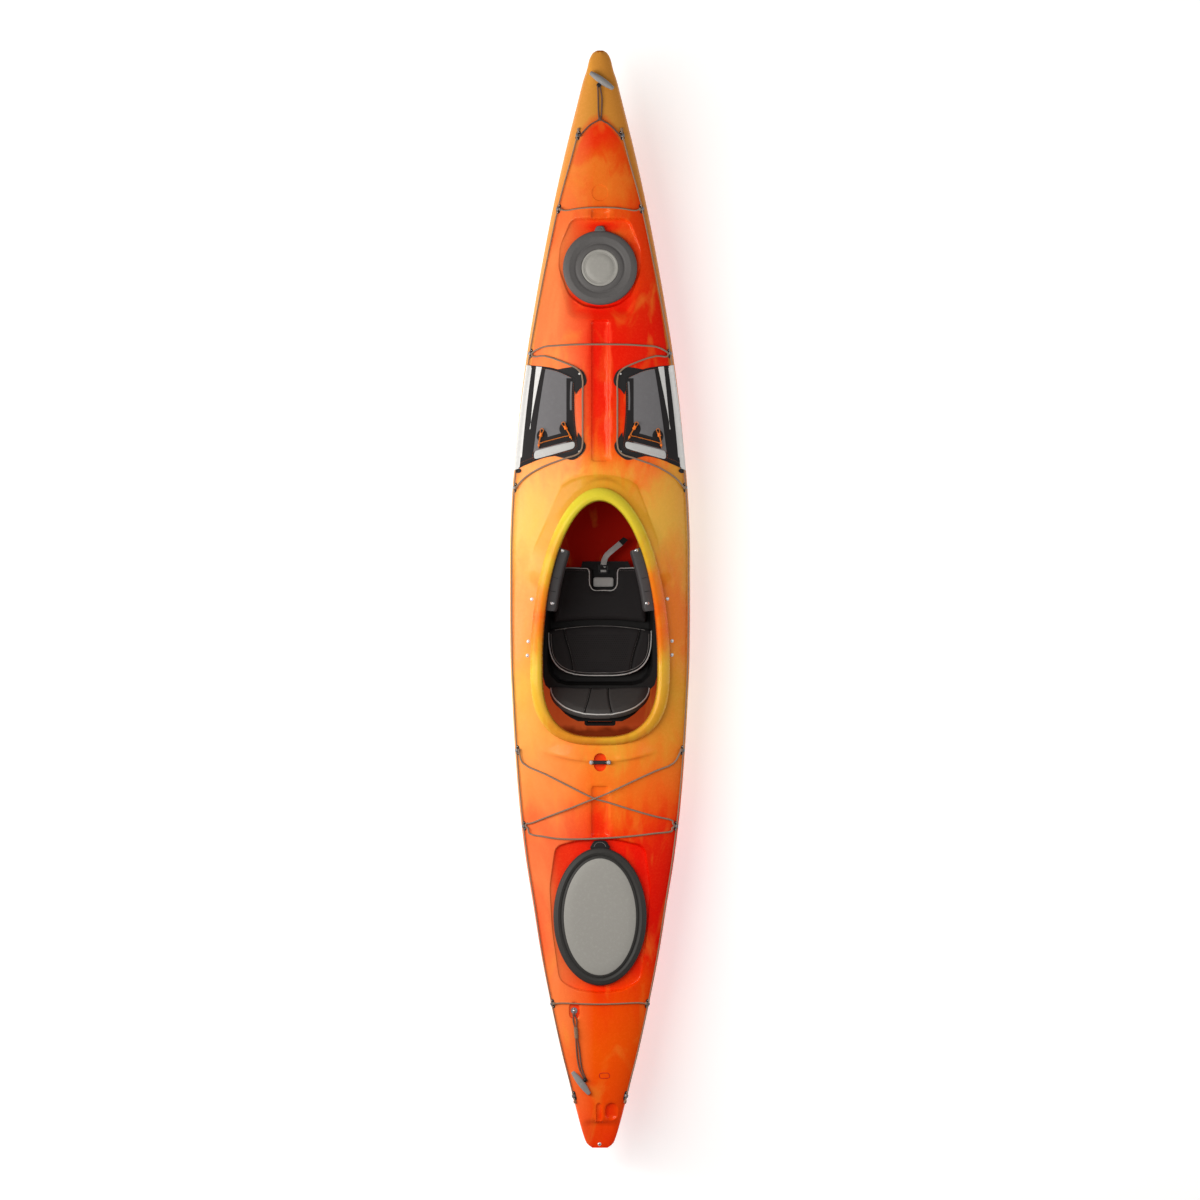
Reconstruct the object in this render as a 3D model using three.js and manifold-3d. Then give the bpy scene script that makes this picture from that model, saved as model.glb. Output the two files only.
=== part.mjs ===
// Touring sea kayak, 3.8 m long: moulded hull and deck, two hatches, seat with leg lifter and
// folding backrest, thigh braces, foot braces, deck pockets, lines, bungees and carry toggles.
// Millimetres. The bow is +Y, starboard is +X, up is +Z, and the keel rests on z = 0.
import * as THREE from "three";
import { mergeVertices } from "three/addons/utils/BufferGeometryUtils.js";
import Module from "manifold-3d";

const wasm = await Module();
wasm.setup();

// Hull and deck
const hullLength = 3810;
const beam = 628;
const deckHeight = 375;
const wall = 5;
const keelPadWidth = 90;
const seamGap = 0.3;
const clearance = 0.35;
const overrun = 60;
const noseLength = 56;
const tailLength = 64;

// Half-breadth at the gunwale: share of the length from the bow, share of half the beam
const breadthShares = [
  [0, 0.044], [0.0018, 0.078], [0.0073, 0.116], [0.018, 0.149], [0.026, 0.182], [0.049, 0.254],
  [0.095, 0.392], [0.14, 0.514], [0.186, 0.624], [0.232, 0.724], [0.277, 0.812], [0.323, 0.884],
  [0.368, 0.939], [0.414, 0.983], [0.459, 1], [0.505, 1], [0.551, 0.995], [0.596, 0.972],
  [0.642, 0.939], [0.687, 0.895], [0.733, 0.829], [0.779, 0.74], [0.824, 0.652], [0.87, 0.541],
  [0.915, 0.42], [0.938, 0.348], [0.961, 0.276], [0.98, 0.215], [0.989, 0.182], [0.9964, 0.144],
  [1, 0.088],
];
// Heights of keel, gunwale and deck crown: share of the length, share of the deck height
const keelShares = [
  [0, 0.8], [0.004, 0.7], [0.012, 0.58], [0.03, 0.42], [0.055, 0.29], [0.09, 0.17], [0.13, 0.09],
  [0.18, 0.035], [0.24, 0.008], [0.29, 0], [0.73, 0], [0.78, 0.008], [0.84, 0.03], [0.9, 0.075],
  [0.94, 0.13], [0.97, 0.21], [0.985, 0.3], [0.995, 0.42], [1, 0.54],
];
const gunwaleShares = [
  [0, 0.88], [0.1, 0.84], [0.2, 0.79], [0.3, 0.735], [0.4, 0.69], [0.5, 0.66], [0.6, 0.645],
  [0.7, 0.645], [0.8, 0.66], [0.9, 0.69], [1, 0.73],
];
const crownShares = [
  [0, 0.925], [0.03, 0.955], [0.08, 0.965], [0.2, 0.965], [0.3, 0.965], [0.36, 0.97], [0.4, 0.97],
  [0.45, 0.945], [0.5, 0.91], [0.55, 0.87], [0.6, 0.83], [0.65, 0.8], [0.72, 0.79], [0.8, 0.785],
  [0.97, 0.785], [1, 0.775],
];
// Width of the flat keel and roundness of the bilge along the length
const keelPadShares = [[0, 0.08], [0.05, 0.12], [0.15, 0.35], [0.3, 1], [0.72, 1], [0.85, 0.45], [1, 0.12]];
const bilgeShares = [[0, 1.5], [0.1, 1.7], [0.25, 2.3], [0.4, 2.9], [0.7, 2.9], [0.85, 2.3], [1, 1.8]];
const deckEdgeShare = 2.4;
const deckRiseShare = 1.6;
const stationSteps = 32;
const sectionSteps = 7;

// Cockpit opening, an egg whose widest place is far aft, and the coaming round it
const cockpit = { widest: -233, front: 577, rear: 243, half: 201.5 };
const cockpitFrontShare = 2;
const cockpitRearShare = 2.8;
const lip = { front: 45, side: 41, rear: 28, rise: 23 };
const rimShares = [[0, 0.808], [0.3, 0.812], [0.5, 0.845], [0.68, 0.9], [0.85, 0.955], [1, 0.992]];
const lipSectionShares = [
  [0, -1.3], [0, 0.5], [0.1, 0.84], [0.36, 1], [0.7, 0.8], [0.95, 0.42], [1, 0.16], [0.9, 0.06],
  [0.42, 0.26], [0.32, -1.3],
];
const coamingSteps = 44;
const plinthShares = [[0.24, 0.1], [0.9, -0.1], [1.35, -0.62], [1.35, -1.2], [0.24, -1.25]];
const plinthSteps = 14;

// Places on the deck are shares: beams across from the middle line, hull lengths ahead of the middle
function spot([across, along]) {
  return { x: across * beam, y: along * hullLength };
}

function placed(shares) {
  return shares.map(([across, along]) => [across * beam, along * hullLength]);
}

// Hatches: mouths in the deck with a standing rim, covers that snap over the rim
const hatchShares = { bow: 0.3021, stern: -0.28898, long: 0.06286 };
const bowHatch = {
  y: hatchShares.bow * hullLength, halfWidth: 128.5, halfLength: 128.5, panel: 64,
  tabWidth: 35, tabLength: 17,
};
const sternHatch = {
  y: hatchShares.stern * hullLength, halfWidth: 162, halfLength: hatchShares.long * hullLength,
  panel: 126, tabWidth: 62, tabLength: 26,
};
const rim = { wall: 5, height: 16, bead: 3 };
const coverEdge = 9;
const coverTop = 24;
const coverPlate = 6;
const panelThickness = 4;
const panelRecess = 3;
const hatchSteps = 24;

// Hatch wells: shares of the cover's half width, and of its half length with the lead
const bowWell = { depth: 22, draft: 26, lead: 36.5 };
const bowWellShares = [
  [-0.7471, 1], [-1.0739, 0.4545], [-1.1051, -0.0061], [-0.8249, -0.5758], [-0.4669, -0.7697], [0, -0.8303],
  [0.4669, -0.7697], [0.8249, -0.5758], [1.1051, -0.0061], [1.0739, 0.4545], [0.7471, 1],
];
const sternWell = { depth: 20, draft: 20, lead: 27.5 };
const sternWellShares = [
  [-0.2963, 1], [-0.9383, 0.9101], [-1.0741, 0.3783], [-1.0247, -0.1461], [-0.8642, -0.8277], [-0.5185, -0.9401],
  [0, -0.9775], [0.5185, -0.9401], [0.8642, -0.8277], [1.0247, -0.1461], [1.0741, 0.3783], [0.9383, 0.9101],
  [0.2963, 1],
];

// Other recesses in the deck
const channelWidth = 62;
const channelDepth = 7;
const channelDraft = 4;
const channelLead = 94;
const channelEnd = 147;
const notchLead = 171;
const notchLength = 30;
const aftChannelShares = { from: -0.21575, to: -0.1706 };
const coamingFront = cockpit.widest + cockpit.front + lip.front;
const foreChannel = { from: coamingFront + channelLead, to: bowHatch.y - channelEnd };
const notchChannel = { from: bowHatch.y + notchLead, to: bowHatch.y + notchLead + notchLength };
const aftChannel = { from: aftChannelShares.from * hullLength, to: aftChannelShares.to * hullLength };
const recessShares = {
  badge: [0, 0.37034], eye: [-0.14331, -0.3748], slot: [-0.00637, -0.46772], scoop: [0.06688, -0.46667],
};
const badge = { ...spot(recessShares.badge), radius: 28, depth: 2 };
const eyeWell = { ...spot(recessShares.eye), length: 54, width: 32, depth: 9, draft: 6 };
const slotWell = { ...spot(recessShares.slot), length: 64, width: 15, depth: 6, draft: 2 };
const scoopWell = { ...spot(recessShares.scoop), length: 54, width: 40, depth: 7, draft: 6 };
const platformShares = { along: -0.4769, up: 0.7467 };
const platform = { from: platformShares.along * hullLength, height: platformShares.up * deckHeight };

// Bulkheads
const bulkheadThickness = 50;
const bulkheadGap = 1.6;
const bulkheadShares = { bow: 0.24016, stern: -0.17585 };

// Seat
const seat = {
  half: 200, front: 122, rear: -328, foot: 26, rim: 108, cushionBed: 58, wallWidth: 14, taper: 14,
  corner: 60, keelHalf: 40, keelFront: 60, keelRear: -230,
};
const fold = { y: -77.5, z: 100, gap: 3 };
const cushionGap = 24;
const cushionHalf = seat.half - cushionGap;
const cushionRise = 50;
const cushionRear = -266;
const boardThickness = 4.5;
const boardFront = 116;
const lifterGap = 32;
const lifterHalf = seat.half - lifterGap;
const notch = { x: 12, half: 40, rear: 35, corner: 14 };
const buckle = { y: 108, width: 34, length: 30, height: 12, bar: 5 };
const strap = { width: 25, thickness: 2.5 };
// The strap's tail: how far ahead of the buckle, across and above its slot
const strapTail = [[54, 14, 18], [90, 54, 6], [108, 78, -6]];
const grabTab = { y: 63, width: 71, length: 33, height: 7, corner: 8 };
const seam = { width: 7, depth: 5 };
const pillowColumns = 12;
const pillowRows = 7;

// Backrest, leaning back on a hinge across its lower edge
const backrest = {
  hingeY: -317, hingeZ: 120, sideGap: 25, height: 200, thickness: 34, shell: 5, barrel: 7, start: 8.5,
  shellInset: 10,
};
const backrestLeanDegrees = 32;
// Sewn seams of the back cushion, as shares of its half width at the foot and at the top
const backrestSeamShares = [[-0.177, -0.314], [0.177, 0.24]];
const hingePin = { radius: 3.5, length: 10 };
const lug = { thickness: 8, radius: 11, inset: 50 };
const lugX = seat.half - lug.inset;
const bracket = { halfWidth: 54, reach: 24, bar: 9, lowest: 168, height: 14 };
const hanger = { from: -210, to: -124, thickness: 3, low: 72, under: 19.48, outer: 262, drop: 10 };

// Thigh braces under the coaming edge
const thighBraceDegrees = { from: 20, to: 46 };
const thighBraceSteps = 10;
const thighBraceDrop = 6;
const probeAngle = 0.01;
const braceSection = [
  [-1, -5], [-30, -5], [-36, -10], [-41, -53], [30, -60], [30, -54], [-35, -47], [-30, -15], [-1, -15],
];

// Foot braces: toothed rails on the hull sides, pedals that slide on them
const railShare = 0.14304;
const rail = { length: 430, height: 30, depth: 12, web: 4, z: 150, standoff: 9, tooth: 18, cut: 5 };
const railBoss = { radius: 9, inset: 34 };
const pedal = {
  length: 46, lipReach: 5, lipThickness: 5, plateWidth: 92, plateHeight: 104, plateThickness: 6, rib: 8,
  ribWidth: 4, travel: 150, bow: 16,
};

// Cords and deck fittings
const cordRadius = 2.5;
const bungeeRadius = 3;
const drawCordRadius = 1.5;
const knotRadius = 5;
const cordSides = 8;
const padEye = { length: 34, width: 15, base: 2.5, archLength: 10, bore: 4.3, bridge: 2.5, axis: 4 };
const lineLift = 5.7;
const lineSpacing = 190;
// Pad eyes from bow to stern: share of the length, share of the half-breadth
const eyeShares = [
  [0.0775, 0.71], [0.144, 0.87], [0.2753, 0.945], [0.3974, 0.965], [0.6372, 0.968], [0.7065, 0.965],
  [0.8687, 0.96], [0.9526, 0.935],
];
const foreBungeeSide = placed([
  [-0.41083, 0.11129], [-0.31529, 0.121], [-0.17675, 0.1294], [-0.12102, 0.13268], [-0.09873, 0.13806],
  [-0.09554, 0.15486], [-0.09554, 0.18373], [-0.09873, 0.2042], [-0.1242, 0.20997],
  [-0.16083, 0.21339], [-0.30414, 0.22205],
]);
const foreBungeeCross = placed([
  [-0.30414, 0.23045], [-0.15924, 0.23202], [0, 0.23228], [0.15924, 0.23202], [0.30414, 0.23045],
]);
const aftBungeeFirst = placed([
  [-0.42516, -0.14856], [-0.19108, -0.16798], [-0.02866, -0.1811], [0.03822, -0.18425],
  [0.22293, -0.1937], [0.39809, -0.20157],
]);
const aftBungeeCross = placed([
  [0.3949, -0.21076], [0.21019, -0.2147], [0, -0.21732], [-0.23885, -0.21759], [-0.38694, -0.21312],
]);
const aftBungeeLast = placed([
  [-0.39172, -0.2042], [-0.19108, -0.1916], [-0.03662, -0.18136], [0.02866, -0.17717],
  [0.20701, -0.16325], [0.40605, -0.14856],
]);
const foreCrossRoute = placed([
  [-0.1879, 0.35407], [-0.09554, 0.35617], [0, 0.35669], [0.09554, 0.35617], [0.1879, 0.35407],
]);
const sternCrossRoute = placed([
  [-0.20701, -0.36772], [0, -0.3685], [0.20701, -0.36745],
]);

// Deck pockets: a mesh sheet on each side of the foredeck
const pocketLift = 1.4;
const pocketThickness = 2.4;
// Corners of the port pocket: outer fore, inner fore, inner aft, outer aft
const pocketCorners = placed([
  [-0.3758, 0.21417], [-0.09554, 0.2084], [-0.09554, 0.13202], [-0.44745, 0.11549],
]);
const pocketBow = { inner: 26, fore: 18, aft: 16 };
const pocketColumns = 8;
const pocketRows = 7;
const lockBody = { radius: 6, length: 14, waist: 4.6, bore: 2 };
// The port draw cord: outer low, outer high, inner high, inner low
const drawCord = placed([
  [-0.33599, 0.13858], [-0.32006, 0.15039], [-0.1879, 0.15669], [-0.15446, 0.14593],
]);
const lockTravel = 18;

// Carry toggles
const toggle = { length: 98, radius: 12, end: 6.5 };
const toggleShares = { bow: [0.00955, 0.47192], stern: [-0.1051, -0.44042] };
const bowToggle = spot(toggleShares.bow);
const sternToggle = spot(toggleShares.stern);
const toggleDegrees = { bow: -35, stern: -53 };
const stopper = { radius: 7.5, length: 12 };
const strandGap = 8;
const strandSpread = 32;
const bowStrandShares = { spread: 0.43202, meet: 0.43727, run: 0.44619 };
const sternKnotShares = [[-0.13217, -0.39055], [-0.12739, -0.39895]];
const sternStrandShares = { upper: [-0.13694, -0.38373], lower: [-0.11624, -0.41732] };
const sternStrandHalf = { upper: 6, lower: 5 };

// Lock bar over its recess, part of the way from the coaming to where the aft bungees cross
const lockShare = 0.3226;
const coamingRear = cockpit.widest - cockpit.rear - lip.rear;
const lockWell = {
  y: coamingRear + lockShare * (aftBungeeFirst[2][1] - coamingRear), length: 62, width: 42, depth: 14, draft: 3,
};
const lockBar = { length: 76, width: 13, thickness: 5, standoff: 7, boltRadius: 8, boltHeight: 4 };
const deckEye = { postRadius: 4, ringRadius: 6.5, ringWire: 2, plateRadius: 12, plateHeight: 2.5 };

const colours = {
  hull: 0xf08a1e, deck: 0xf0661c, foam: 0x26262a, rubber: 0x3c3b3c, panel: 0xa3a19e, fabric: 0x242427,
  plastic: 0x1a1a1c, webbing: 0x8f8f8f, metal: 0xb9bcc0, cord: 0x9b7c66, orange: 0xf07818, mesh: 0x6e6c6e,
  toggle: 0x8a8887,
};

function paint(colour, roughness = 0.6, metalness = 0) {
  return new THREE.MeshStandardMaterial({ color: colour, roughness, metalness });
}

// A smooth monotone curve through rows of [place, value]
function smooth(rows) {
  const places = rows.map((row) => row[0]);
  const values = rows.map((row) => row[1]);
  const secants = values.slice(1).map((value, i) => (value - values[i]) / (places[i + 1] - places[i]));
  const slopes = values.map((_, i) => {
    if (i === 0) return secants[0];
    if (i === secants.length) return secants[i - 1];
    if (secants[i - 1] * secants[i] <= 0) return 0;
    return (2 * secants[i - 1] * secants[i]) / (secants[i - 1] + secants[i]);
  });
  return (place) => {
    const at = Math.min(Math.max(place, places[0]), places[places.length - 1]);
    const i = Math.max(places.findIndex((edge) => at <= edge) - 1, 0);
    const span = places[i + 1] - places[i];
    const t = (at - places[i]) / span;
    const rest = 1 - t;
    return (
      values[i] * rest * rest * (1 + 2 * t) +
      slopes[i] * span * t * rest * rest +
      values[i + 1] * t * t * (3 - 2 * t) -
      slopes[i + 1] * span * t * t * rest
    );
  };
}

const breadthAt = smooth(breadthShares);
const keelAt = smooth(keelShares);
const gunwaleAt = smooth(gunwaleShares);
const crownAt = smooth(crownShares);
const padAt = smooth(keelPadShares);
const bilgeAt = smooth(bilgeShares);
const eyeAt = smooth(eyeShares);
const rimAt = smooth(rimShares);

// The section of the boat at y, moved inwards by inset
function station(y, inset = 0) {
  const share = Math.min(Math.max(0.5 - y / hullLength, 0), 1);
  return {
    half: (beam / 2) * breadthAt(share) - inset,
    gunwale: deckHeight * gunwaleAt(share),
    keel: deckHeight * keelAt(share) + inset,
    crown: deckHeight * crownAt(share) - inset,
    pad: (keelPadWidth / 2) * padAt(share),
    power: bilgeAt(share),
  };
}

function deckTop(x, y, inset = 0) {
  const s = station(y, inset);
  const u = Math.min(Math.abs(x) / s.half, 1);
  return s.gunwale + (s.crown - s.gunwale) * (1 - u ** deckEdgeShare) ** (1 / deckRiseShare);
}

function deckNormal(x, y) {
  const probe = clearance;
  const across = (deckTop(x + probe, y) - deckTop(x - probe, y)) / (2 * probe);
  const along = (deckTop(x, y + probe) - deckTop(x, y - probe)) / (2 * probe);
  return new THREE.Vector3(-across, -along, 1).normalize();
}

function onDeck(x, y, lift) {
  return new THREE.Vector3(x, y, deckTop(x, y)).addScaledVector(deckNormal(x, y), lift);
}

const quarter = Math.PI / 2;

// Half sections from the gunwale inwards, as [x, z]
function hullHalf(y, inset) {
  const s = station(y, inset);
  return Array.from({ length: sectionSteps + 1 }, (_, i) => {
    const angle = (quarter * i) / sectionSteps;
    return [
      s.pad + (s.half - s.pad) * Math.cos(angle) ** (2 / s.power),
      s.gunwale - (s.gunwale - s.keel) * Math.sin(angle) ** (2 / s.power),
    ];
  });
}

function deckHalf(y, inset) {
  const s = station(y, inset);
  const foot = s.gunwale + seamGap;
  return Array.from({ length: sectionSteps + 1 }, (_, i) => {
    const angle = (quarter * i) / sectionSteps;
    return [
      i === sectionSteps ? 0 : s.half * Math.cos(angle) ** (2 / deckEdgeShare),
      foot + (s.crown - foot) * Math.sin(angle) ** (2 / deckRiseShare),
    ];
  });
}

function ringAt(y, half) {
  const mirrored = half.filter(([x]) => x > 0).reverse().map(([x, z]) => [-x, z]);
  return [...half, ...mirrored].map(([x, z]) => new THREE.Vector3(x, y, z));
}

// Closed surfaces
function surface(points, faces) {
  const volume = faces.reduce(
    (sum, [i, j, k]) => sum + points[i].dot(new THREE.Vector3().crossVectors(points[j], points[k])),
    0,
  );
  const geometry = new THREE.BufferGeometry();
  geometry.setAttribute("position", new THREE.Float32BufferAttribute(points.flatMap((p) => p.toArray()), 3));
  geometry.setIndex(faces.flatMap(([i, j, k]) => (volume < 0 ? [i, k, j] : [i, j, k])));
  return geometry;
}

function sides(rings, closed) {
  const count = rings[0].length;
  const faces = [];
  const last = closed ? rings.length : rings.length - 1;
  for (let r = 0; r < last; r++) {
    const next = (r + 1) % rings.length;
    for (let i = 0; i < count; i++) {
      const a = r * count + i;
      const b = r * count + ((i + 1) % count);
      const c = next * count + i;
      const d = next * count + ((i + 1) % count);
      faces.push([a, b, d], [a, d, c]);
    }
  }
  return faces;
}

function area(points, faces) {
  return faces.reduce((sum, [i, j, k]) => {
    const [a, b, c] = [points[i], points[j], points[k]];
    return sum + (b.x - a.x) * (c.y - a.y) - (c.x - a.x) * (b.y - a.y);
  }, 0);
}

// The faces of a flat cap, turned the way its outline runs
function capFaces(outline) {
  const faces = THREE.ShapeUtils.triangulateShape(outline, []);
  const turned = Math.sign(area(outline, faces)) === Math.sign(THREE.ShapeUtils.area(outline));
  return turned ? faces : faces.map(([i, j, k]) => [i, k, j]);
}

const byXZ = (point) => new THREE.Vector2(point.x, point.z);
const byXY = (point) => new THREE.Vector2(point.x, point.y);

// A solid through rings of points, with flat ends
function loft(rings, flat = byXZ, section = null) {
  const points = rings.flat();
  const end = points.length - rings[0].length;
  const first = capFaces(section ?? rings[0].map(flat));
  const final = capFaces(section ?? rings[rings.length - 1].map(flat));
  const faces = [
    ...sides(rings, false),
    ...first.map(([i, j, k]) => [i, k, j]),
    ...final.map(([i, j, k]) => [end + i, end + j, end + k]),
  ];
  return surface(points, faces);
}

function band(rings) {
  return surface(rings.flat(), sides(rings, true));
}

// Booleans
function solid(geometry) {
  const bare = geometry.clone();
  bare.deleteAttribute("normal");
  bare.deleteAttribute("uv");
  const merged = mergeVertices(bare);
  return new wasm.Manifold(
    new wasm.Mesh({
      numProp: 3,
      vertProperties: merged.attributes.position.array,
      triVerts: new Uint32Array(merged.index.array),
    }),
  );
}

const join = (first, ...rest) => rest.reduce((sum, next) => sum.add(solid(next)), solid(first));

function geometryOf(made) {
  const mesh = made.getMesh();
  const places = new Float32Array(mesh.numVert * 3);
  for (let i = 0; i < mesh.numVert; i++) {
    places.set(mesh.vertProperties.subarray(i * mesh.numProp, i * mesh.numProp + 3), i * 3);
  }
  const geometry = new THREE.BufferGeometry();
  geometry.setAttribute("position", new THREE.BufferAttribute(places, 3));
  geometry.setIndex(new THREE.BufferAttribute(new Uint32Array(mesh.triVerts), 1));
  geometry.computeVertexNormals();
  return geometry;
}

const kayak = new THREE.Group();

function piece(name, form, material) {
  const mesh = new THREE.Mesh(form.isBufferGeometry ? form : geometryOf(form), material);
  mesh.name = name;
  kayak.add(mesh);
  return mesh;
}

// Simple solids
function box(width, length, height, x, y, z) {
  return new THREE.BoxGeometry(width, length, height).translate(x, y, z);
}

function cylinderX(radius, length, x, y, z, count = 12) {
  return new THREE.CylinderGeometry(radius, radius, length, count).rotateZ(quarter).translate(x, y, z);
}

function cylinderZ(radius, height, x, y, z, count = 12) {
  return new THREE.CylinderGeometry(radius, radius, height, count).rotateX(quarter).translate(x, y, z);
}

function ball(radius, centre) {
  return new THREE.SphereGeometry(radius, 6, 4).translate(centre.x, centre.y, centre.z);
}

function polygon(count, radius) {
  return Array.from({ length: count }, (_, i) => {
    const angle = (4 * quarter * i) / count;
    return new THREE.Vector2(radius * Math.cos(angle), radius * Math.sin(angle));
  });
}

// A smooth curve that a tube samples at its own points, not at equal lengths
class Route extends THREE.CatmullRomCurve3 {
  getUtoTmapping(share) {
    return share;
  }
}

function tube(points, radius, refine = 1) {
  return new THREE.ExtrudeGeometry(new THREE.Shape(polygon(cordSides, radius)), {
    steps: (points.length - 1) * refine,
    extrudePath: new Route(points),
    bevelEnabled: false,
  });
}

// Outlines of [x, y] in the deck's plan
function toPlan(pairs) {
  const points = pairs.map(([x, y]) => new THREE.Vector2(x, y));
  return THREE.ShapeUtils.isClockWise(points) ? points.reverse() : points;
}

function grown(outline, distance) {
  return outline.map((point, i) => {
    const before = outline[(i + outline.length - 1) % outline.length];
    const after = outline[(i + 1) % outline.length];
    const one = point.clone().sub(before).normalize();
    const two = after.clone().sub(point).normalize();
    const normal = new THREE.Vector2(one.y + two.y, -one.x - two.x);
    return point.clone().addScaledVector(normal, (2 * distance) / normal.lengthSq());
  });
}

function level(outline, z) {
  return outline.map((point) => new THREE.Vector3(point.x, point.y, z));
}

function stadium(x, y, width, length, corners = 3) {
  const radius = width / 2;
  const run = (length - width) / 2;
  const ends = [];
  for (const side of [1, -1]) {
    for (let i = 0; i <= corners; i++) {
      const angle = (2 * quarter * i) / corners + (side > 0 ? 0 : 2 * quarter);
      ends.push([x + radius * Math.cos(angle), y + side * run + radius * Math.sin(angle)]);
    }
  }
  return toPlan(ends);
}

function roundedBox(x0, x1, y0, y1, radius, corners = 3) {
  const centres = [
    [x1 - radius, y1 - radius], [x0 + radius, y1 - radius], [x0 + radius, y0 + radius], [x1 - radius, y0 + radius],
  ];
  return toPlan(
    centres.flatMap(([x, y], corner) =>
      Array.from({ length: corners + 1 }, (_, i) => {
        const angle = quarter * (corner + i / corners);
        return [x + radius * Math.cos(angle), y + radius * Math.sin(angle)];
      }),
    ),
  );
}

function ellipse(spot, width, length, count = hatchSteps) {
  return Array.from({ length: count }, (_, i) => {
    const angle = (4 * quarter * i) / count;
    return new THREE.Vector2(width * Math.cos(angle), spot + length * Math.sin(angle));
  });
}

// A recess with sloping sides. Grown by the wall it is the material that the recess needs round it.
function recess(outline, floor, draft, grow) {
  return loft(
    [level(grown(outline, grow), floor - grow), level(grown(outline, grow + draft), floor + overrun)],
    byXY,
  );
}

function channel({ from, to }, grow) {
  const count = 7;
  const half = channelWidth / 2 + grow;
  return loft(
    Array.from({ length: count }, (_, i) => {
      const y = from - grow + ((to - from + 2 * grow) * i) / (count - 1);
      const crown = station(y).crown;
      return [
        new THREE.Vector3(half - channelDraft, y, crown - channelDepth - grow),
        new THREE.Vector3(half + overrun * (channelDraft / channelDepth) * 0.5, y, crown + overrun / 2),
        new THREE.Vector3(-half - overrun * (channelDraft / channelDepth) * 0.5, y, crown + overrun / 2),
        new THREE.Vector3(-half + channelDraft, y, crown - channelDepth - grow),
      ];
    }),
  );
}

// Hull and deck shells
const stationYs = Array.from(
  { length: stationSteps + 1 },
  (_, i) => (hullLength / 2) * Math.cos((2 * quarter * i) / stationSteps),
);
const cavityEnds = [hullLength / 2 - noseLength, -hullLength / 2 + tailLength];
const cavityYs = [
  cavityEnds[0],
  ...stationYs.filter((y) => y < cavityEnds[0] && y > cavityEnds[1]),
  cavityEnds[1],
];

function openRing(y, half, rise) {
  const ring = ringAt(y, half);
  const edge = ring[0];
  return [...ring, new THREE.Vector3(-edge.x, y, edge.z + rise), new THREE.Vector3(edge.x, y, edge.z + rise)];
}

function makeHull() {
  const outer = solid(loft(stationYs.map((y) => ringAt(y, hullHalf(y, 0)))));
  const inner = solid(loft(cavityYs.map((y) => openRing(y, hullHalf(y, wall), overrun))));
  return outer.subtract(inner);
}

// The cockpit outline: share 0 is the opening, share 1 is the outer edge of the coaming
function cockpitPoint(angle, share) {
  const c = Math.cos(angle);
  const s = Math.sin(angle);
  const power = 2 / (s >= 0 ? cockpitFrontShare : cockpitRearShare);
  const reach = s >= 0 ? cockpit.front + share * lip.front : cockpit.rear + share * lip.rear;
  return new THREE.Vector2(
    Math.sign(c) * Math.abs(c) ** power * (cockpit.half + share * lip.side),
    cockpit.widest + Math.sign(s) * Math.abs(s) ** power * reach,
  );
}

function rimBase(y) {
  const front = cockpit.widest + cockpit.front;
  const rear = cockpit.widest - cockpit.rear;
  return deckHeight * rimAt((y - rear) / (front - rear));
}

function coamingRing(angle, sectionShares, widening = 0) {
  return sectionShares.map(([across, up]) => {
    const spread = across > 1 ? 1 + (across - 1) * widening : across;
    const plan = cockpitPoint(angle, spread);
    return new THREE.Vector3(plan.x, plan.y, rimBase(cockpitPoint(angle, 0).y) + up * lip.rise);
  });
}

function makeCoaming() {
  return band(
    Array.from({ length: coamingSteps }, (_, i) =>
      coamingRing((4 * quarter * i) / coamingSteps, lipSectionShares),
    ),
  );
}

// The raised arch of the deck round the front half of the coaming
function makePlinth() {
  const section = plinthShares.map(([across, up]) => new THREE.Vector2(across, up));
  const rings = Array.from({ length: plinthSteps + 1 }, (_, i) => {
    const angle = quarter * (0.3 + (1.4 * i) / plinthSteps);
    return coamingRing(angle, plinthShares, 1 + 1.4 * Math.abs(Math.sin(2 * angle)));
  });
  return loft(rings, byXY, section);
}

function wellFloor(hatch, well) {
  return station(hatch.y).crown - well.depth;
}

const bowFloor = wellFloor(bowHatch, bowWell);
const sternFloor = wellFloor(sternHatch, sternWell);

// How far the hatch mouth lies inside the outer edge of its cover
const mouthInset = coverEdge + clearance + rim.bead + rim.wall;

function makeRim(hatch, floor) {
  const section = [
    [0, -wall / 2], [0, rim.height], [rim.wall + rim.bead, rim.height], [rim.wall, rim.height - 2 * rim.bead],
    [rim.wall, -wall / 2],
  ];
  const outlines = section.map(([out, up]) =>
    level(
      ellipse(hatch.y, hatch.halfWidth - mouthInset + out, hatch.halfLength - mouthInset + out),
      floor + up,
    ),
  );
  return band(outlines[0].map((_, i) => outlines.map((outline) => outline[i])));
}

function makeMouth(hatch, floor) {
  const inset = mouthInset - rim.wall / 2;
  const outline = ellipse(hatch.y, hatch.halfWidth - inset, hatch.halfLength - inset);
  return loft([level(outline, floor - overrun), level(outline, floor + overrun)], byXY);
}

function crownFloor(well) {
  return deckTop(well.x ?? 0, well.y) - well.depth;
}

function wellOutline(hatch, well, shares) {
  const reach = hatch.halfLength + well.lead;
  return toPlan(shares.map(([across, along]) => [across * hatch.halfWidth, hatch.y + along * reach]));
}

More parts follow.
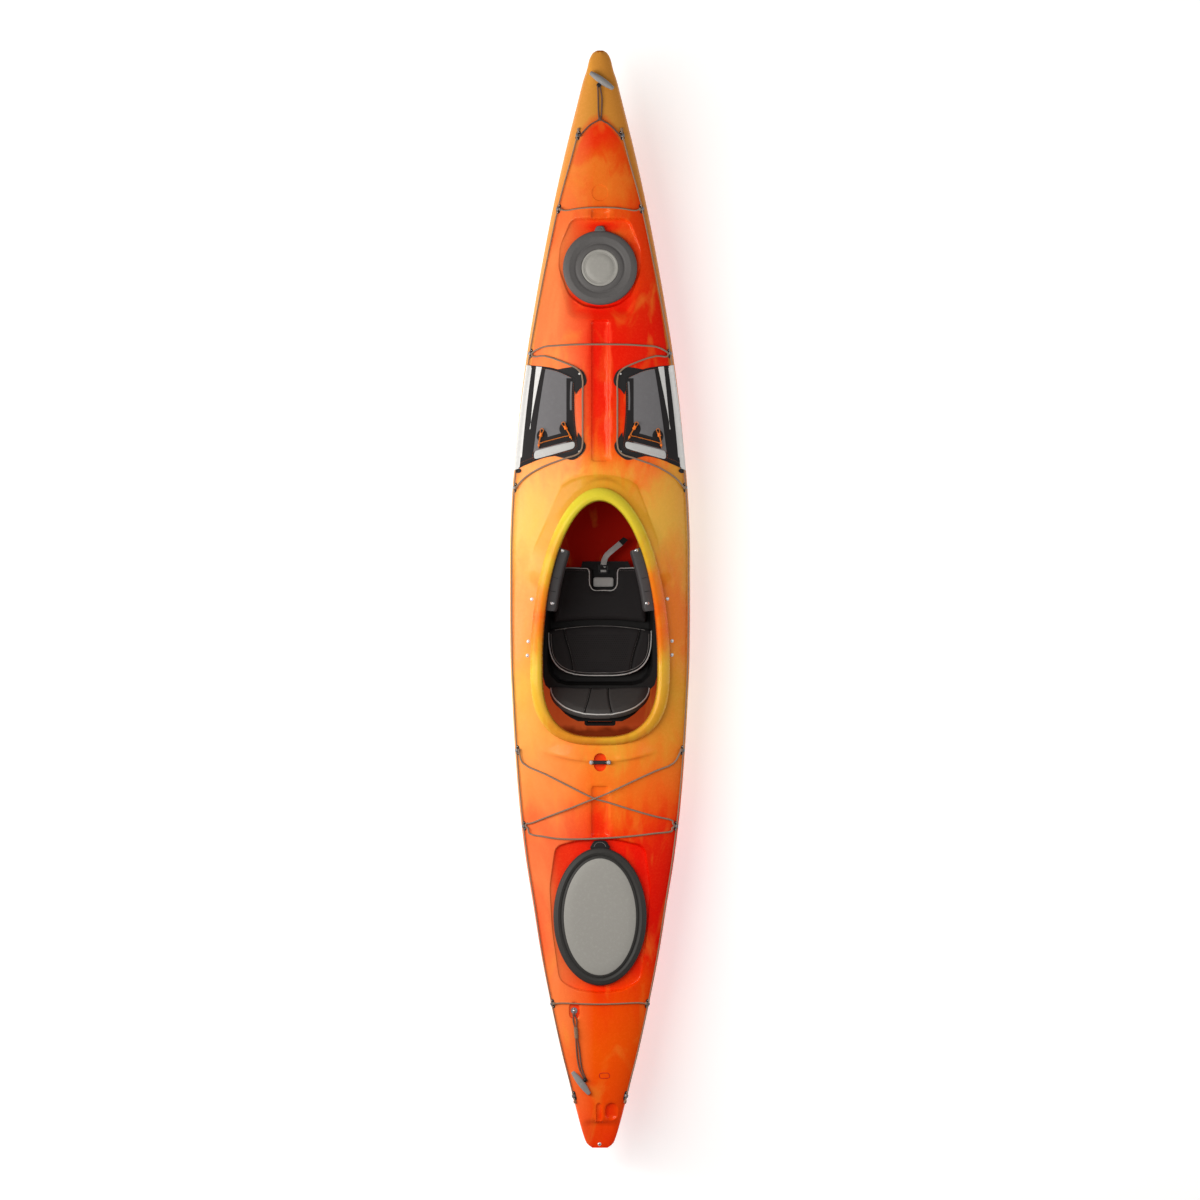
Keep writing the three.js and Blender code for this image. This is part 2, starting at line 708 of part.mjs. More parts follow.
function deckRecesses(grow) {
  const wells = [lockWell, eyeWell, slotWell, scoopWell].map((well) =>
    recess(stadium(well.x ?? 0, well.y, well.width, well.length), crownFloor(well), well.draft, grow),
  );
  const far = hullLength / 2;
  const step = box(
    beam, far, overrun, 0, platform.from + grow - far / 2, platform.height - grow + overrun / 2,
  );
  return [
    recess(wellOutline(bowHatch, bowWell, bowWellShares), bowFloor, bowWell.draft, grow),
    recess(wellOutline(sternHatch, sternWell, sternWellShares), sternFloor, sternWell.draft, grow),
    channel(foreChannel, grow),
    channel(notchChannel, grow),
    channel(aftChannel, grow),
    ...wells,
    step,
  ];
}

function badgeRecess() {
  const floor = station(badge.y).crown - badge.depth;
  return cylinderZ(badge.radius, overrun, 0, badge.y, floor + overrun / 2, 24);
}

function cockpitCut() {
  const outline = Array.from({ length: coamingSteps }, (_, i) =>
    cockpitPoint((4 * quarter * i) / coamingSteps, 0.16),
  );
  return loft([level(outline, 0), level(outline, 2 * deckHeight)], byXY);
}

const recessBodies = join(...deckRecesses(wall));
const recessCuts = join(...deckRecesses(0));

function makeDeck() {
  const outer = solid(loft(stationYs.map((y) => ringAt(y, deckHalf(y, 0)))));
  const inner = solid(loft(cavityYs.map((y) => openRing(y, deckHalf(y, wall), -overrun))));
  return outer
    .subtract(inner.subtract(recessBodies))
    .subtract(recessCuts)
    .subtract(join(makeMouth(bowHatch, bowFloor), makeMouth(sternHatch, sternFloor)))
    .subtract(join(badgeRecess(), cockpitCut()))
    .add(join(makeRim(bowHatch, bowFloor), makeRim(sternHatch, sternFloor)))
    .add(solid(makePlinth()).subtract(solid(cockpitCut())))
    .add(solid(makeCoaming()));
}

piece("hull", makeHull(), paint(colours.hull, 0.3));
piece("deck", makeDeck(), paint(colours.deck, 0.3));

// Foam bulkheads that fill the section between hull and deck
function makeBulkhead(share) {
  const from = share * hullLength;
  const inset = wall + bulkheadGap;
  const rings = [from, from + bulkheadThickness].map((y) => {
    const below = hullHalf(y, inset).reverse();
    const above = deckHalf(y, inset).slice(1);
    const side = [...below, ...above];
    const mirrored = side.filter(([x]) => x > 0).reverse().map(([x, z]) => [-x, z]);
    return [...side, ...mirrored].map(([x, z]) => new THREE.Vector3(x, y, z));
  });
  return solid(loft(rings)).subtract(join(...deckRecesses(wall + clearance)));
}

piece("bow_bulkhead", makeBulkhead(bulkheadShares.bow), paint(colours.foam, 0.9));
piece("stern_bulkhead", makeBulkhead(bulkheadShares.stern), paint(colours.foam, 0.9));

// Hatch covers
function makeCover(hatch, floor) {
  const outer = 0;
  const inner = -coverEdge;
  const panel = hatch.panel - hatch.halfWidth;
  const groove = (panel + inner) / 2;
  const under = rim.height + clearance;
  const profile = [
    [inner, under], [inner, clearance], [outer, clearance], [outer, coverTop - coverEdge],
    [-coverEdge, coverTop], [groove + coverEdge / 3, coverTop], [groove, coverTop - coverEdge / 3],
    [groove - coverEdge / 3, coverTop], [panel, coverTop], [panel, coverTop - panelRecess],
  ];
  const rings = profile.map(([out, up]) =>
    level(ellipse(hatch.y, hatch.halfWidth + out, hatch.halfLength + out), floor + up),
  );
  const tabFrom = hatch.y + hatch.halfLength - coverEdge / 2;
  const tab = roundedBox(
    -hatch.tabWidth / 2, hatch.tabWidth / 2, tabFrom, hatch.y + hatch.halfLength + hatch.tabLength,
    hatch.tabLength / 2,
  );
  const tabTop = coverTop - coverEdge;
  return join(
    loft(rings, byXY),
    loft([level(tab, floor + tabTop - coverPlate), level(tab, floor + tabTop)], byXY),
  );
}

function makePanel(hatch, floor) {
  const bed = floor + coverTop - panelRecess + clearance;
  const inset = hatch.panel - hatch.halfWidth - clearance;
  const profile = [
    [inset, 0], [inset, panelThickness * 0.7], [inset - panelThickness, panelThickness],
    [inset - hatch.panel / 2, panelThickness * 1.4],
  ];
  return loft(
    profile.map(([out, up]) => level(ellipse(hatch.y, hatch.halfWidth + out, hatch.halfLength + out), bed + up)),
    byXY,
  );
}

piece("bow_hatch_cover", makeCover(bowHatch, bowFloor), paint(colours.rubber, 0.7));
piece("bow_hatch_disc", makePanel(bowHatch, bowFloor), paint(colours.panel, 0.6));
piece("stern_hatch_cover", makeCover(sternHatch, sternFloor), paint(colours.rubber, 0.7));
piece("stern_hatch_panel", makePanel(sternHatch, sternFloor), paint(colours.panel, 0.6));

// Seat base: a moulded pan, open at the front, standing on the keel
function seatOutline(grow, front = seat.front) {
  return roundedBox(-seat.half - grow, seat.half + grow, seat.rear - grow, front + grow, seat.corner);
}

function makeSeatBase() {
  const outer = loft(
    [
      level(seatOutline(-4 * seat.taper), seat.foot),
      level(seatOutline(-seat.taper), seat.cushionBed),
      level(seatOutline(0), seat.rim),
    ],
    byXY,
  );
  const bed = roundedBox(
    -seat.half + seat.wallWidth + seat.taper, seat.half - seat.wallWidth - seat.taper,
    seat.rear + 3 * seat.wallWidth,
    seat.front + overrun + seat.corner, seat.corner,
  );
  const hollow = loft([level(bed, seat.cushionBed), level(grown(bed, seat.taper), seat.rim + clearance)], byXY);
  const keelTop = seat.foot + seat.wallWidth;
  const keelFoot = wall + clearance;
  const keel = box(
    2 * seat.keelHalf, seat.keelFront - seat.keelRear, keelTop - keelFoot, 0,
    (seat.keelFront + seat.keelRear) / 2,
    (keelTop + keelFoot) / 2,
  );
  const lugs = [-1, 1].flatMap((side) => {
    const x = side * (lugX + lug.thickness / 2);
    const pinX = side * (lugX - hingePin.length / 2 + clearance);
    const drop = backrest.hingeZ - seat.rim + seat.wallWidth;
    return [
      cylinderX(lug.radius, lug.thickness, x, backrest.hingeY, backrest.hingeZ),
      box(lug.thickness, 2 * lug.radius, drop, x, backrest.hingeY, backrest.hingeZ - drop / 2),
      cylinderX(hingePin.radius, hingePin.length, pinX, backrest.hingeY, backrest.hingeZ),
    ];
  });
  return solid(outer).subtract(solid(hollow)).add(join(keel, ...lugs));
}

piece("seat_base", makeSeatBase(), paint(colours.plastic, 0.5));

// A stuffed pad: crowned top, drawn-in sides, and sewn seams as shallow channels.
// halfAt gives the half width at a share of its length, seams are [x at start, x at end].
function makePillow({ halfAt, length, thickness, seams = [], crown = 0.4 }) {
  const point = (i, j) => {
    const u = (2 * i) / pillowColumns - 1;
    const v = j / pillowRows;
    const half = halfAt(v);
    const x = u * half;
    const dome = (1 - Math.abs(u) ** 4) ** 0.5 * (1 - Math.abs(2 * v - 1) ** 4) ** 0.5;
    const sewn = seams.reduce(
      (sum, [from, to]) => sum + Math.exp(-(((x - from - (to - from) * v) / seam.width) ** 2)),
      0,
    );
    const top = thickness * (1 - crown + crown * dome) - seam.depth * Math.min(sewn, 1) * dome ** 0.5;
    return new THREE.Vector3(x * 0.965, length * (0.02 + 0.96 * v), top);
  };
  const points = [];
  for (let j = 0; j <= pillowRows; j++) for (let i = 0; i <= pillowColumns; i++) points.push(point(i, j));
  const at = (i, j) => j * (pillowColumns + 1) + i;
  const faces = [];
  for (let j = 0; j < pillowRows; j++) {
    for (let i = 0; i < pillowColumns; i++) {
      faces.push([at(i, j), at(i + 1, j), at(i + 1, j + 1)], [at(i, j), at(i + 1, j + 1), at(i, j + 1)]);
    }
  }
  const loop = [];
  for (let i = 0; i < pillowColumns; i++) loop.push([i, 0]);
  for (let j = 0; j < pillowRows; j++) loop.push([pillowColumns, j]);
  for (let i = pillowColumns; i > 0; i--) loop.push([i, pillowRows]);
  for (let j = pillowRows; j > 0; j--) loop.push([0, j]);
  let upper = loop.map(([i, j]) => at(i, j));
  for (const [scale, up] of [[1, 0.35], [0.97, 0]]) {
    const lower = loop.map(([i, j]) => {
      const u = (2 * i) / pillowColumns - 1;
      const v = j / pillowRows;
      const middle = length / 2;
      points.push(
        new THREE.Vector3(u * halfAt(v) * scale, middle + (length * v - middle) * scale, thickness * up),
      );
      return points.length - 1;
    });
    upper.forEach((a, n) => {
      const b = upper[(n + 1) % upper.length];
      const c = lower[n];
      const d = lower[(n + 1) % lower.length];
      faces.push([a, c, b], [b, c, d]);
    });
    upper = lower;
  }
  points.push(new THREE.Vector3(0, length / 2, 0));
  const centre = points.length - 1;
  upper.forEach((a, n) => faces.push([a, centre, upper[(n + 1) % upper.length]]));
  return surface(points, faces);
}

// Rear cushion, drawn from the fold aft
const bedTop = seat.cushionBed + clearance;

function makeSeatCushion() {
  const pad = makePillow({
    halfAt: (v) => cushionHalf * (1 - 0.62 * v ** 3.2),
    length: fold.y - fold.gap / 2 - cushionRear,
    thickness: cushionRise,
    seams: [[-0.72 * cushionHalf, -0.5 * cushionHalf], [0.72 * cushionHalf, 0.5 * cushionHalf]],
  });
  return pad.rotateZ(2 * quarter).translate(0, fold.y - fold.gap / 2, bedTop);
}

piece("seat_cushion", makeSeatCushion(), paint(colours.fabric, 0.95));

// Leg lifter: a stiff board under the front cushion, both turning at the fold
function makeLifterBoard() {
  const outline = roundedBox(-lifterHalf, lifterHalf, fold.y + fold.gap / 2, boardFront, seat.corner / 3);
  return loft([level(outline, bedTop), level(outline, bedTop + boardThickness)], byXY);
}

const boardTop = bedTop + boardThickness;

function notchOutline(grow) {
  return roundedBox(
    notch.x - notch.half - grow, notch.x + notch.half + grow, notch.rear - grow, boardFront + overrun,
    notch.corner,
  );
}

function makeLifterCushion() {
  const pad = makePillow({
    halfAt: (v) => lifterHalf * (1 - 0.12 * v ** 2),
    length: boardFront - fold.y - fold.gap / 2,
    thickness: cushionRise - boardThickness - clearance,
    crown: 0.3,
  }).translate(0, fold.y + fold.gap / 2, boardTop + clearance);
  const cut = loft([level(notchOutline(0), seat.foot), level(notchOutline(0), deckHeight)], byXY);
  return solid(pad).subtract(solid(cut));
}

piece("leg_lifter_board", makeLifterBoard(), paint(colours.plastic, 0.5));
piece("leg_lifter_cushion", makeLifterCushion(), paint(colours.fabric, 0.95));

// Buckle frame on the board, with the strap through it
const buckleBed = boardTop + clearance;

function makeBuckle() {
  const outline = roundedBox(
    notch.x - buckle.width / 2, notch.x + buckle.width / 2,
    buckle.y - buckle.length / 2, buckle.y + buckle.length / 2,
    buckle.bar,
  );
  const slotHalf = strap.width / 2 + clearance;
  const slotHeight = strap.thickness + 2 * clearance;
  const tunnel = box(
    2 * slotHalf, buckle.length + overrun, slotHeight, notch.x, buckle.y, buckleBed + buckle.height / 2,
  );
  const window = box(
    2 * slotHalf - buckle.bar, buckle.length - 3 * buckle.bar, buckle.height, notch.x, buckle.y,
    buckleBed + buckle.height,
  );
  const frame = loft([level(outline, buckleBed), level(outline, buckleBed + buckle.height)], byXY);
  return solid(frame).subtract(join(tunnel, window));
}

function makeStrap() {
  const half = strap.thickness / 2;
  const run = buckleBed + buckle.height / 2;
  const near = grabTab.y + grabTab.length / 2 - strap.width / 2 - buckle.y;
  const line = [[near, 0, 0], [0, 0, 0], [buckle.length, 0, 0], ...strapTail];
  const rings = line.map(([ahead, across, up]) => {
    const corner = (x, z) => new THREE.Vector3(notch.x + across + x, buckle.y + ahead, run + up + z);
    const edge = strap.width / 2;
    return [corner(-edge, -half), corner(edge, -half), corner(edge, half), corner(-edge, half)];
  });
  const tab = roundedBox(
    notch.x - grabTab.width / 2, notch.x + grabTab.width / 2, grabTab.y - grabTab.length / 2,
    grabTab.y + grabTab.length / 2, grabTab.corner,
  );
  const tabTop = buckleBed + grabTab.height;
  const edge = tabTop - strap.thickness;
  return join(
    loft(rings),
    loft([level(tab, buckleBed), level(tab, edge), level(grown(tab, -strap.thickness), tabTop)], byXY),
  );
}

piece("strap_buckle", makeBuckle(), paint(colours.plastic, 0.45));
piece("lifter_strap", makeStrap(), paint(colours.webbing, 0.9));

// Backrest, built flat and then leaned back about its hinge
const leanBack = (backrestLeanDegrees * Math.PI) / 180;
const backrestFrame = new THREE.Matrix4()
  .makeBasis(
    new THREE.Vector3(-1, 0, 0),
    new THREE.Vector3(0, -Math.sin(leanBack), Math.cos(leanBack)),
    new THREE.Vector3(0, Math.cos(leanBack), Math.sin(leanBack)),
  )
  .setPosition(0, backrest.hingeY, backrest.hingeZ);

const backrestHalfWidth = seat.half - backrest.sideGap;

function backrestHalf(v) {
  return backrestHalfWidth * (0.97 - 0.03 * (1 - v)) * (1 - v ** 2.4 * 0.42) * (1 - 0.12 * v ** 8);
}

function makeBackrestCushion() {
  return makePillow({
    halfAt: backrestHalf,
    length: backrest.height - backrest.start,
    thickness: backrest.thickness,
    seams: backrestSeamShares.map((seamShares) => seamShares.map((share) => share * backrestHalfWidth)),
    crown: 0.45,
  })
    .translate(0, backrest.start, clearance)
    .applyMatrix4(backrestFrame);
}

function makeBackrestShell() {
  const rows = 8;
  const shellHalf = (v) => backrestHalf(v) - backrest.shellInset;
  const top = backrest.height - backrest.shellInset;
  const barrelHalf = lugX - clearance;
  const neck = [[barrelHalf - clearance, 0], [barrelHalf - clearance, lug.radius + hingePin.radius]];
  const right = [
    ...neck,
    ...Array.from({ length: rows }, (_, i) => [shellHalf((i + 1) / rows), (top * (i + 1)) / rows]),
  ];
  const left = right.map(([x, y]) => [-x, y]).reverse();
  const outline = toPlan([...right, ...left]);
  const plate = loft([level(outline, -backrest.shell), level(outline, 0)], byXY);
  const barrel = cylinderX(backrest.barrel, 2 * barrelHalf, 0, 0, 0);
  const bores = [-1, 1].map((side) =>
    cylinderX(hingePin.radius + clearance, 2 * (hingePin.length + clearance), side * barrelHalf, 0, 0),
  );
  const loopOutline = roundedBox(
    -bracket.halfWidth, bracket.halfWidth, -backrest.shell - bracket.reach, overrun, bracket.bar,
  );
  const holeOutline = roundedBox(
    -bracket.halfWidth + bracket.bar, bracket.halfWidth - bracket.bar,
    -backrest.shell - bracket.reach + bracket.bar,
    2 * overrun, bracket.bar / 2,
  );
  const handle = solid(loft([level(loopOutline, 0), level(loopOutline, bracket.height)], byXY))
    .subtract(solid(loft([level(holeOutline, -overrun), level(holeOutline, overrun)], byXY)))
    .subtract(solid(box(beam, 2 * overrun, 2 * overrun, 0, overrun - backrest.shell / 2, 0)));
  const handleMesh = geometryOf(handle).rotateX(quarter).translate(0, bracket.lowest + bracket.height, 0);
  handleMesh.deleteAttribute("normal");
  const made = join(plate, barrel).subtract(join(...bores)).add(solid(handleMesh));
  return geometryOf(made).applyMatrix4(backrestFrame);
}

piece("backrest_shell", makeBackrestShell(), paint(colours.plastic, 0.5));
piece("backrest_cushion", makeBackrestCushion(), paint(colours.fabric, 0.95));

// Seat hangers: bent strips from the deck's underside down to the seat rim
function stripOutline(line, thickness) {
  const points = line.map(([x, y]) => new THREE.Vector2(x, y));
  const shifted = (side) =>
    points.map((point, i) => {
      const before = points[Math.max(i - 1, 0)];
      const after = points[Math.min(i + 1, points.length - 1)];
      const run = after.clone().sub(before).normalize();
      return new THREE.Vector2(point.x - run.y * side * thickness, point.y + run.x * side * thickness);
    });
  return [...shifted(0.5), ...shifted(-0.5).reverse()];
}

function makeHanger(side) {
  const x = seat.half + clearance + hanger.thickness / 2 + clearance;
  const middle = (hanger.from + hanger.to) / 2;
  const under = (at) => deckTop(at, middle, wall) - hanger.drop / 2;
  const skirt = cockpit.half + lip.side * 0.32 + hanger.drop;
  const step = rimBase(middle) + lipSectionShares[0][1] * lip.rise - hanger.under;
  const line = [
    [x, hanger.low], [x, step], [skirt, step + hanger.drop],
    [skirt + hanger.drop, under(skirt + hanger.drop)],
    [hanger.outer, under(hanger.outer)],
  ];
  const outline = stripOutline(line, hanger.thickness);
  const rings = [hanger.from, hanger.to].map((y) => outline.map((p) => new THREE.Vector3(side * p.x, y, p.y)));
  return loft(rings);
}

piece("port_seat_hanger", makeHanger(-1), paint(colours.plastic, 0.5));
piece("starboard_seat_hanger", makeHanger(1), paint(colours.plastic, 0.5));

// Thigh braces: bent arms that hook under the coaming's skirt
function makeThighBrace(side) {
  const section = braceSection.map(([out, up]) => new THREE.Vector2(out, up));
  const rings = Array.from({ length: thighBraceSteps + 1 }, (_, i) => {
    const sweep = thighBraceDegrees.to - thighBraceDegrees.from;
    const degrees = thighBraceDegrees.from + (sweep * i) / thighBraceSteps;
    const angle = (degrees * Math.PI) / 180;
    const plan = cockpitPoint(angle, 0);
    const ahead = cockpitPoint(angle + probeAngle, 0).sub(plan).normalize();
    const base = rimBase(plan.y) - thighBraceDrop;
    return braceSection.map(
      ([out, up]) => new THREE.Vector3(side * (plan.x + out * ahead.y), plan.y - out * ahead.x, base + up),
    );
  });
  return loft(rings, byXY, section);
}

piece("port_thigh_brace", makeThighBrace(-1), paint(colours.plastic, 0.5));
piece("starboard_thigh_brace", makeThighBrace(1), paint(colours.plastic, 0.5));

// The hull's inner half width at a height, on the facets that the cavity really has
function cavityHalf(y, z) {
  const next = cavityYs.findIndex((edge) => edge <= y);
  const [fore, aft] = [cavityYs[next - 1], cavityYs[next]];
  const halfAt = (place) => {
    const ring = hullHalf(place, wall);
    const low = ring.findIndex((point) => point[1] <= z);
    const [upper, lower] = [ring[low - 1], ring[low]];
    return upper[0] + ((lower[0] - upper[0]) * (upper[1] - z)) / (upper[1] - lower[1]);
  };
  const share = (fore - y) / (fore - aft);
  return halfAt(fore) + (halfAt(aft) - halfAt(fore)) * share;
}

// A rail lies along its own Y, with its web at x = 0 and its teeth below
function railPlace(side) {
  const middle = railShare * hullLength;
  const [fore, aft] = [1, -1].map((way) => {
    const y = middle + way * (rail.length / 2 - railBoss.inset);
    return new THREE.Vector2(cavityHalf(y, rail.z - railBoss.radius) - rail.standoff - 2 * clearance, y);
  });
  const turn = Math.atan2(fore.x - aft.x, fore.y - aft.y);
  return { x: side * ((fore.x + aft.x) / 2), y: middle, z: rail.z, turn: -side * turn };
}

function makeRail(side) {
  const half = rail.length / 2;
  const teeth = Math.floor(rail.length / rail.tooth) - 2;
  const edge = [[-half, rail.height / 2], [-half, -rail.height / 2]];
  for (let i = 0; i < teeth; i++) {
    const from = -((teeth * rail.tooth) / 2) + i * rail.tooth;
    edge.push(
      [from, -rail.height / 2], [from + rail.tooth / 4, -rail.height / 2 + rail.cut],
      [from + rail.tooth / 2, -rail.height / 2 + rail.cut], [from + (3 * rail.tooth) / 4, -rail.height / 2],
    );
  }
  edge.push([half, -rail.height / 2], [half, rail.height / 2]);
  const outline = edge.map(([y, z]) => new THREE.Vector2(y, z));
  const rings = [-rail.web, 0].map((x) => outline.map((p) => new THREE.Vector3(side * x, p.x, p.y)));
  const web = loft(rings, (point) => new THREE.Vector2(point.y, point.z));
  const flange = box(
    rail.depth, rail.length, rail.web, side * (-rail.depth / 2), 0, rail.height / 2 - rail.web / 2,
  );
  const bosses = [1, -1].map((way) =>
    cylinderX(
      railBoss.radius, rail.standoff + rail.web / 2, side * (rail.standoff - rail.web / 2) * 0.5,
      way * (half - railBoss.inset), 0,
    ),
  );
  return join(web, flange, ...bosses);
}

// A pedal hooks over both edges of its rail and carries a curved foot plate
function makePedal(side) {
  const inner = -(rail.depth + clearance);
  const grip = pedal.lipThickness;
  const height = rail.height + 2 * (clearance + grip);
  const body = box(grip, pedal.length, height, side * (inner - grip / 2), 0, 0);
  const lips = [1, -1].map((way) => {
    const reach = -inner + grip - rail.web - clearance;
    return box(
      reach, pedal.length, grip, side * (inner - grip + reach / 2), 0,
      way * (rail.height / 2 + clearance + grip / 2),
    );
  });
  const columns = 6;
  const plateRing = (x) => {
    const share = x / pedal.plateWidth;
    const bow = pedal.bow * (1 - (2 * share - 1) ** 2);
    const low = -pedal.plateHeight / 2 + pedal.bow * share ** 4;
    const high = pedal.plateHeight / 2 - pedal.bow * share ** 4;
    return [[bow, low], [bow + pedal.plateThickness, low], [bow + pedal.plateThickness, high], [bow, high]].map(
      ([y, z]) => new THREE.Vector3(side * (inner - grip / 2 - x), y - pedal.length / 2, z),
    );
  };
  const plate = loft(
    Array.from({ length: columns + 1 }, (_, i) => plateRing((pedal.plateWidth * i) / columns)),
    (point) => new THREE.Vector2(point.y, point.z),
  );
  const ribs = [-1, 0, 1].map((row) =>
    box(
      pedal.plateWidth * 0.8, pedal.rib + pedal.bow, pedal.ribWidth,
      side * (inner - grip - pedal.plateWidth * 0.4), pedal.plateThickness + pedal.bow / 2 - pedal.length / 2,
      (row * pedal.plateHeight) / 4,
    ),
  );
  return join(body, ...lips, plate, ...ribs);
}

function setOnRail(mesh, side) {
  const place = railPlace(side);
  mesh.position.set(place.x, place.y, place.z);
  mesh.rotation.z = place.turn;
}

for (const [name, side] of [["port", -1], ["starboard", 1]]) {
  setOnRail(piece(`${name}_foot_rail`, makeRail(side), paint(colours.metal, 0.4, 0.7)), side);
  setOnRail(piece(`${name}_foot_pedal`, makePedal(side), paint(colours.plastic, 0.5)), side);
}

// Perimeter lines and the pad eyes that they run through
function lineAt(side, share) {
  const y = hullLength * (0.5 - share);
  return onDeck(side * station(y).half * eyeAt(share), y, lineLift);
}

function eyeFrame(side, index) {
  const share = eyeShares[index][0];
  const y = hullLength * (0.5 - share);
  const x = side * station(y).half * eyeShares[index][1];
  const step = padEye.length / hullLength / 4;
  const along = lineAt(side, share - step).sub(lineAt(side, share + step)).normalize();
  const normal = deckNormal(x, y);
  const across = new THREE.Vector3().crossVectors(along, normal).normalize();
  const up = new THREE.Vector3().crossVectors(across, along).normalize();
  const foot = onDeck(x, y, clearance);
  return new THREE.Matrix4().makeBasis(across, along, up).setPosition(foot);
}

// A point beside a pad eye: inboard, along the boat and above its plate
function beside(side, index, inboard, along, up) {
  return new THREE.Vector3(-side * inboard, along, up).applyMatrix4(eyeFrame(side, index));
}

function makePadEye() {
  const plate = stadium(0, 0, padEye.width, padEye.length, 3);
  const outer = padEye.bore + padEye.bridge;
  const foot = -(padEye.axis - padEye.base / 2);
  const bends = 4;
  const arc = (radius, from, to) =>
    Array.from({ length: bends + 1 }, (_, i) => {
      const angle = from + ((to - from) * i) / bends;
      return new THREE.Vector2(radius * Math.cos(angle), radius * Math.sin(angle));
    });
  const outline = [
    new THREE.Vector2(outer, foot), ...arc(outer, 0, 2 * quarter), new THREE.Vector2(-outer, foot),
    new THREE.Vector2(-padEye.bore, foot), ...arc(padEye.bore, 2 * quarter, 0),
    new THREE.Vector2(padEye.bore, foot),
  ];
  const shape = new THREE.Shape(outline);
  const arch = new THREE.ExtrudeGeometry(shape, { depth: padEye.archLength, bevelEnabled: false })
    .rotateX(quarter)
    .translate(0, padEye.archLength / 2, padEye.axis);
  return join(loft([level(plate, 0), level(plate, padEye.base)], byXY), arch);
}

const padEyeGeometry = geometryOf(makePadEye());

// Points at both ends and the middle of every pad eye, and enough of them between two eyes
function linePoints(side) {
  const reach = padEye.length / 2 / hullLength;
  const shares = eyeShares.flatMap(([share], index) => {
    const own = [share - reach, share, share + reach];
    if (index === eyeShares.length - 1) return own;
    const span = eyeShares[index + 1][0] - share - 2 * reach;
    const count = Math.ceil((span * hullLength) / lineSpacing);
    const between = Array.from({ length: count - 1 }, (_, i) => share + reach + (span * (i + 1)) / count);
    return [...own, ...between];
  });
  return shares.map((share) => lineAt(side, share));
}

function bothSides(make) {
  make("port", -1);
  make("starboard", 1);
}

bothSides((name, side) => {
  eyeShares.forEach((_, index) => {
    const mesh = piece(`${name}_pad_eye_${index + 1}`, padEyeGeometry, paint(colours.plastic, 0.4));
    mesh.applyMatrix4(eyeFrame(side, index));
  });
  piece(`${name}_perimeter_line`, tube(linePoints(side), cordRadius), paint(colours.cord, 0.9));
});

// Bungees and cross lines, on hand-set routes over the deck
const bungeeLift = pocketLift + pocketThickness + clearance + bungeeRadius;
const crossingLift = bungeeLift + 2 * bungeeRadius + 3 * clearance;
const archOuter = padEye.bore + padEye.bridge;
const mirrored = (route) => route.map(([x, y]) => [-x, y]).reverse();

// A hand-set route smoothed in plan, then laid over the deck
function over(route, lift, refine = 2) {
  const plan = new THREE.SplineCurve(route.map(([x, y]) => new THREE.Vector2(x, y)));
  return plan.getPoints((route.length - 1) * refine).map((point) => onDeck(point.x, point.y, lift));
}

// A round thing of this radius that touches both the arch and the plate of a pad eye
function nestedBeside(radius) {
  const up = padEye.base + clearance + radius;
  const reach = archOuter + clearance + radius;
  return { up, inboard: Math.sqrt(reach ** 2 - (up - padEye.axis) ** 2) };
}

function knotBeside(side, index, along, radius) {
  const { up, inboard } = nestedBeside(radius);
  return beside(side, index, inboard, along, up);
}

function turnBeside(side, index) {
  const { up, inboard } = nestedBeside(bungeeRadius);
  const reach = 3 * bungeeRadius;
  return [
    beside(side, index, inboard + reach, -reach, up),
    beside(side, index, inboard, 0, up),
    beside(side, index, inboard + reach, reach, up),
  ];
}

function makeForeBungee() {
  const portStart = knotBeside(-1, 3, 0, knotRadius);
  const starboardEnd = knotBeside(1, 3, 0, knotRadius);
  const path = [
    portStart,
    ...over(foreBungeeSide, bungeeLift, 1),
    ...turnBeside(-1, 2),
    ...over(foreBungeeCross, bungeeLift),
    ...turnBeside(1, 2).reverse(),
    ...over(mirrored(foreBungeeSide), bungeeLift, 1),
    starboardEnd,
  ];
  return join(tube(path, bungeeRadius), ball(knotRadius, portStart), ball(knotRadius, starboardEnd));
}

function makeAftBungee() {
  const portStart = knotBeside(-1, 4, 0, knotRadius);
  const starboardEnd = knotBeside(1, 4, 0, knotRadius);
  const middle = over(aftBungeeLast, bungeeLift).map((point) => {
    const rise = Math.max(0, 1 - Math.abs(point.x) / (beam / 4));
    return point.add(new THREE.Vector3(0, 0, (crossingLift - bungeeLift) * Math.min(2 * rise, 1)));
  });
  const path = [
    portStart,
    ...over(aftBungeeFirst, bungeeLift),
    ...turnBeside(1, 5).reverse(),
    ...over(aftBungeeCross, bungeeLift),
    ...turnBeside(-1, 5),
    ...middle,
    starboardEnd,
  ];
  return join(tube(path, bungeeRadius), ball(knotRadius, portStart), ball(knotRadius, starboardEnd));
}

function makeCrossLine(index, route, lift) {
  const ends = [-1, 1].map((side) => knotBeside(side, index, 0, knotRadius));
  const path = [ends[0], ...over(route, lift), ends[1]];
  return join(tube(path, cordRadius), ball(knotRadius, ends[0]), ball(knotRadius, ends[1]));
}

piece("fore_bungee", makeForeBungee(), paint(colours.cord, 0.9));
piece("aft_bungee", makeAftBungee(), paint(colours.cord, 0.9));
piece("fore_cross_line", makeCrossLine(1, foreCrossRoute, bungeeLift), paint(colours.cord, 0.9));
piece("stern_cross_line", makeCrossLine(6, sternCrossRoute, bungeeLift), paint(colours.cord, 0.9));

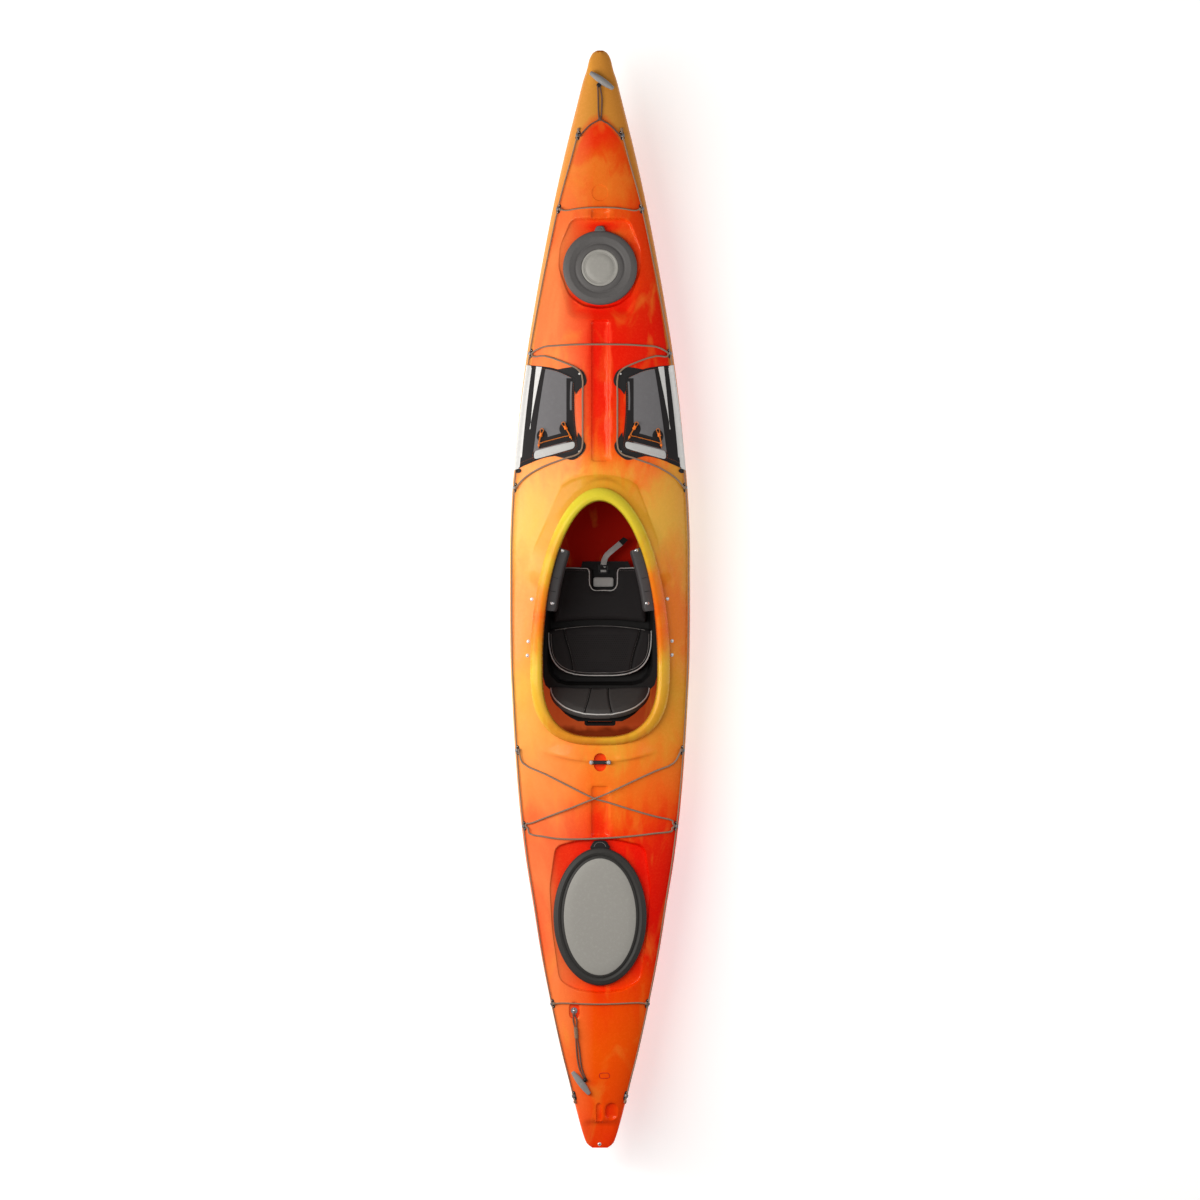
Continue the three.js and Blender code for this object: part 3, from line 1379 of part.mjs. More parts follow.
// Deck pockets, draped on the deck between their corners
function makePocket(side) {
  const [outerFore, innerFore, innerAft, outerAft] = pocketCorners;
  const mix = (a, b, t) => a + (b - a) * t;
  const sheet = (lift) => {
    const points = [];
    for (let j = 0; j <= pocketRows; j++) {
      for (let i = 0; i <= pocketColumns; i++) {
        const u = (i / pocketColumns) ** 1.4;
        const v = j / pocketRows;
        const swell = 4 * v * (1 - v);
        const sag = 4 * u * (1 - u);
        const x = mix(mix(outerFore[0], innerFore[0], u), mix(outerAft[0], innerAft[0], u), v);
        const y = mix(mix(outerFore[1], innerFore[1], u), mix(outerAft[1], innerAft[1], u), v);
        const planX = x - pocketBow.inner * swell * u;
        const planY = y - pocketBow.fore * sag * (1 - v) + pocketBow.aft * sag * v;
        points.push(onDeck(-side * planX, planY, lift));
      }
    }
    return points;
  };
  const lower = sheet(pocketLift);
  const upper = sheet(pocketLift + pocketThickness);
  const at = (i, j) => j * (pocketColumns + 1) + i;
  const offset = lower.length;
  const faces = [];
  for (let j = 0; j < pocketRows; j++) {
    for (let i = 0; i < pocketColumns; i++) {
      const [a, b, c, d] = [at(i, j), at(i + 1, j), at(i + 1, j + 1), at(i, j + 1)];
      faces.push([a, c, b], [a, d, c]);
      faces.push([a + offset, b + offset, c + offset], [a + offset, c + offset, d + offset]);
    }
  }
  const wallFaces = (a, b) => faces.push([a, b, b + offset], [a, b + offset, a + offset]);
  for (let i = 0; i < pocketColumns; i++) {
    wallFaces(at(i, 0), at(i + 1, 0));
    wallFaces(at(i + 1, pocketRows), at(i, pocketRows));
  }
  for (let j = 0; j < pocketRows; j++) {
    wallFaces(at(pocketColumns, j), at(pocketColumns, j + 1));
    wallFaces(at(0, j + 1), at(0, j));
  }
  return surface([...lower, ...upper], faces);
}

// The draw cord of a pocket runs up one leg, across, and down the other; a cord lock rides on each leg
function drawCordPlaces(side) {
  const flip = ([x, y]) => [-side * x, y];
  const [lowOuter, highOuter, highInner, lowInner] = drawCord.map(flip);
  const top = pocketLift + pocketThickness;
  const ride = top + 2 * clearance + lockBody.radius;
  const leg = (low, high) => {
    const plan = new THREE.Vector2(...low).sub(new THREE.Vector2(...high));
    const share = (lockTravel + lockBody.length * 0.8) / plan.length();
    const bend = plan.multiplyScalar(share).add(new THREE.Vector2(...high));
    return {
      low: onDeck(...low, top + clearance + drawCordRadius),
      bend: onDeck(bend.x, bend.y, ride),
      high: onDeck(...high, ride),
    };
  };
  return { outer: leg(lowOuter, highOuter), inner: leg(lowInner, highInner) };
}

function legAxis({ bend, high }) {
  return high.clone().sub(bend).normalize();
}

function makeDrawCord(side) {
  const { outer, inner } = drawCordPlaces(side);
  const past = (leg) => leg.high.clone().addScaledVector(legAxis(leg), lockBody.length);
  const middle = past(outer).lerp(past(inner), 0.5);
  const path = [
    outer.low, outer.bend, outer.high, past(outer), middle, past(inner), inner.high, inner.bend, inner.low,
  ];
  return tube(path, drawCordRadius);
}

function makeCordLock(leg) {
  const profile = [
    [lockBody.bore, 0], [lockBody.radius, 0], [lockBody.radius, 0.3 * lockBody.length],
    [lockBody.waist, 0.5 * lockBody.length], [lockBody.radius, 0.7 * lockBody.length],
    [lockBody.radius, lockBody.length], [lockBody.bore, lockBody.length], [lockBody.bore, 0],
  ].map(([x, y]) => new THREE.Vector2(x, y - lockBody.length / 2));
  const turn = new THREE.Quaternion().setFromUnitVectors(new THREE.Vector3(0, 1, 0), legAxis(leg));
  return new THREE.LatheGeometry(profile, 8).applyQuaternion(turn).translate(...leg.high.toArray());
}

bothSides((name, side) => {
  piece(`${name}_deck_pocket`, makePocket(side), paint(colours.mesh, 0.9));
  piece(`${name}_pocket_cord`, makeDrawCord(side), paint(colours.orange, 0.9));
  const places = drawCordPlaces(side);
  piece(`${name}_outer_cord_lock`, makeCordLock(places.outer), paint(colours.orange, 0.5));
  piece(`${name}_inner_cord_lock`, makeCordLock(places.inner), paint(colours.orange, 0.5));
});

// Carry toggles: a spindle grip, and a looped cord with its stopper
function makeToggle(place, turn) {
  const half = toggle.length / 2;
  const profile = [
    [0, -half], [toggle.end, -half], [toggle.radius * 0.8, -half * 0.55], [toggle.radius, 0],
    [toggle.radius * 0.8, half * 0.55], [toggle.end, half], [0, half],
  ].map(([x, y]) => new THREE.Vector2(x, y));
  const height = deckTop(place.x, place.y) + toggle.radius + 3 * clearance;
  return new THREE.LatheGeometry(profile, 10)
    .rotateZ(quarter + turn)
    .translate(place.x, place.y, height);
}

const bowTurn = (toggleDegrees.bow * Math.PI) / 180;
const sternTurn = (toggleDegrees.stern * Math.PI) / 180;

// The stopper lies square against the middle of its toggle, on the side that faces the boat
function stopperPlace(place, angle) {
  const away = toggle.radius + clearance + stopper.length / 2;
  const x = place.x + away * Math.cos(angle);
  const y = place.y + away * Math.sin(angle);
  return new THREE.Vector3(x, y, deckTop(x, y) + stopper.radius + 3 * clearance);
}

function makeStopper(place, angle) {
  const centre = stopperPlace(place, angle);
  return new THREE.CylinderGeometry(stopper.radius, stopper.radius, stopper.length, 8)
    .rotateZ(angle - quarter)
    .translate(centre.x, centre.y, centre.z);
}

function makeBowToggleCord() {
  const stop = stopperPlace(bowToggle, bowTurn - quarter);
  const ends = [-1, 1].map((side) => knotBeside(side, 0, padEye.archLength / 4, knotRadius));
  const meetRadius = strandGap * 0.8;
  const meet = onDeck(0, bowStrandShares.meet * hullLength, meetRadius + 2 * clearance);
  const strands = [-1, 1].map((side, i) => {
    const lay = (x, y) => onDeck(side * x, y, 2 * cordRadius);
    const end = stop.clone().add(new THREE.Vector3(side * clearance, 0, 0));
    return tube(
      [
        ends[i], lay(strandSpread, bowStrandShares.spread * hullLength), lay(strandGap / 2, meet.y),
        lay(strandGap / 2, bowStrandShares.run * hullLength), end,
      ],
      cordRadius,
    );
  });
  const balls = ends.map((end) => ball(knotRadius, end));
  return join(...strands, ...balls, ball(meetRadius, meet), makeStopper(bowToggle, bowTurn - quarter));
}

function makeSternToggleCord() {
  const stop = stopperPlace(sternToggle, sternTurn + quarter);
  const behind = deckEye.ringRadius + deckEye.ringWire + clearance + knotRadius;
  const eye = deckEyeTop().add(new THREE.Vector3(0, -behind, 0));
  const knotPlaces = placed(sternKnotShares).map(([x, y]) => onDeck(x, y, knotRadius + clearance));
  const strand = (shares, half, from, to) => {
    const { x, y } = spot(shares);
    return [-1, 1].map((side) => tube([from, onDeck(x + side * half, y, 2 * cordRadius), to], cordRadius));
  };
  const upper = strand(sternStrandShares.upper, sternStrandHalf.upper, eye, knotPlaces[0]);
  const lower = strand(sternStrandShares.lower, sternStrandHalf.lower, knotPlaces[1], stop);
  const along = knotPlaces[1].clone().sub(knotPlaces[0]).normalize();
  const centre = knotPlaces[0].clone().lerp(knotPlaces[1], 0.5).add(new THREE.Vector3(0, 0, knotRadius));
  const wrap = new THREE.CapsuleGeometry(knotRadius * 1.5, knotPlaces[0].distanceTo(knotPlaces[1]), 2, 8)
    .applyQuaternion(new THREE.Quaternion().setFromUnitVectors(new THREE.Vector3(0, 1, 0), along))
    .translate(...centre.toArray());
  return join(ball(knotRadius, eye), ...upper, ...lower, wrap, makeStopper(sternToggle, sternTurn + quarter));
}

// The sunk eye that holds the stern toggle: a plate, a post and a ring on top of it
function deckEyeBase() {
  return new THREE.Vector3(eyeWell.x, eyeWell.y, crownFloor(eyeWell) + clearance);
}

function deckEyeTop() {
  const rise = deckEye.plateHeight + deckEye.ringRadius + deckEye.ringWire;
  return deckEyeBase().add(new THREE.Vector3(0, 0, rise));
}

function makeDeckEye() {
  const base = deckEyeBase();
  const ring = new THREE.TorusGeometry(deckEye.ringRadius, deckEye.ringWire, 6, 12).rotateY(quarter);
  const top = deckEyeTop();
  const postZ = base.z + deckEye.plateHeight + deckEye.ringWire / 2;
  return join(
    cylinderZ(deckEye.plateRadius, deckEye.plateHeight, base.x, base.y, base.z + deckEye.plateHeight / 2),
    cylinderZ(deckEye.postRadius, deckEye.ringWire * 2, base.x, base.y, postZ),
    ring.translate(top.x, top.y, top.z),
  );
}

piece("bow_toggle", makeToggle(bowToggle, bowTurn), paint(colours.toggle, 0.5));
piece("bow_toggle_cord", makeBowToggleCord(), paint(colours.cord, 0.9));
piece("stern_toggle", makeToggle(sternToggle, sternTurn), paint(colours.toggle, 0.5));
piece("stern_toggle_cord", makeSternToggleCord(), paint(colours.cord, 0.9));
piece("stern_deck_eye", makeDeckEye(), paint(colours.metal, 0.3, 0.8));

// Lock bar on two bolts over its recess
function makeLockBar() {
  const reach = lockBar.length / 2 - lockBar.boltRadius;
  const foot = deckTop(reach - lockBar.boltRadius, lockWell.y) + 2 * clearance;
  const low = foot + lockBar.standoff;
  const flat = stadium(0, 0, lockBar.width, lockBar.length);
  const outline = flat.map((p) => new THREE.Vector2(-p.y, p.x + lockWell.y));
  const bar = loft([level(outline, low), level(outline, low + lockBar.thickness)], byXY);
  const stem = low - foot + lockBar.thickness / 2;
  const headZ = low + lockBar.thickness + lockBar.boltHeight / 2 - clearance;
  const bolts = [-1, 1].flatMap((side) => [
    cylinderZ(lockBar.boltRadius, stem, side * reach, lockWell.y, foot + stem / 2),
    cylinderZ(lockBar.boltRadius, lockBar.boltHeight, side * reach, lockWell.y, headZ, 6),
  ]);
  return join(bar, ...bolts);
}

piece("lock_bar", makeLockBar(), paint(colours.metal, 0.35, 0.8));

export default kayak;
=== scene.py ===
"""Looks of the touring sea kayak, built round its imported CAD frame. Metres; bow +Y, starboard +X."""

import math

import bmesh
import bpy
import numpy as np
from mathutils import Matrix, Vector
from mathutils.bvhtree import BVHTree
from mathutils.geometry import delaunay_2d_cdt


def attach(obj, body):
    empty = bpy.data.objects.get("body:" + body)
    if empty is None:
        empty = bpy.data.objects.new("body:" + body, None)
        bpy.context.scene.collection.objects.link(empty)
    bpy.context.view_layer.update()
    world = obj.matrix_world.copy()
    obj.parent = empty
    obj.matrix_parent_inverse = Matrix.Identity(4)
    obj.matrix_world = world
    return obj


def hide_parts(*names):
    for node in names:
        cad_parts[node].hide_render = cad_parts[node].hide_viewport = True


bl_info = {
    "name": "Sea Kayak",
    "version": (1, 0, 0),
    "blender": (4, 2, 0),
    "location": "View3D > Sidebar > Sea Kayak",
    "description": "Builds the visible pieces of a touring sea kayak round its CAD frame",
    "category": "Add Mesh",
}

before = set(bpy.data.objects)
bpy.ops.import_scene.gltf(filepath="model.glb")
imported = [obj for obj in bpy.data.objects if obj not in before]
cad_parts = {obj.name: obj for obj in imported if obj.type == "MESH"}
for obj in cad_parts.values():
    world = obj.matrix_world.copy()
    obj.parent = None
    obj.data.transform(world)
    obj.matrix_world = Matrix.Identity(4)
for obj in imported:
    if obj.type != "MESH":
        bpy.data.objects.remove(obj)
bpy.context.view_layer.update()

SIDES = (("port", -1), ("starboard", 1))

# Hull and deck, as in the CAD
LENGTH = 3.81
BEAM = 0.628
HEIGHT = 0.375
WALL = 0.005
KEEL_PAD = 0.09
CLEAR = 0.00035
CAVITY = (-LENGTH / 2 + 0.064, LENGTH / 2 - 0.056)
BREADTH = [
    (0, 0.044), (0.0018, 0.078), (0.0073, 0.116), (0.018, 0.149), (0.026, 0.182), (0.049, 0.254),
    (0.095, 0.392), (0.14, 0.514), (0.186, 0.624), (0.232, 0.724), (0.277, 0.812), (0.323, 0.884),
    (0.368, 0.939), (0.414, 0.983), (0.459, 1), (0.505, 1), (0.551, 0.995), (0.596, 0.972),
    (0.642, 0.939), (0.687, 0.895), (0.733, 0.829), (0.779, 0.74), (0.824, 0.652), (0.87, 0.541),
    (0.915, 0.42), (0.938, 0.348), (0.961, 0.276), (0.98, 0.215), (0.989, 0.182), (0.9964, 0.144),
    (1, 0.088),
]
KEEL = [
    (0, 0.8), (0.004, 0.7), (0.012, 0.58), (0.03, 0.42), (0.055, 0.29), (0.09, 0.17), (0.13, 0.09),
    (0.18, 0.035), (0.24, 0.008), (0.29, 0), (0.73, 0), (0.78, 0.008), (0.84, 0.03), (0.9, 0.075),
    (0.94, 0.13), (0.97, 0.21), (0.985, 0.3), (0.995, 0.42), (1, 0.54),
]
GUNWALE = [
    (0, 0.88), (0.1, 0.84), (0.2, 0.79), (0.3, 0.735), (0.4, 0.69), (0.5, 0.66), (0.6, 0.645),
    (0.7, 0.645), (0.8, 0.66), (0.9, 0.69), (1, 0.73),
]
CROWN = [
    (0, 0.925), (0.03, 0.955), (0.08, 0.965), (0.2, 0.965), (0.3, 0.965), (0.36, 0.97), (0.4, 0.97),
    (0.45, 0.945), (0.5, 0.91), (0.55, 0.87), (0.6, 0.83), (0.65, 0.8), (0.72, 0.79), (0.8, 0.785),
    (0.97, 0.785), (1, 0.775),
]
PAD = [(0, 0.08), (0.05, 0.12), (0.15, 0.35), (0.3, 1), (0.72, 1), (0.85, 0.45), (1, 0.12)]
BILGE = [(0, 1.5), (0.1, 1.7), (0.25, 2.3), (0.4, 2.9), (0.7, 2.9), (0.85, 2.3), (1, 1.8)]
EDGE_POWER = 2.4
RISE_POWER = 1.6

# Cockpit
WIDEST, FRONT, REAR, HALF = -0.233, 0.577, 0.243, 0.2015
LIP_FRONT, LIP_SIDE, LIP_REAR, LIP_RISE = 0.045, 0.041, 0.028, 0.023
RIM = [(0, 0.808), (0.3, 0.812), (0.5, 0.845), (0.68, 0.9), (0.85, 0.955), (1, 0.992)]
LIP_SECTION = [
    (0, -1.3), (0, -0.4), (0, 0.42), (0.09, 0.82), (0.34, 1), (0.7, 0.82), (0.94, 0.44), (1, 0.18), (0.92, 0.05),
    (0.6, 0.16), (0.4, 0.14), (0.32, -0.3), (0.32, -1.3),
]

# Recesses: outline at the floor, floor depth, and how far the wall leans out for each metre up
BOW_WELL = [
    (-0.096, 1.316), (-0.138, 1.226), (-0.142, 1.15), (-0.106, 1.056), (-0.06, 1.024), (0, 1.014),
    (0.06, 1.024), (0.106, 1.056), (0.142, 1.15), (0.138, 1.226), (0.096, 1.316),
]
STERN_WELL = [
    (-0.048, -0.834), (-0.152, -0.858), (-0.174, -1.000), (-0.166, -1.14), (-0.14, -1.322), (-0.084, -1.352),
    (0, -1.362), (0.084, -1.352), (0.14, -1.322), (0.166, -1.14), (0.174, -1.000), (0.152, -0.858),
    (0.048, -0.834),
]
# The crease round the front of the cockpit
ARCH_EDGE = [
    (-0.2467, 0.125), (-0.2258, 0.191), (-0.1925, 0.2654), (-0.1647, 0.3307), (-0.144, 0.372), (-0.133, 0.398),
    (-0.1, 0.418), (-0.05, 0.431), (0, 0.4355), (0.05, 0.431), (0.1, 0.418), (0.13, 0.398),
    (0.1424, 0.365), (0.16, 0.321), (0.1796, 0.2654), (0.2004, 0.21), (0.22, 0.125),
]
CHANNELS = [(0.483, 0.966), (1.322, 1.352), (-0.822, -0.65)]
CHANNEL_HALF, CHANNEL_DEPTH, CHANNEL_LEAN = 0.027, 0.007, 0.58
BOW_HATCH = {"y": 1.151, "wide": 0.1285, "long": 0.1285, "panel": 0.064, "tab": (0.035, 0.017)}
STERN_HATCH = {"y": -1.101, "wide": 0.162, "long": 0.2395, "panel": 0.126, "tab": (0.062, 0.026)}
BOW_DEPTH, STERN_DEPTH = 0.022, 0.02
RIM_WALL, RIM_HEIGHT, RIM_BEAD = 0.005, 0.016, 0.003
COVER_EDGE, COVER_TOP, PANEL_RECESS = 0.009, 0.024, 0.003
MOUTH_INSET = COVER_EDGE + CLEAR + RIM_BEAD + RIM_WALL
PLATFORM_Y, PLATFORM_Z = -1.817, 0.28
DECK_EYE, DECK_EYE_DEPTH = (-0.09, -1.428), 0.009
LOCK_Y = -0.564
HOLE_SIDES, HOLE_SHARE = 260, 0.16

# Cords and the pad eyes that hold them
CORD, BUNGEE, DRAW, KNOT = 0.0025, 0.003, 0.0015, 0.005
EYE_LENGTH, EYE_WIDTH, EYE_BASE, EYE_BORE, EYE_BRIDGE, EYE_AXIS = 0.034, 0.015, 0.0025, 0.0043, 0.0025, 0.004
EYES = [
    (0.0775, 0.71), (0.144, 0.87), (0.2753, 0.945), (0.3974, 0.965), (0.6372, 0.968), (0.7065, 0.965),
    (0.8687, 0.96), (0.9526, 0.935),
]
LINE_LIFT = 0.0057
BUNGEE_LIFT = 0.0014 + 0.0024 + CLEAR + BUNGEE
CROSSING_LIFT = BUNGEE_LIFT + 2 * BUNGEE + 3 * CLEAR
FORE_SIDE = [
    (-0.258, 0.424), (-0.198, 0.461), (-0.111, 0.493), (-0.076, 0.5055), (-0.062, 0.526), (-0.06, 0.59),
    (-0.06, 0.7), (-0.062, 0.778), (-0.078, 0.8), (-0.101, 0.813), (-0.191, 0.846),
]
FORE_CROSS = [(-0.191, 0.878), (-0.1, 0.884), (0, 0.885), (0.1, 0.884), (0.191, 0.878)]
AFT_FIRST = [(-0.267, -0.566), (-0.12, -0.64), (-0.018, -0.69), (0.024, -0.702), (0.14, -0.738), (0.25, -0.768)]
AFT_CROSS = [(0.248, -0.803), (0.132, -0.818), (0, -0.828), (-0.15, -0.829), (-0.243, -0.812)]
AFT_LAST = [(-0.246, -0.778), (-0.12, -0.73), (-0.023, -0.691), (0.018, -0.675), (0.13, -0.622), (0.255, -0.566)]
BOW_CROSS = [(-0.118, 1.349), (-0.06, 1.357), (0, 1.359), (0.06, 1.357), (0.118, 1.349)]
STERN_CROSS = [(-0.13, -1.401), (0, -1.404), (0.13, -1.4)]

# Deck pockets and their draw cords
POCKET_LIFT, POCKET_THICK = 0.0014, 0.0024
DRAW_PLACES = [(-0.211, 0.528), (-0.201, 0.573), (-0.118, 0.597), (-0.097, 0.556)]
LOCK_R, LOCK_LENGTH, LOCK_TRAVEL = 0.006, 0.014, 0.018

# Carry toggles
TOGGLE_LENGTH, TOGGLE_R, TOGGLE_END = 0.098, 0.012, 0.0065
BOW_TOGGLE = (0.006, 1.798, -35)
STERN_TOGGLE = (-0.066, -1.678, -53)
STOP_R, STOP_LENGTH = 0.0075, 0.012
STRAND_GAP = 0.008


def smooth(rows):
    """A smooth monotone curve through rows of (place, value), for arrays."""
    x = np.array([row[0] for row in rows], float)
    v = np.array([row[1] for row in rows], float)
    rise = np.diff(v) / np.diff(x)
    slope = np.empty_like(v)
    slope[0], slope[-1] = rise[0], rise[-1]
    both = rise[:-1] * rise[1:]
    total = rise[:-1] + rise[1:]
    slope[1:-1] = np.where(both > 0, 2 * both / np.where(total == 0, 1, total), 0)

    def at(place):
        p = np.clip(np.asarray(place, float), x[0], x[-1])
        i = np.clip(np.searchsorted(x, p) - 1, 0, len(x) - 2)
        span = x[i + 1] - x[i]
        t = (p - x[i]) / span
        r = 1 - t
        return (
            v[i] * r * r * (1 + 2 * t) + slope[i] * span * t * r * r
            + v[i + 1] * t * t * (3 - 2 * t) - slope[i + 1] * span * t * t * r
        )

    return at


moved = Matrix.Translation
breadth_at, keel_at, gunwale_at, crown_at = smooth(BREADTH), smooth(KEEL), smooth(GUNWALE), smooth(CROWN)
pad_at, bilge_at, eye_at, rim_at = smooth(PAD), smooth(BILGE), smooth(EYES), smooth(RIM)


def share_of(y):
    return np.clip(0.5 - np.asarray(y, float) / LENGTH, 0, 1)


def half_at(y, inset=0.0):
    return BEAM / 2 * breadth_at(share_of(y)) - inset


def deck_top(x, y):
    """Height of the plain deck."""
    s = share_of(y)
    low, high = HEIGHT * gunwale_at(s), HEIGHT * crown_at(s)
    u = np.minimum(np.abs(x) / half_at(y), 1)
    return low + (high - low) * (1 - u**EDGE_POWER) ** (1 / RISE_POWER)


def on_deck(x, y, lift):
    """The point this far off the plain deck at (x, y)."""
    step = CLEAR
    across = (deck_top(x + step, y) - deck_top(x - step, y)) / (2 * step)
    along = (deck_top(x, y + step) - deck_top(x, y - step)) / (2 * step)
    return Vector((x, y, float(deck_top(x, y)))) + deck_normal(across, along) * lift


def axes(across, along, up):
    """The turn that takes X, Y and Z to these ways."""
    return Matrix((across, along, up)).transposed().to_4x4()


def deck_normal(across, along):
    return Vector((-float(across), -float(along), 1)).normalized()


def normal_at(x, y):
    return (on_deck(x, y, 1) - on_deck(x, y, 0)).normalized()


# Mesh helpers
def link(name, data):
    """A new object in the scene."""
    obj = bpy.data.objects.new(name, data)
    bpy.context.scene.collection.objects.link(obj)
    return obj


def make(name, verts, faces, looks="", uvs=None, sharp=38):
    """A smooth-shaded mesh object in named looks; edges sharper than the angle stay crisp."""
    mesh = bpy.data.meshes.new(name)
    mesh.from_pydata([tuple(v) for v in verts], [], [tuple(int(i) for i in f) for f in faces])
    mesh.validate()
    if uvs is not None:
        layer = mesh.uv_layers.new(name="UVMap")
        flat = np.array([uvs[loop.vertex_index] for loop in mesh.loops], np.float32)
        layer.data.foreach_set("uv", flat.ravel())
    for look in looks.split():
        mesh.materials.append(material(look))
    mesh.polygons.foreach_set("use_smooth", [True] * len(mesh.polygons))
    mesh.set_sharp_from_angle(angle=math.radians(sharp))
    mesh.update()
    return link(name, mesh)


def edited(obj, work):
    """The object with a change made to its mesh as a bmesh."""
    edit = bmesh.new()
    edit.from_mesh(obj.data)
    work(edit)
    edit.to_mesh(obj.data)
    edit.free()
    obj.data.update()
    return obj


def outward(obj):
    """Turns every closed shell's faces outward."""
    return edited(obj, lambda edit: bmesh.ops.recalc_face_normals(edit, faces=edit.faces))


def grid(rows, columns, close_rows=False, close_columns=False, flip=False, start=0):
    faces = []
    for r in range(rows if close_rows else rows - 1):
        for c in range(columns if close_columns else columns - 1):
            a = start + r * columns + c
            b = start + r * columns + (c + 1) % columns
            d = start + ((r + 1) % rows) * columns + c
            e = start + ((r + 1) % rows) * columns + (c + 1) % columns
            faces.append((a, d, e, b) if flip else (a, b, e, d))
    return faces


def shell(name, rings, look, sharp=38):
    """A solid through rings of points, with flat ends."""
    count = len(rings[0])
    last = (len(rings) - 1) * count
    faces = grid(len(rings), count, close_columns=True)
    faces += [tuple(range(count))[::-1], tuple(range(last, last + count))]
    return outward(make(name, [p for ring in rings for p in ring], faces, look, sharp=sharp))


def band(name, rings, look, sharp=38):
    """A closed ring of rings."""
    verts = [p for ring in rings for p in ring]
    return outward(make(name, verts, grid(len(rings), len(rings[0]), True, True), look, sharp=sharp))


def spline(points, steps, closed=False):
    """A centripetal curve through points, as an array."""
    p = np.array([tuple(q) for q in points], float)
    ends = (p[-1:], p[:1], p[1:2]) if closed else (2 * p[:1] - p[1:2], 2 * p[-1:] - p[-2:-1], p[:0])
    p = np.concatenate([ends[0], p, ends[1], ends[2]])
    made = []
    for i in range(1, len(p) - 2):
        a, b, c, d = p[i - 1 : i + 3]
        k = [max(np.linalg.norm(q - r) ** 0.5, 1e-6) for q, r in ((b, a), (c, b), (d, c))]
        m1 = (b - a) / k[0] - (c - a) / (k[0] + k[1]) + (c - b) / k[1]
        m2 = (c - b) / k[1] - (d - b) / (k[1] + k[2]) + (d - c) / k[2]
        m1, m2 = m1 * k[1], m2 * k[1]
        for n in range(steps):
            t = n / steps
            made.append(
                (2 * t**3 - 3 * t**2 + 1) * b + (t**3 - 2 * t**2 + t) * m1
                + (3 * t**2 - 2 * t**3) * c + (t**3 - t**2) * m2
            )
    if not closed:
        made.append(p[-2])
    return np.array(made)


def frames_along(points):
    """Parallel frames (side, up) along a line of points."""
    p = np.array([tuple(q) for q in points], float)
    ahead = np.gradient(p, axis=0)
    ahead /= np.linalg.norm(ahead, axis=1)[:, None]
    up = np.array([0, 0, 1.0]) if abs(ahead[0][2]) < 0.9 else np.array([0, 1.0, 0])
    side = np.cross(ahead[0], up)
    side /= np.linalg.norm(side)
    made = []
    for way in ahead:
        side = side - way * side.dot(way)
        side /= np.linalg.norm(side)
        made.append((side.copy(), np.cross(side, way)))
    return p, made


def run_along(p):
    """How far along a line each of its points lies."""
    return np.concatenate([[0], np.cumsum(np.linalg.norm(np.diff(p, axis=0), axis=1))])


def tube(name, points, radius, look, sides=10):
    """A round tube along points, with a UV map that runs round and along it in diameters."""
    p, turned = frames_along(points)
    length = run_along(p)
    verts, uvs = [], []
    for i, (centre, (side, up)) in enumerate(zip(p, turned)):
        for j in range(sides + 1):
            angle = 2 * math.pi * j / sides
            verts.append(centre + (side * math.cos(angle) + up * math.sin(angle)) * radius)
            uvs.append((j / sides, length[i] / (2 * radius)))
    faces = grid(len(p), sides + 1)
    for end, centre in ((0, p[0]), (len(p) - 1, p[-1])):
        verts.append(centre)
        uvs.append((0.5, length[end] / (2 * radius)))
        tip = len(verts) - 1
        ring = [end * (sides + 1) + j for j in range(sides + 1)]
        for a, b in zip(ring, ring[1:]):
            faces.append((a, tip, b) if end == 0 else (a, b, tip))
    obj = make(name, verts, faces, look, uvs=uvs, sharp=50)
    return outward(edited(obj, lambda edit: bmesh.ops.remove_doubles(edit, verts=edit.verts, dist=1e-6)))


def lathe(name, profile, look="", sides=32, sharp=38):
    """A turned solid about Z through (radius, height) pairs; a radius of zero closes an end."""
    verts, faces = [], []
    rings = []
    for radius, height in profile:
        if radius < 1e-7:
            rings.append([len(verts)])
            verts.append((0, 0, height))
            continue
        rings.append(list(range(len(verts), len(verts) + sides)))
        for j in range(sides):
            angle = 2 * math.pi * j / sides
            verts.append((radius * math.cos(angle), radius * math.sin(angle), height))
    for low, high in zip(rings, rings[1:]):
        for j in range(sides):
            k = (j + 1) % sides
            if len(low) == 1 and len(high) > 1:
                faces.append((low[0], high[j], high[k]))
            elif len(high) == 1 and len(low) > 1:
                faces.append((low[j], low[k], high[0]))
            elif len(low) > 1:
                faces.append((low[j], low[k], high[k], high[j]))
    return outward(make(name, verts, faces, look, sharp=sharp))


def place(obj, matrix):
    """Moves the mesh itself, so that the object stays at the origin."""
    obj.data.transform(matrix)
    obj.data.update()
    return obj


def merge(name, objects):
    """Several meshes as one, with their materials kept."""
    made = bmesh.new()
    materials = []
    for obj in objects:
        start = len(made.faces)
        made.from_mesh(obj.data)
        made.faces.ensure_lookup_table()
        slots = []
        for item in obj.data.materials:
            if item not in materials:
                materials.append(item)
            slots.append(materials.index(item))
        for face in made.faces[start:]:
            face.material_index = slots[min(face.material_index, len(slots) - 1)] if slots else 0
    mesh = bpy.data.meshes.new(name)
    made.to_mesh(mesh)
    made.free()
    for item in materials:
        mesh.materials.append(item)
    for obj in objects:
        bpy.data.objects.remove(obj)
    return link(name, mesh)


def points_of(obj):
    return np.array([tuple(v.co) for v in obj.data.vertices])


def modify(obj, kind, **settings):
    modifier = obj.modifiers.new(kind.title(), kind)
    for key, value in settings.items():
        setattr(modifier, key, value)
    return modifier


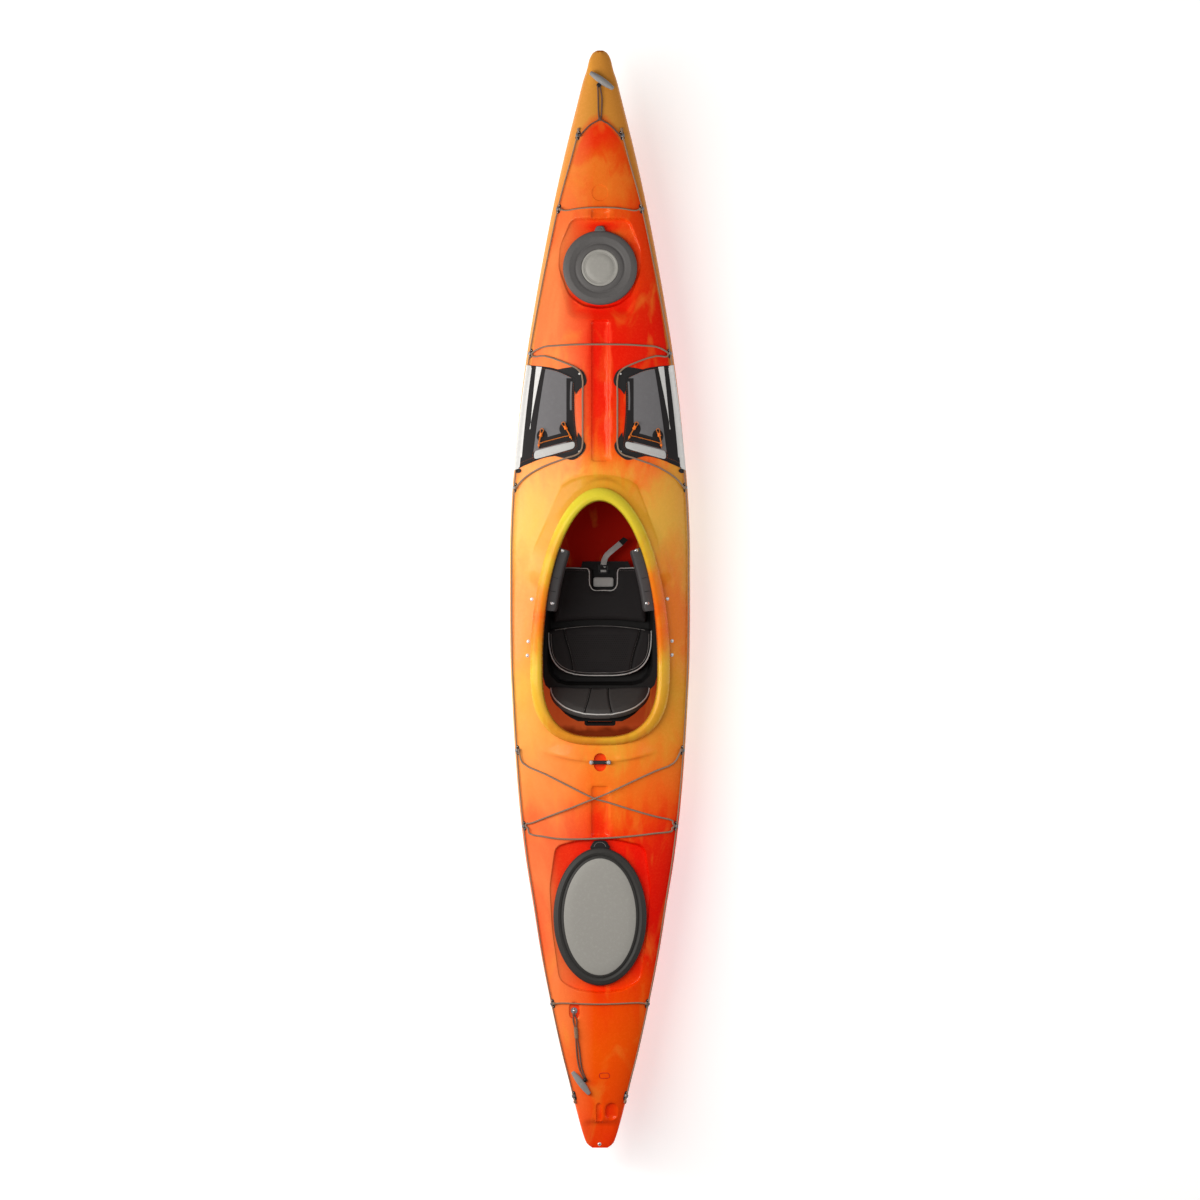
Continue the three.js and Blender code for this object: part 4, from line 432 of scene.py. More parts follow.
def bake(obj):
    """The object with its modifiers made into its mesh."""
    graph = bpy.context.evaluated_depsgraph_get()
    mesh = bpy.data.meshes.new_from_object(obj.evaluated_get(graph))
    obj.modifiers.clear()
    old = obj.data
    obj.data = mesh
    bpy.data.meshes.remove(old)
    return obj


def put(obj, body, slot, *nodes):
    """The piece rides on a body and stands for CAD nodes; the slot is not used."""
    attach(obj, body)
    if nodes:
        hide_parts(*nodes)
    return obj


# Plan outlines
def rounded(outline, radius, steps=5):
    """The outline with its corners rounded."""
    p = np.array(outline, float)
    made = []
    for i in range(len(p)):
        a, b, c = p[i - 1], p[i], p[(i + 1) % len(p)]
        back, ahead = a - b, c - b
        reach = min(radius, 0.45 * np.linalg.norm(back), 0.45 * np.linalg.norm(ahead))
        one = b + back / np.linalg.norm(back) * reach
        two = b + ahead / np.linalg.norm(ahead) * reach
        for n in range(steps + 1):
            t = n / steps
            made.append((1 - t) ** 2 * one + 2 * t * (1 - t) * b + t**2 * two)
    return np.array(made)


def spaced(outline, step):
    """A closed outline with points about this far apart."""
    p = np.concatenate([outline, outline[:1]])
    run = run_along(p)
    at = np.linspace(0, run[-1], max(int(run[-1] / step), 8), endpoint=False)
    return np.stack([np.interp(at, run, p[:, k]) for k in range(2)], 1)


def signed_area(p):
    q = np.roll(p, -1, 0)
    return 0.5 * float(np.sum(p[:, 0] * q[:, 1] - q[:, 0] * p[:, 1]))


def offset(outline, distance):
    """Each point moved outward; distance may be one for each point."""
    p = np.array(outline, float)
    run = np.roll(p, -1, 0) - np.roll(p, 1, 0)
    run /= np.linalg.norm(run, axis=1)[:, None]
    sign = 1 if signed_area(p) > 0 else -1
    normal = np.stack([run[:, 1], -run[:, 0]], 1) * sign
    return p + normal * np.reshape(distance, (-1, 1))


def signed_distance(points, outline):
    """Distance to a closed outline, negative inside."""
    a, b = outline, np.roll(outline, -1, 0)
    near = np.full(len(points), 1e9)
    inside = np.zeros(len(points), bool)
    for (ax, ay), (bx, by) in zip(a, b):
        ex, ey = bx - ax, by - ay
        px, py = points[:, 0] - ax, points[:, 1] - ay
        t = np.clip((px * ex + py * ey) / max(ex * ex + ey * ey, 1e-18), 0, 1)
        near = np.minimum(near, np.hypot(px - ex * t, py - ey * t))
        if ay != by:
            crosses = (ay > points[:, 1]) != (by > points[:, 1])
            inside ^= crosses & (px < ex * py / ey)
    return np.where(inside, -near, near)


def ellipse(spot, wide, long, count=120):
    angle = np.linspace(0, 2 * math.pi, count, endpoint=False)
    return np.stack([wide * np.cos(angle), spot + long * np.sin(angle)], 1)


def stadium(x, y, width, length, count=10):
    radius, run = width / 2, (length - width) / 2
    angle = np.linspace(0, math.pi, count)
    top = np.stack([x + radius * np.cos(angle), y + run + radius * np.sin(angle)], 1)
    low = np.stack([x - radius * np.cos(angle), y - run - radius * np.sin(angle)], 1)
    return np.concatenate([top, low])


def smooth_max(a, b, k):
    h = np.maximum(k - np.abs(a - b), 0) / k
    return np.maximum(a, b) + h * h * k / 4


def smooth_min(a, b, k):
    return -smooth_max(-a, -b, k)


def stacked(outline, profile):
    """Rings of a plan outline for pairs of how far in and how high."""
    return [[(x, y, z) for x, y in offset(outline, -inset)] for inset, z in profile]


def fade(value, low, high):
    """Nought below low, one above high, smooth between."""
    t = np.clip((value - low) / (high - low), 0, 1)
    return t * t * (3 - 2 * t)


# Cockpit shapes
def cockpit_point(angle, share):
    c, s = math.cos(angle), math.sin(angle)
    power = 2 / (2 if s >= 0 else 2.8)
    reach = FRONT + share * LIP_FRONT if s >= 0 else REAR + share * LIP_REAR
    return np.array([
        math.copysign(abs(c) ** power, c) * (HALF + share * LIP_SIDE),
        WIDEST + math.copysign(abs(s) ** power, s) * reach,
    ])


def rim_base(y):
    return HEIGHT * rim_at((y - WIDEST + REAR) / (FRONT + REAR))


def cockpit_share(x, y):
    """Share and angle of the cockpit outline through each point ahead of its widest place."""
    low, high = np.full(x.shape, -0.95), np.full(x.shape, 9.0)
    dy = np.maximum(y - WIDEST, 0)
    for _ in range(34):
        t = (low + high) / 2
        out = (x / (HALF + t * LIP_SIDE)) ** 2 + (dy / (FRONT + t * LIP_FRONT)) ** 2 > 1
        low, high = np.where(out, t, low), np.where(out, high, t)
    c = np.clip(np.abs(x) / (HALF + t * LIP_SIDE), 0, 1)
    s = np.clip(dy / (FRONT + t * LIP_FRONT), 0, 1)
    return t, np.arctan2(s, c)


arch_at = smooth([(0, 0.1), (0.24, 0.1), (0.9, -0.1), (1.35, -0.62), (1.5, -1.0), (2.0, -3.2), (6, -20)])


def widening(angle):
    """How much wider the arch is toward its corners."""
    return 1 + 1.4 * np.abs(np.sin(2 * angle))


def arch_height(x, y):
    """Top of the raised arch of the deck round the front of the coaming."""
    t, angle = cockpit_share(x, y)
    t = np.where(t > 1, 1 + (t - 1) / widening(angle), t)
    seen = fade(angle, math.radians(16), math.radians(32))
    return rim_base(WIDEST + np.sin(angle) * FRONT) + LIP_RISE * arch_at(t) - 0.04 * (1 - seen)


def crown_floor(x, y, depth):
    return float(deck_top(x, y)) - depth


RECESSES = [
    ("bow", rounded(BOW_WELL, 0.02), crown_floor(0, BOW_HATCH["y"], BOW_DEPTH), 26 / 60, 0.006),
    ("stern", rounded(STERN_WELL, 0.024), crown_floor(0, STERN_HATCH["y"], STERN_DEPTH), 20 / 60, 0.006),
    ("lock", stadium(0, LOCK_Y, 0.042, 0.062), crown_floor(0, LOCK_Y, 0.014), 0.05, 0.002),
    ("eye", stadium(*DECK_EYE, 0.032, 0.054), crown_floor(*DECK_EYE, DECK_EYE_DEPTH), 0.3, 0.003),
    ("slot", stadium(-0.004, -1.782, 0.015, 0.064), crown_floor(-0.004, -1.782, 0.006), 0.3, 0.002),
    ("scoop", stadium(0.042, -1.778, 0.04, 0.054), crown_floor(0.042, -1.778, 0.007), 0.5, 0.003),
    ("badge", ellipse(1.411, 0.028, 0.028, 48), crown_floor(0, 1.411, 0.002), 0.3, 0.001),
]


# Sloping facets round the aft half of the bow hatch
BOW_FACETS = [
    (-0.136, 1.18), (-0.139, 1.098), (-0.111, 0.99), (-0.092, 0.976), (0, 0.97), (0.094, 0.977), (0.113, 0.988),
    (0.139, 1.098), (0.136, 1.18),
]
FACET_DEPTH, FACET_WIDTH = 0.01, 0.03
ARCH_LIFT = 0.0022


def channel_outline(low, high):
    return np.array([(-CHANNEL_HALF, low), (CHANNEL_HALF, low), (CHANNEL_HALF, high), (-CHANNEL_HALF, high)])


def arch_mask(x, y, soft=0.006):
    """One inside the crease round the front of the cockpit, nought outside."""
    mask = np.zeros(x.shape)
    near = (y > 0.1) & (y < 0.46) & (np.abs(x) < 0.27)
    d = signed_distance(np.stack([x[near], y[near]], 1), np.array(ARCH_EDGE))
    mask[near] = fade(-d, -soft / 3, soft) * fade(y[near], 0.13, 0.2)
    return mask


def ledge_at(x):
    """Where the low ledge behind the coaming runs."""
    return -0.563 + 0.034 * np.clip(np.abs(x) / 0.2, 0, 1.3) ** 2


def deck_height(x, y):
    """Height of the moulded deck over the plan."""
    z = deck_top(x, y)
    near = (y > -0.25) & (y < 0.62)
    z[near] = smooth_max(z[near], arch_height(x[near], y[near]), 0.003)
    z = z + ARCH_LIFT * arch_mask(x, y)
    behind = y - ledge_at(x)
    swell = (0.0045 + 0.0035 * fade(np.abs(x), 0.045, 0.08)) * np.exp(-np.maximum(behind, 0) / 0.035)
    z = z + swell * fade(behind, -0.005, 0.004) * fade(-np.abs(x), -0.215, -0.12) * (y < -0.4)
    points = np.stack([x, y], 1)
    near = (np.abs(x) < 0.15) & (y > 0.95) & (y < 1.2)
    z[near] -= FACET_DEPTH * np.clip(-signed_distance(points[near], np.array(BOW_FACETS)) / FACET_WIDTH, 0, 1)
    for _, outline, floor, lean, soft in RECESSES:
        low, high = outline.min(0) - 0.04, outline.max(0) + 0.04
        near = np.all((points > low) & (points < high), axis=1)
        d = signed_distance(points[near], outline)
        well = smooth_max(np.full(d.shape, floor), floor + d / lean, soft)
        z[near] = smooth_min(z[near], well, soft)
    for low, high in CHANNELS:
        near = (np.abs(x) < 0.06) & (y > low - 0.03) & (y < high + 0.03)
        d = signed_distance(points[near], rounded(channel_outline(low, high), 0.004))
        floor = HEIGHT * crown_at(share_of(y[near])) - CHANNEL_DEPTH
        well = smooth_max(floor, floor + d / CHANNEL_LEAN, 0.003)
        z[near] = smooth_min(z[near], well, 0.003)
    step = PLATFORM_Z + np.maximum(y - PLATFORM_Y, 0) * 2.2
    return np.where(y < PLATFORM_Y + 0.03, smooth_min(z, step, 0.003), z)


# Materials
class Nodes:
    """Short calls for building a node tree."""

    def __init__(self, tree):
        self.tree = tree

    def feed(self, socket, value):
        """Links an output to the socket, or sets the socket to a plain value."""
        if isinstance(value, bpy.types.NodeSocket):
            self.tree.links.new(value, socket)
        else:
            socket.default_value = value

    def add(self, kind, inputs=(), **settings):
        node = self.tree.nodes.new(kind)
        for key, value in settings.items():
            setattr(node, key, value)
        for key, value in dict(inputs).items():
            self.feed(node.inputs[key], value)
        return node

    def math(self, operation, a, b=0.0):
        return self.add("ShaderNodeMath", {0: a, 1: b}, operation=operation).outputs[0]

    def times(self, a, b):
        return self.math("MULTIPLY", a, b)

    def plus(self, a, b):
        return self.math("ADD", a, b)

    def mix(self, factor, a, b, blend="MIX"):
        return self.add("ShaderNodeMix", {0: factor, 6: a, 7: b}, data_type="RGBA", blend_type=blend).outputs[2]

    def noise(self, vector, scale, detail=3.0, roughness=0.5, distortion=0.0):
        return self.add(
            "ShaderNodeTexNoise",
            {"Vector": vector, "Scale": scale, "Detail": detail, "Roughness": roughness, "Distortion": distortion},
        ).outputs[0]

    def ramp(self, factor, stops):
        node = self.add("ShaderNodeValToRGB", {0: factor})
        elements = node.color_ramp.elements
        while len(elements) < len(stops):
            elements.new(0.5)
        for element, (spot, colour) in zip(elements, stops):
            element.position = spot
            element.color = colour
        return node.outputs[0]

    def bump(self, height):
        return self.add("ShaderNodeBump", {"Height": height, "Distance": 1.0, "Strength": 1.0}).outputs[0]

    def split(self, vector):
        """The X and Y of a vector."""
        return self.add("ShaderNodeSeparateXYZ", {0: vector}).outputs[:2]

    def range(self, value, low, high, to_low=0.0, to_high=1.0):
        return self.add("ShaderNodeMapRange", {0: value, 1: low, 2: high, 3: to_low, 4: to_high}).outputs[0]


def rgb(text):
    """A linear colour from a six-digit code."""
    parts = [int(text[i : i + 2], 16) / 255 for i in (0, 2, 4)]
    return tuple((p / 12.92 if p <= 0.04045 else ((p + 0.055) / 1.055) ** 2.4) for p in parts) + (1.0,)


def begin_material(name):
    material = bpy.data.materials.new(name)
    material.use_nodes = True
    tree = material.node_tree
    tree.nodes.clear()
    nodes = Nodes(tree)
    shader = nodes.add("ShaderNodeBsdfPrincipled")
    out = nodes.add("ShaderNodeOutputMaterial")
    tree.links.new(shader.outputs[0], out.inputs[0])
    return material, nodes, shader


def wire(nodes, shader, **values):
    for key, value in values.items():
        nodes.feed(shader.inputs[key.replace("_", " ")], value)


def begin_group(name, kind, inputs, outputs):
    """A node group and its sockets, each a label, a type and at times a default."""
    tree = bpy.data.node_groups.new(name, kind)
    for way, sockets in (("INPUT", inputs), ("OUTPUT", outputs)):
        for label, type_, *default in sockets:
            socket = tree.interface.new_socket(name=label, in_out=way, socket_type="NodeSocket" + type_)
            if default:
                socket.default_value = default[0]
    nodes = Nodes(tree)
    return tree, nodes, nodes.add("NodeGroupInput").outputs, nodes.add("NodeGroupOutput").inputs


def use_group(nodes, tree, inputs):
    node = nodes.add("ShaderNodeGroup", node_tree=tree)
    for key, value in inputs.items():
        nodes.feed(node.inputs[key], value)
    return node


def object_place(nodes):
    return nodes.add("ShaderNodeTexCoord").outputs["Object"]


def grain_group():
    """Fine moulded grain: a normal and a mask of small scuffs."""
    if "Moulded grain" in bpy.data.node_groups:
        return bpy.data.node_groups["Moulded grain"]
    tree, n, start, end = begin_group(
        "Moulded grain", "ShaderNodeTree",
        [("Vector", "Vector"), ("Scale", "Float", 600.0), ("Height", "Float", 0.0002), ("Waves", "Float", 0.0006)],
        [("Normal", "Vector"), ("Scuffs", "Float")],
    )
    fine, slow = n.noise(start["Vector"], start["Scale"], 2.0), n.noise(start["Vector"], 14.0, 2.0)
    n.feed(end["Normal"], n.bump(n.plus(n.times(fine, start["Height"]), n.times(slow, start["Waves"]))))
    n.feed(end["Scuffs"], n.range(n.noise(start["Vector"], 90.0, 6.0, 0.65), 0.5, 0.75))
    return tree


BRAID_STRANDS, BRAID_PITCH = 4, 1.6
# Painted light: the inside glows by emission though no lamp lights it. The glow grows aft between the first two
# places along the boat, and a painted shadow of the coaming fades it out between the last two
GLOW_REACH, COAMING_SHADOW_REACH, GLOW_LEAST = (-0.1, -0.34), (-0.425, -0.445), 0.11

# Places on the colour run along the boat: millimetres ahead of the middle, colour
DECK_RUN = [
    (-1905, "f83804"), (-1737, "fc4a02"), (-1494, "ff5a00"), (-1355, "ff4a00"), (-1216, "f81a02"),
    (-1042, "f00a02"), (-869, "f42004"), (-782, "fc4408"), (-695, "ff701a"), (-556, "fa8426"),
    (-486, "f49c30"), (-347, "e8b83c"), (-243, "eaa434"), (-139, "ec8a20"), (0, "ea8420"),
    (104, "e8a636"), (208, "e6c046"), (347, "eabc44"), (417, "eeae3c"), (469, "f79030"), (538, "fa6818"),
    (625, "f83c0a"), (764, "f41c04"), (903, "f21602"), (1042, "f02a06"), (1181, "f23e0a"), (1320, "f2460c"),
    (1410, "f26418"), (1480, "f27a24"), (1540, "f0540e"), (1633, "f03208"),
]
# The peach is a painted sheen for the port side; the bow gold and the amber patches are the moulding's own colours
BOW_GOLD, PORT_SHEEN_PEACH, PATCH_AMBER = "d8923a", "ffa05c", "f6a83a"
# Painted shade: the ochre and brown over the arch round the cockpit, and the red that deepens the recesses
ARCH_SHADE_OCHRE, ARCH_SHADE_BROWN, RECESS_SHADE_RED = "d08c18", "a86a10", "ff6038"


def moulded_group(name, run, starboard_tint_and_shade):
    """Colour of the moulding: a run of colours along the boat with cloudy, swirled borders, a painted sheen on the
    deck's port side, and toward starboard a darkening that is partly the moulding's own tone and partly painted shade.
    """
    tree, n, start, end = begin_group(
        name, "ShaderNodeTree", [("Vector", "Vector"), ("Swirl", "Float", 0.09), ("Side", "Float", 0.35)],
        [("Color", "Color")],
    )
    vector = start["Vector"]
    x, y = n.split(vector)
    stretched = n.add("ShaderNodeMapping", {0: vector, "Scale": (1.6, 0.7, 1.0)}, vector_type="POINT").outputs[0]
    cloud = n.noise(stretched, 3.2, 4.0, 0.55, 0.8)
    wisps = n.noise(stretched, 11.0, 5.0, 0.6, 1.6)
    shift = n.plus(
        n.times(n.math("SUBTRACT", cloud, 0.5), n.times(start["Swirl"], 2.2)),
        n.times(n.math("SUBTRACT", wisps, 0.5), start["Swirl"]),
    )
    along = n.plus(n.range(y, -LENGTH / 2, LENGTH / 2), n.times(shift, 0.5))
    base = n.ramp(along, [((spot / 1000 + LENGTH / 2) / LENGTH, rgb(colour)) for spot, colour in run])
    if name == "Deck colours":
        reach = n.plus(n.plus(y, n.times(n.times(x, x), 15.0)), n.times(shift, 0.35))
        base = n.mix(n.range(reach, 1.655, 1.7), base, rgb(BOW_GOLD))
        # Painted sheen: the port half turns peach in cloudy patches, standing in for the key light's sheen on the port
        # slopes
        port_sheen = n.times(n.range(x, -0.02, -0.15), n.range(cloud, 0.3, 0.6, 0.3, 0.62))
        base = n.mix(port_sheen, base, rgb(PORT_SHEEN_PEACH))
    # Toward starboard the colour is multiplied darker: partly the moulding's own tone, partly painted shade for the
    # side turned from the key light
    deep = n.mix(n.times(n.range(x, -0.05, 0.28), start["Side"]), base, rgb(starboard_tint_and_shade), "MULTIPLY")
    patches = n.times(n.range(n.noise(stretched, 5.5, 3.0, 0.5, 1.2), 0.56, 0.74), 0.3)
    n.feed(end["Color"], n.mix(patches, deep, rgb(PATCH_AMBER)))
    return tree


def shaded_moulding(n, colour):
    """Painted light: recesses are multiplied toward a deeper red for the light they bounce, and painted shade in ochre
    and brown lies over the arch round the cockpit.
    """
    sunk, arch = (n.add("ShaderNodeAttribute", attribute_name=a).outputs["Fac"] for a in ("sunk", "arch"))
    # Painted shade over the arch: darker ochre inside its crease, and brown in the band just inside its front
    colour = n.mix(n.range(arch, 0, 1, 0, 0.62), colour, rgb(ARCH_SHADE_OCHRE))
    colour = n.mix(n.range(arch, 1, 2, 0, 0.7), colour, rgb(ARCH_SHADE_BROWN))
    # Painted shade: deeper places are multiplied toward red
    return n.mix(n.range(sunk, 0.001, 0.012, 0, 0.85), colour, rgb(RECESS_SHADE_RED), "MULTIPLY")


def moulded_material(name, group, run, starboard_tint_and_shade, rough=0.26, coat=0.1, level=0.32, glow=0.0):
    group = moulded_group(group, run, starboard_tint_and_shade)
    made, n, shader = begin_material(name)
    spot = object_place(n)
    colour = shaded_moulding(n, use_group(n, group, {"Vector": spot}).outputs[0])
    grain = use_group(n, grain_group(), {"Vector": spot, "Scale": 900.0, "Height": 0.00004, "Waves": 0.0006})
    wire(n, shader, Base_Color=colour, Normal=grain.outputs["Normal"], Coat_Weight=coat, Coat_Roughness=0.06)
    wire(n, shader, Roughness=n.range(grain.outputs["Scuffs"], 0, 1, rough, rough + 0.12))
    wire(n, shader, Specular_IOR_Level=level, Specular_Tint=(1, 0.5, 0.2, 1))
    if glow:
        # Painted light: emission in the inside's own colour, faded near the coaming by a wavy painted shadow
        y = n.split(spot)[1]
        lit = n.range(y, *GLOW_REACH, GLOW_LEAST, glow)
        shade = n.range(n.plus(y, n.times(n.noise(spot, 26.0, 2.0), 0.035)), *COAMING_SHADOW_REACH, 1, 0.1)
        wire(n, shader, Emission_Color=colour, Emission_Strength=n.times(lit, shade))
    return made


def plastic_material(name, colour, rough=0.4, grain=0.0001, specks=0.0, metal=0.0, scale=700.0):
    """Plain stuff with grain, scuffs and specks: plastic, rubber, webbing, cloth or metal."""
    made, n, shader = begin_material(name)
    spot = object_place(n)
    group = use_group(n, grain_group(), {"Vector": spot, "Scale": scale, "Height": grain, "Waves": 0.0})
    normal, scuffs = group.outputs
    wire(n, shader, Normal=normal, Metallic=metal, Specular_IOR_Level=0.3)
    wire(n, shader, Roughness=n.range(scuffs, 0, 1, rough, min(rough + 0.15, 1)))
    base = rgb(colour)
    lighter = tuple(min(c * 1.25 + 0.01, 1) for c in base[:3]) + (1.0,)
    if specks:
        base = n.mix(n.times(n.range(n.noise(spot, 1400.0, 1.0), 0.55, 0.72), specks), base, lighter)
    wire(n, shader, Base_Color=n.mix(n.times(scuffs, 0.5), base, lighter))
    return made


def braid_material(name, colour, fleck, amount=0.6):
    """Braided sheath over the tube's own UV map."""
    made, n, shader = begin_material(name)
    u, v = n.split(n.add("ShaderNodeUVMap", uv_map="UVMap").outputs[0])
    around, along = n.times(u, 2 * math.pi * BRAID_STRANDS), n.times(v, 2 * math.pi * BRAID_PITCH)
    one = n.math("SINE", n.plus(around, along))
    weave = n.math("MAXIMUM", one, n.math("SINE", n.math("SUBTRACT", around, along)))
    spiral = n.math("SINE", n.plus(n.times(u, 2 * math.pi), along))
    tracer = n.times(n.range(spiral, 0.55, 0.8), n.range(one, -0.2, 0.3))
    # Painted shade: the sheath is darker where its strands dip between each other
    dark = tuple(c * 0.35 for c in rgb(colour)[:3]) + (1.0,)
    base = n.mix(n.range(weave, -0.6, 0.9), dark, rgb(colour))
    wire(n, shader, Base_Color=n.mix(n.times(tracer, amount), base, rgb(fleck)), Roughness=0.75)
    wire(n, shader, Normal=n.bump(n.times(weave, 0.00025)))
    return made


COAMING_RUN = [
    (-500, "dc8a26"), (-430, "e0a630"), (-250, "e2b834"), (-160, "ea8e22"), (-60, "f06a14"), (40, "e8881e"),
    (120, "dcaa2c"), (260, "dcc834"), (400, "dccc3a"),
]
INNER_RUN = [(-1905, "b83a14"), (-480, "c05428"), (-330, "b84a20"), (-120, "a01008"), (1905, "960a04")]

# Mouldings: name, name of the colours, run, starboard tint and shade, roughness, coat, specular level, glow
MOULDINGS = {
    "deck": ("Moulded deck", "Deck colours", DECK_RUN, "e04a3a"),
    "coaming": ("Moulded coaming", "Coaming colours", COAMING_RUN, "e0a060", 0.25),
    "inside": ("Moulded inside", "Inside colours", INNER_RUN, "d06040", 0.6, 0.0, 0.1, 0.5175),
}
# Plain stuff: name, colour, roughness, height of the grain, specks, metal, scale of the grain
PLASTICS = {
    "rubber": ("Hatch rubber", "575453", 0.55, 0.00012, 0.25),
    "panel": ("Hatch panel", "98958f", 0.5, 0.00008, 0.5),
    "black": ("Black plastic", "1b191a", 0.45, 0.0001, 0.2),
    "stamp": ("Stamped ring", "c81e04", 0.4),
    "pan": ("Seat pan plastic", "0c0b0b", 0.7, 0.0001, 0.2),
    "fabric": ("Seat fabric", "201e1f", 0.85, 0.0004, 0.5, 0, 900),
    "foam": ("Closed foam", "2c2b2d", 0.9, 0.0006, 0.5, 0, 250),
    "grey": ("Grey webbing", "aeacaa", 0.8, 0.0003, 0.4, 0, 1200),
    "steel": ("Fitting steel", "c9c9cb", 0.22, 0.00002, 0, 1),
    "alloy": ("Rail alloy", "a9abae", 0.35, 0.00005, 0, 1),
    "toggle": ("Toggle grip", "8d8a89", 0.5, 0.00012, 0.2),
    "orange": ("Orange plastic", "f07414", 0.35),
    "mesh": ("Pocket mesh", "6e6c6e", 0.85, 0.0004, 0.6, 0, 900),
    "bridge": ("Eye bridge", "7a797b", 0.3, 0.00004, 0, 0.6),
    "pale": ("Pale trim", "d4d2ce", 0.5, 0.00005),
    "dark_rubber": ("Dark rubber", "32302e", 0.55, 0.00012, 0.25),
    "reflective": ("Reflective strip", "d4d2d0", 0.55, 0.0001, 0.4, 0, 1600),
    "silver": ("Silver strip", "b9b8b6", 0.5, 0.00015, 0.6, 0, 1400),
    "binding": ("Black webbing", "1c191a", 0.8, 0.0003, 0.4, 0, 1300),
    "leaf": ("Corner patch", "171415", 0.6, 0.0002, 0.3, 0, 1100),
    "orange_thread": ("Orange thread", "c8642c", 0.8, 0.0001),
    "piping": ("Seat piping", "b9b7b5", 0.6, 0.00015, 0.4, 0, 1500),
    "seam": ("Seat thread", "7d7a78", 0.8, 0.0001),
    # Near-black pieces laid in holes, seam grooves and slots: painted shade for the dark inside them
    "hole": ("Painted hole shade", "070606", 0.9, 0.0),
    "back_fabric": ("Back fabric", "3d3a39", 0.8, 0.0003, 0.35, 0, 1100),
    "brace": ("Brace plastic", "3f3d3e", 0.5, 0.00012, 0.25),
}
# Braids: name, colour, colour of the tracer, and how much of it
BRAIDS = {
    "cord": ("Tan cord", "b08c70", "4a382c"),
    "bungee": ("Shock cord", "a88a72", "4a3a30"),
    "dark_cord": ("Toggle cord", "7a5848", "2a1e18"),
    "orange_cord": ("Orange cord", "f08018", "a84808", 0.5),
}
_made = {}


def floor_material():
    made, n, shader = begin_material("Studio floor")
    shade = n.range(n.noise(object_place(n), 3.0), 0.3, 0.7, 0.9, 0.92)
    colour = n.add("ShaderNodeCombineColor", {0: shade, 1: shade, 2: shade}).outputs[0]
    wire(n, shader, Base_Color=colour, Roughness=0.9, Emission_Color=(1, 1, 1, 1), Emission_Strength=0.45)
    return made


def material(name):
    """The named material, made when first wanted."""
    if name == "floor" and name not in _made:
        _made[name] = floor_material()
    if name not in _made:
        for build, table in ((moulded_material, MOULDINGS), (plastic_material, PLASTICS), (braid_material, BRAIDS)):
            if name in table:
                _made[name] = build(*table[name])
    return _made[name]


# Cords
def over(route, lift, refine=6):
    plan = spline(route, refine)
    return [on_deck(x, y, lift) for x, y in plan]


def line_at(side, share):
    y = LENGTH * (0.5 - share)
    return on_deck(side * float(half_at(y) * eye_at(share)), y, LINE_LIFT)


def eye_frame(side, index):
    """Axes of a pad eye: across, along the boat, up, and its foot."""
    share, u = EYES[index]
    y = LENGTH * (0.5 - share)
    x = side * float(half_at(y)) * u
    step = EYE_LENGTH / LENGTH / 4
    along = (line_at(side, share - step) - line_at(side, share + step)).normalized()
    across = along.cross(normal_at(x, y)).normalized()
    up = across.cross(along).normalized()
    return moved(on_deck(x, y, CLEAR)) @ axes(across, along, up)


def beside(side, index, inboard, along, up):
    return eye_frame(side, index) @ Vector((-side * inboard, along, up))


def nested_beside(radius):
    up = EYE_BASE + CLEAR + radius
    reach = EYE_BORE + EYE_BRIDGE + CLEAR + radius
    return up, math.sqrt(reach**2 - (up - EYE_AXIS) ** 2)


def knot_beside(side, index, along=0.0):
    up, inboard = nested_beside(KNOT)
    return beside(side, index, inboard, along, up)


def turn_beside(side, index):
    up, inboard = nested_beside(BUNGEE)
    reach = 3 * BUNGEE
    return [
        beside(side, index, inboard + reach, -reach, up), beside(side, index, inboard, 0, up),
        beside(side, index, inboard + reach, reach, up),
    ]


def mirrored(route):
    return [(-x, y) for x, y in reversed(route)]


def run_length(points):
    p = np.array([tuple(q) for q in points], float)
    return float(np.linalg.norm(np.diff(p, axis=0), axis=1).sum())


def rounded_run(points, steps=3):
    """A fine line through points, with no step shorter than a millimetre."""
    fine = spline(points, steps)
    kept = [fine[0]]
    for point in fine[1:]:
        if np.linalg.norm(point - kept[-1]) > 0.001:
            kept.append(point)
    return kept


KNOT_TURNS = 2.4


def knot(name, centre, radius, along, look):
    """An overhand knot: a short coil of cord pulled tight."""
    way = Vector(along).normalized()
    side = way.orthogonal().normalized()
    up = way.cross(side)
    points = []
    for i in range(40):
        t = i / 39
        angle = 2 * math.pi * (KNOT_TURNS * t)
        reach = radius * 0.52 * (0.75 + 0.25 * math.sin(math.pi * t))
        around = side * math.cos(angle) + up * math.sin(angle)
        points.append(Vector(centre) + way * (t - 0.5) * radius * 1.7 + around * reach)
    return tube(name, points, radius * 0.46, look, 8)


def say_cord(points, radius, far_end):
    """Works out a free cord's first point, length and points, and keeps none of them."""
    tuple(points[0])
    round(run_length(points), 4)
    [tuple(p) for p in points]


def lay_cord(name, points, radius, look, knots):
    """A deck line along points, with its knots as separate pieces."""
    obj = put(tube(name, points, radius, look), "kayak", "tan_cord", name)
    pieces = [
        put(knot(f"{name}_knot_{i + 1}", centre, size, along, look), "kayak", "tan_cord")
        for i, (centre, size, along) in enumerate(knots)
    ]
    say_cord(points, radius, "object")


def perimeter_points(side):
    reach = EYE_LENGTH / 2 / LENGTH
    shares = np.linspace(EYES[0][0] - reach, EYES[-1][0] + reach, 150)
    return [line_at(side, float(s)) for s in shares]


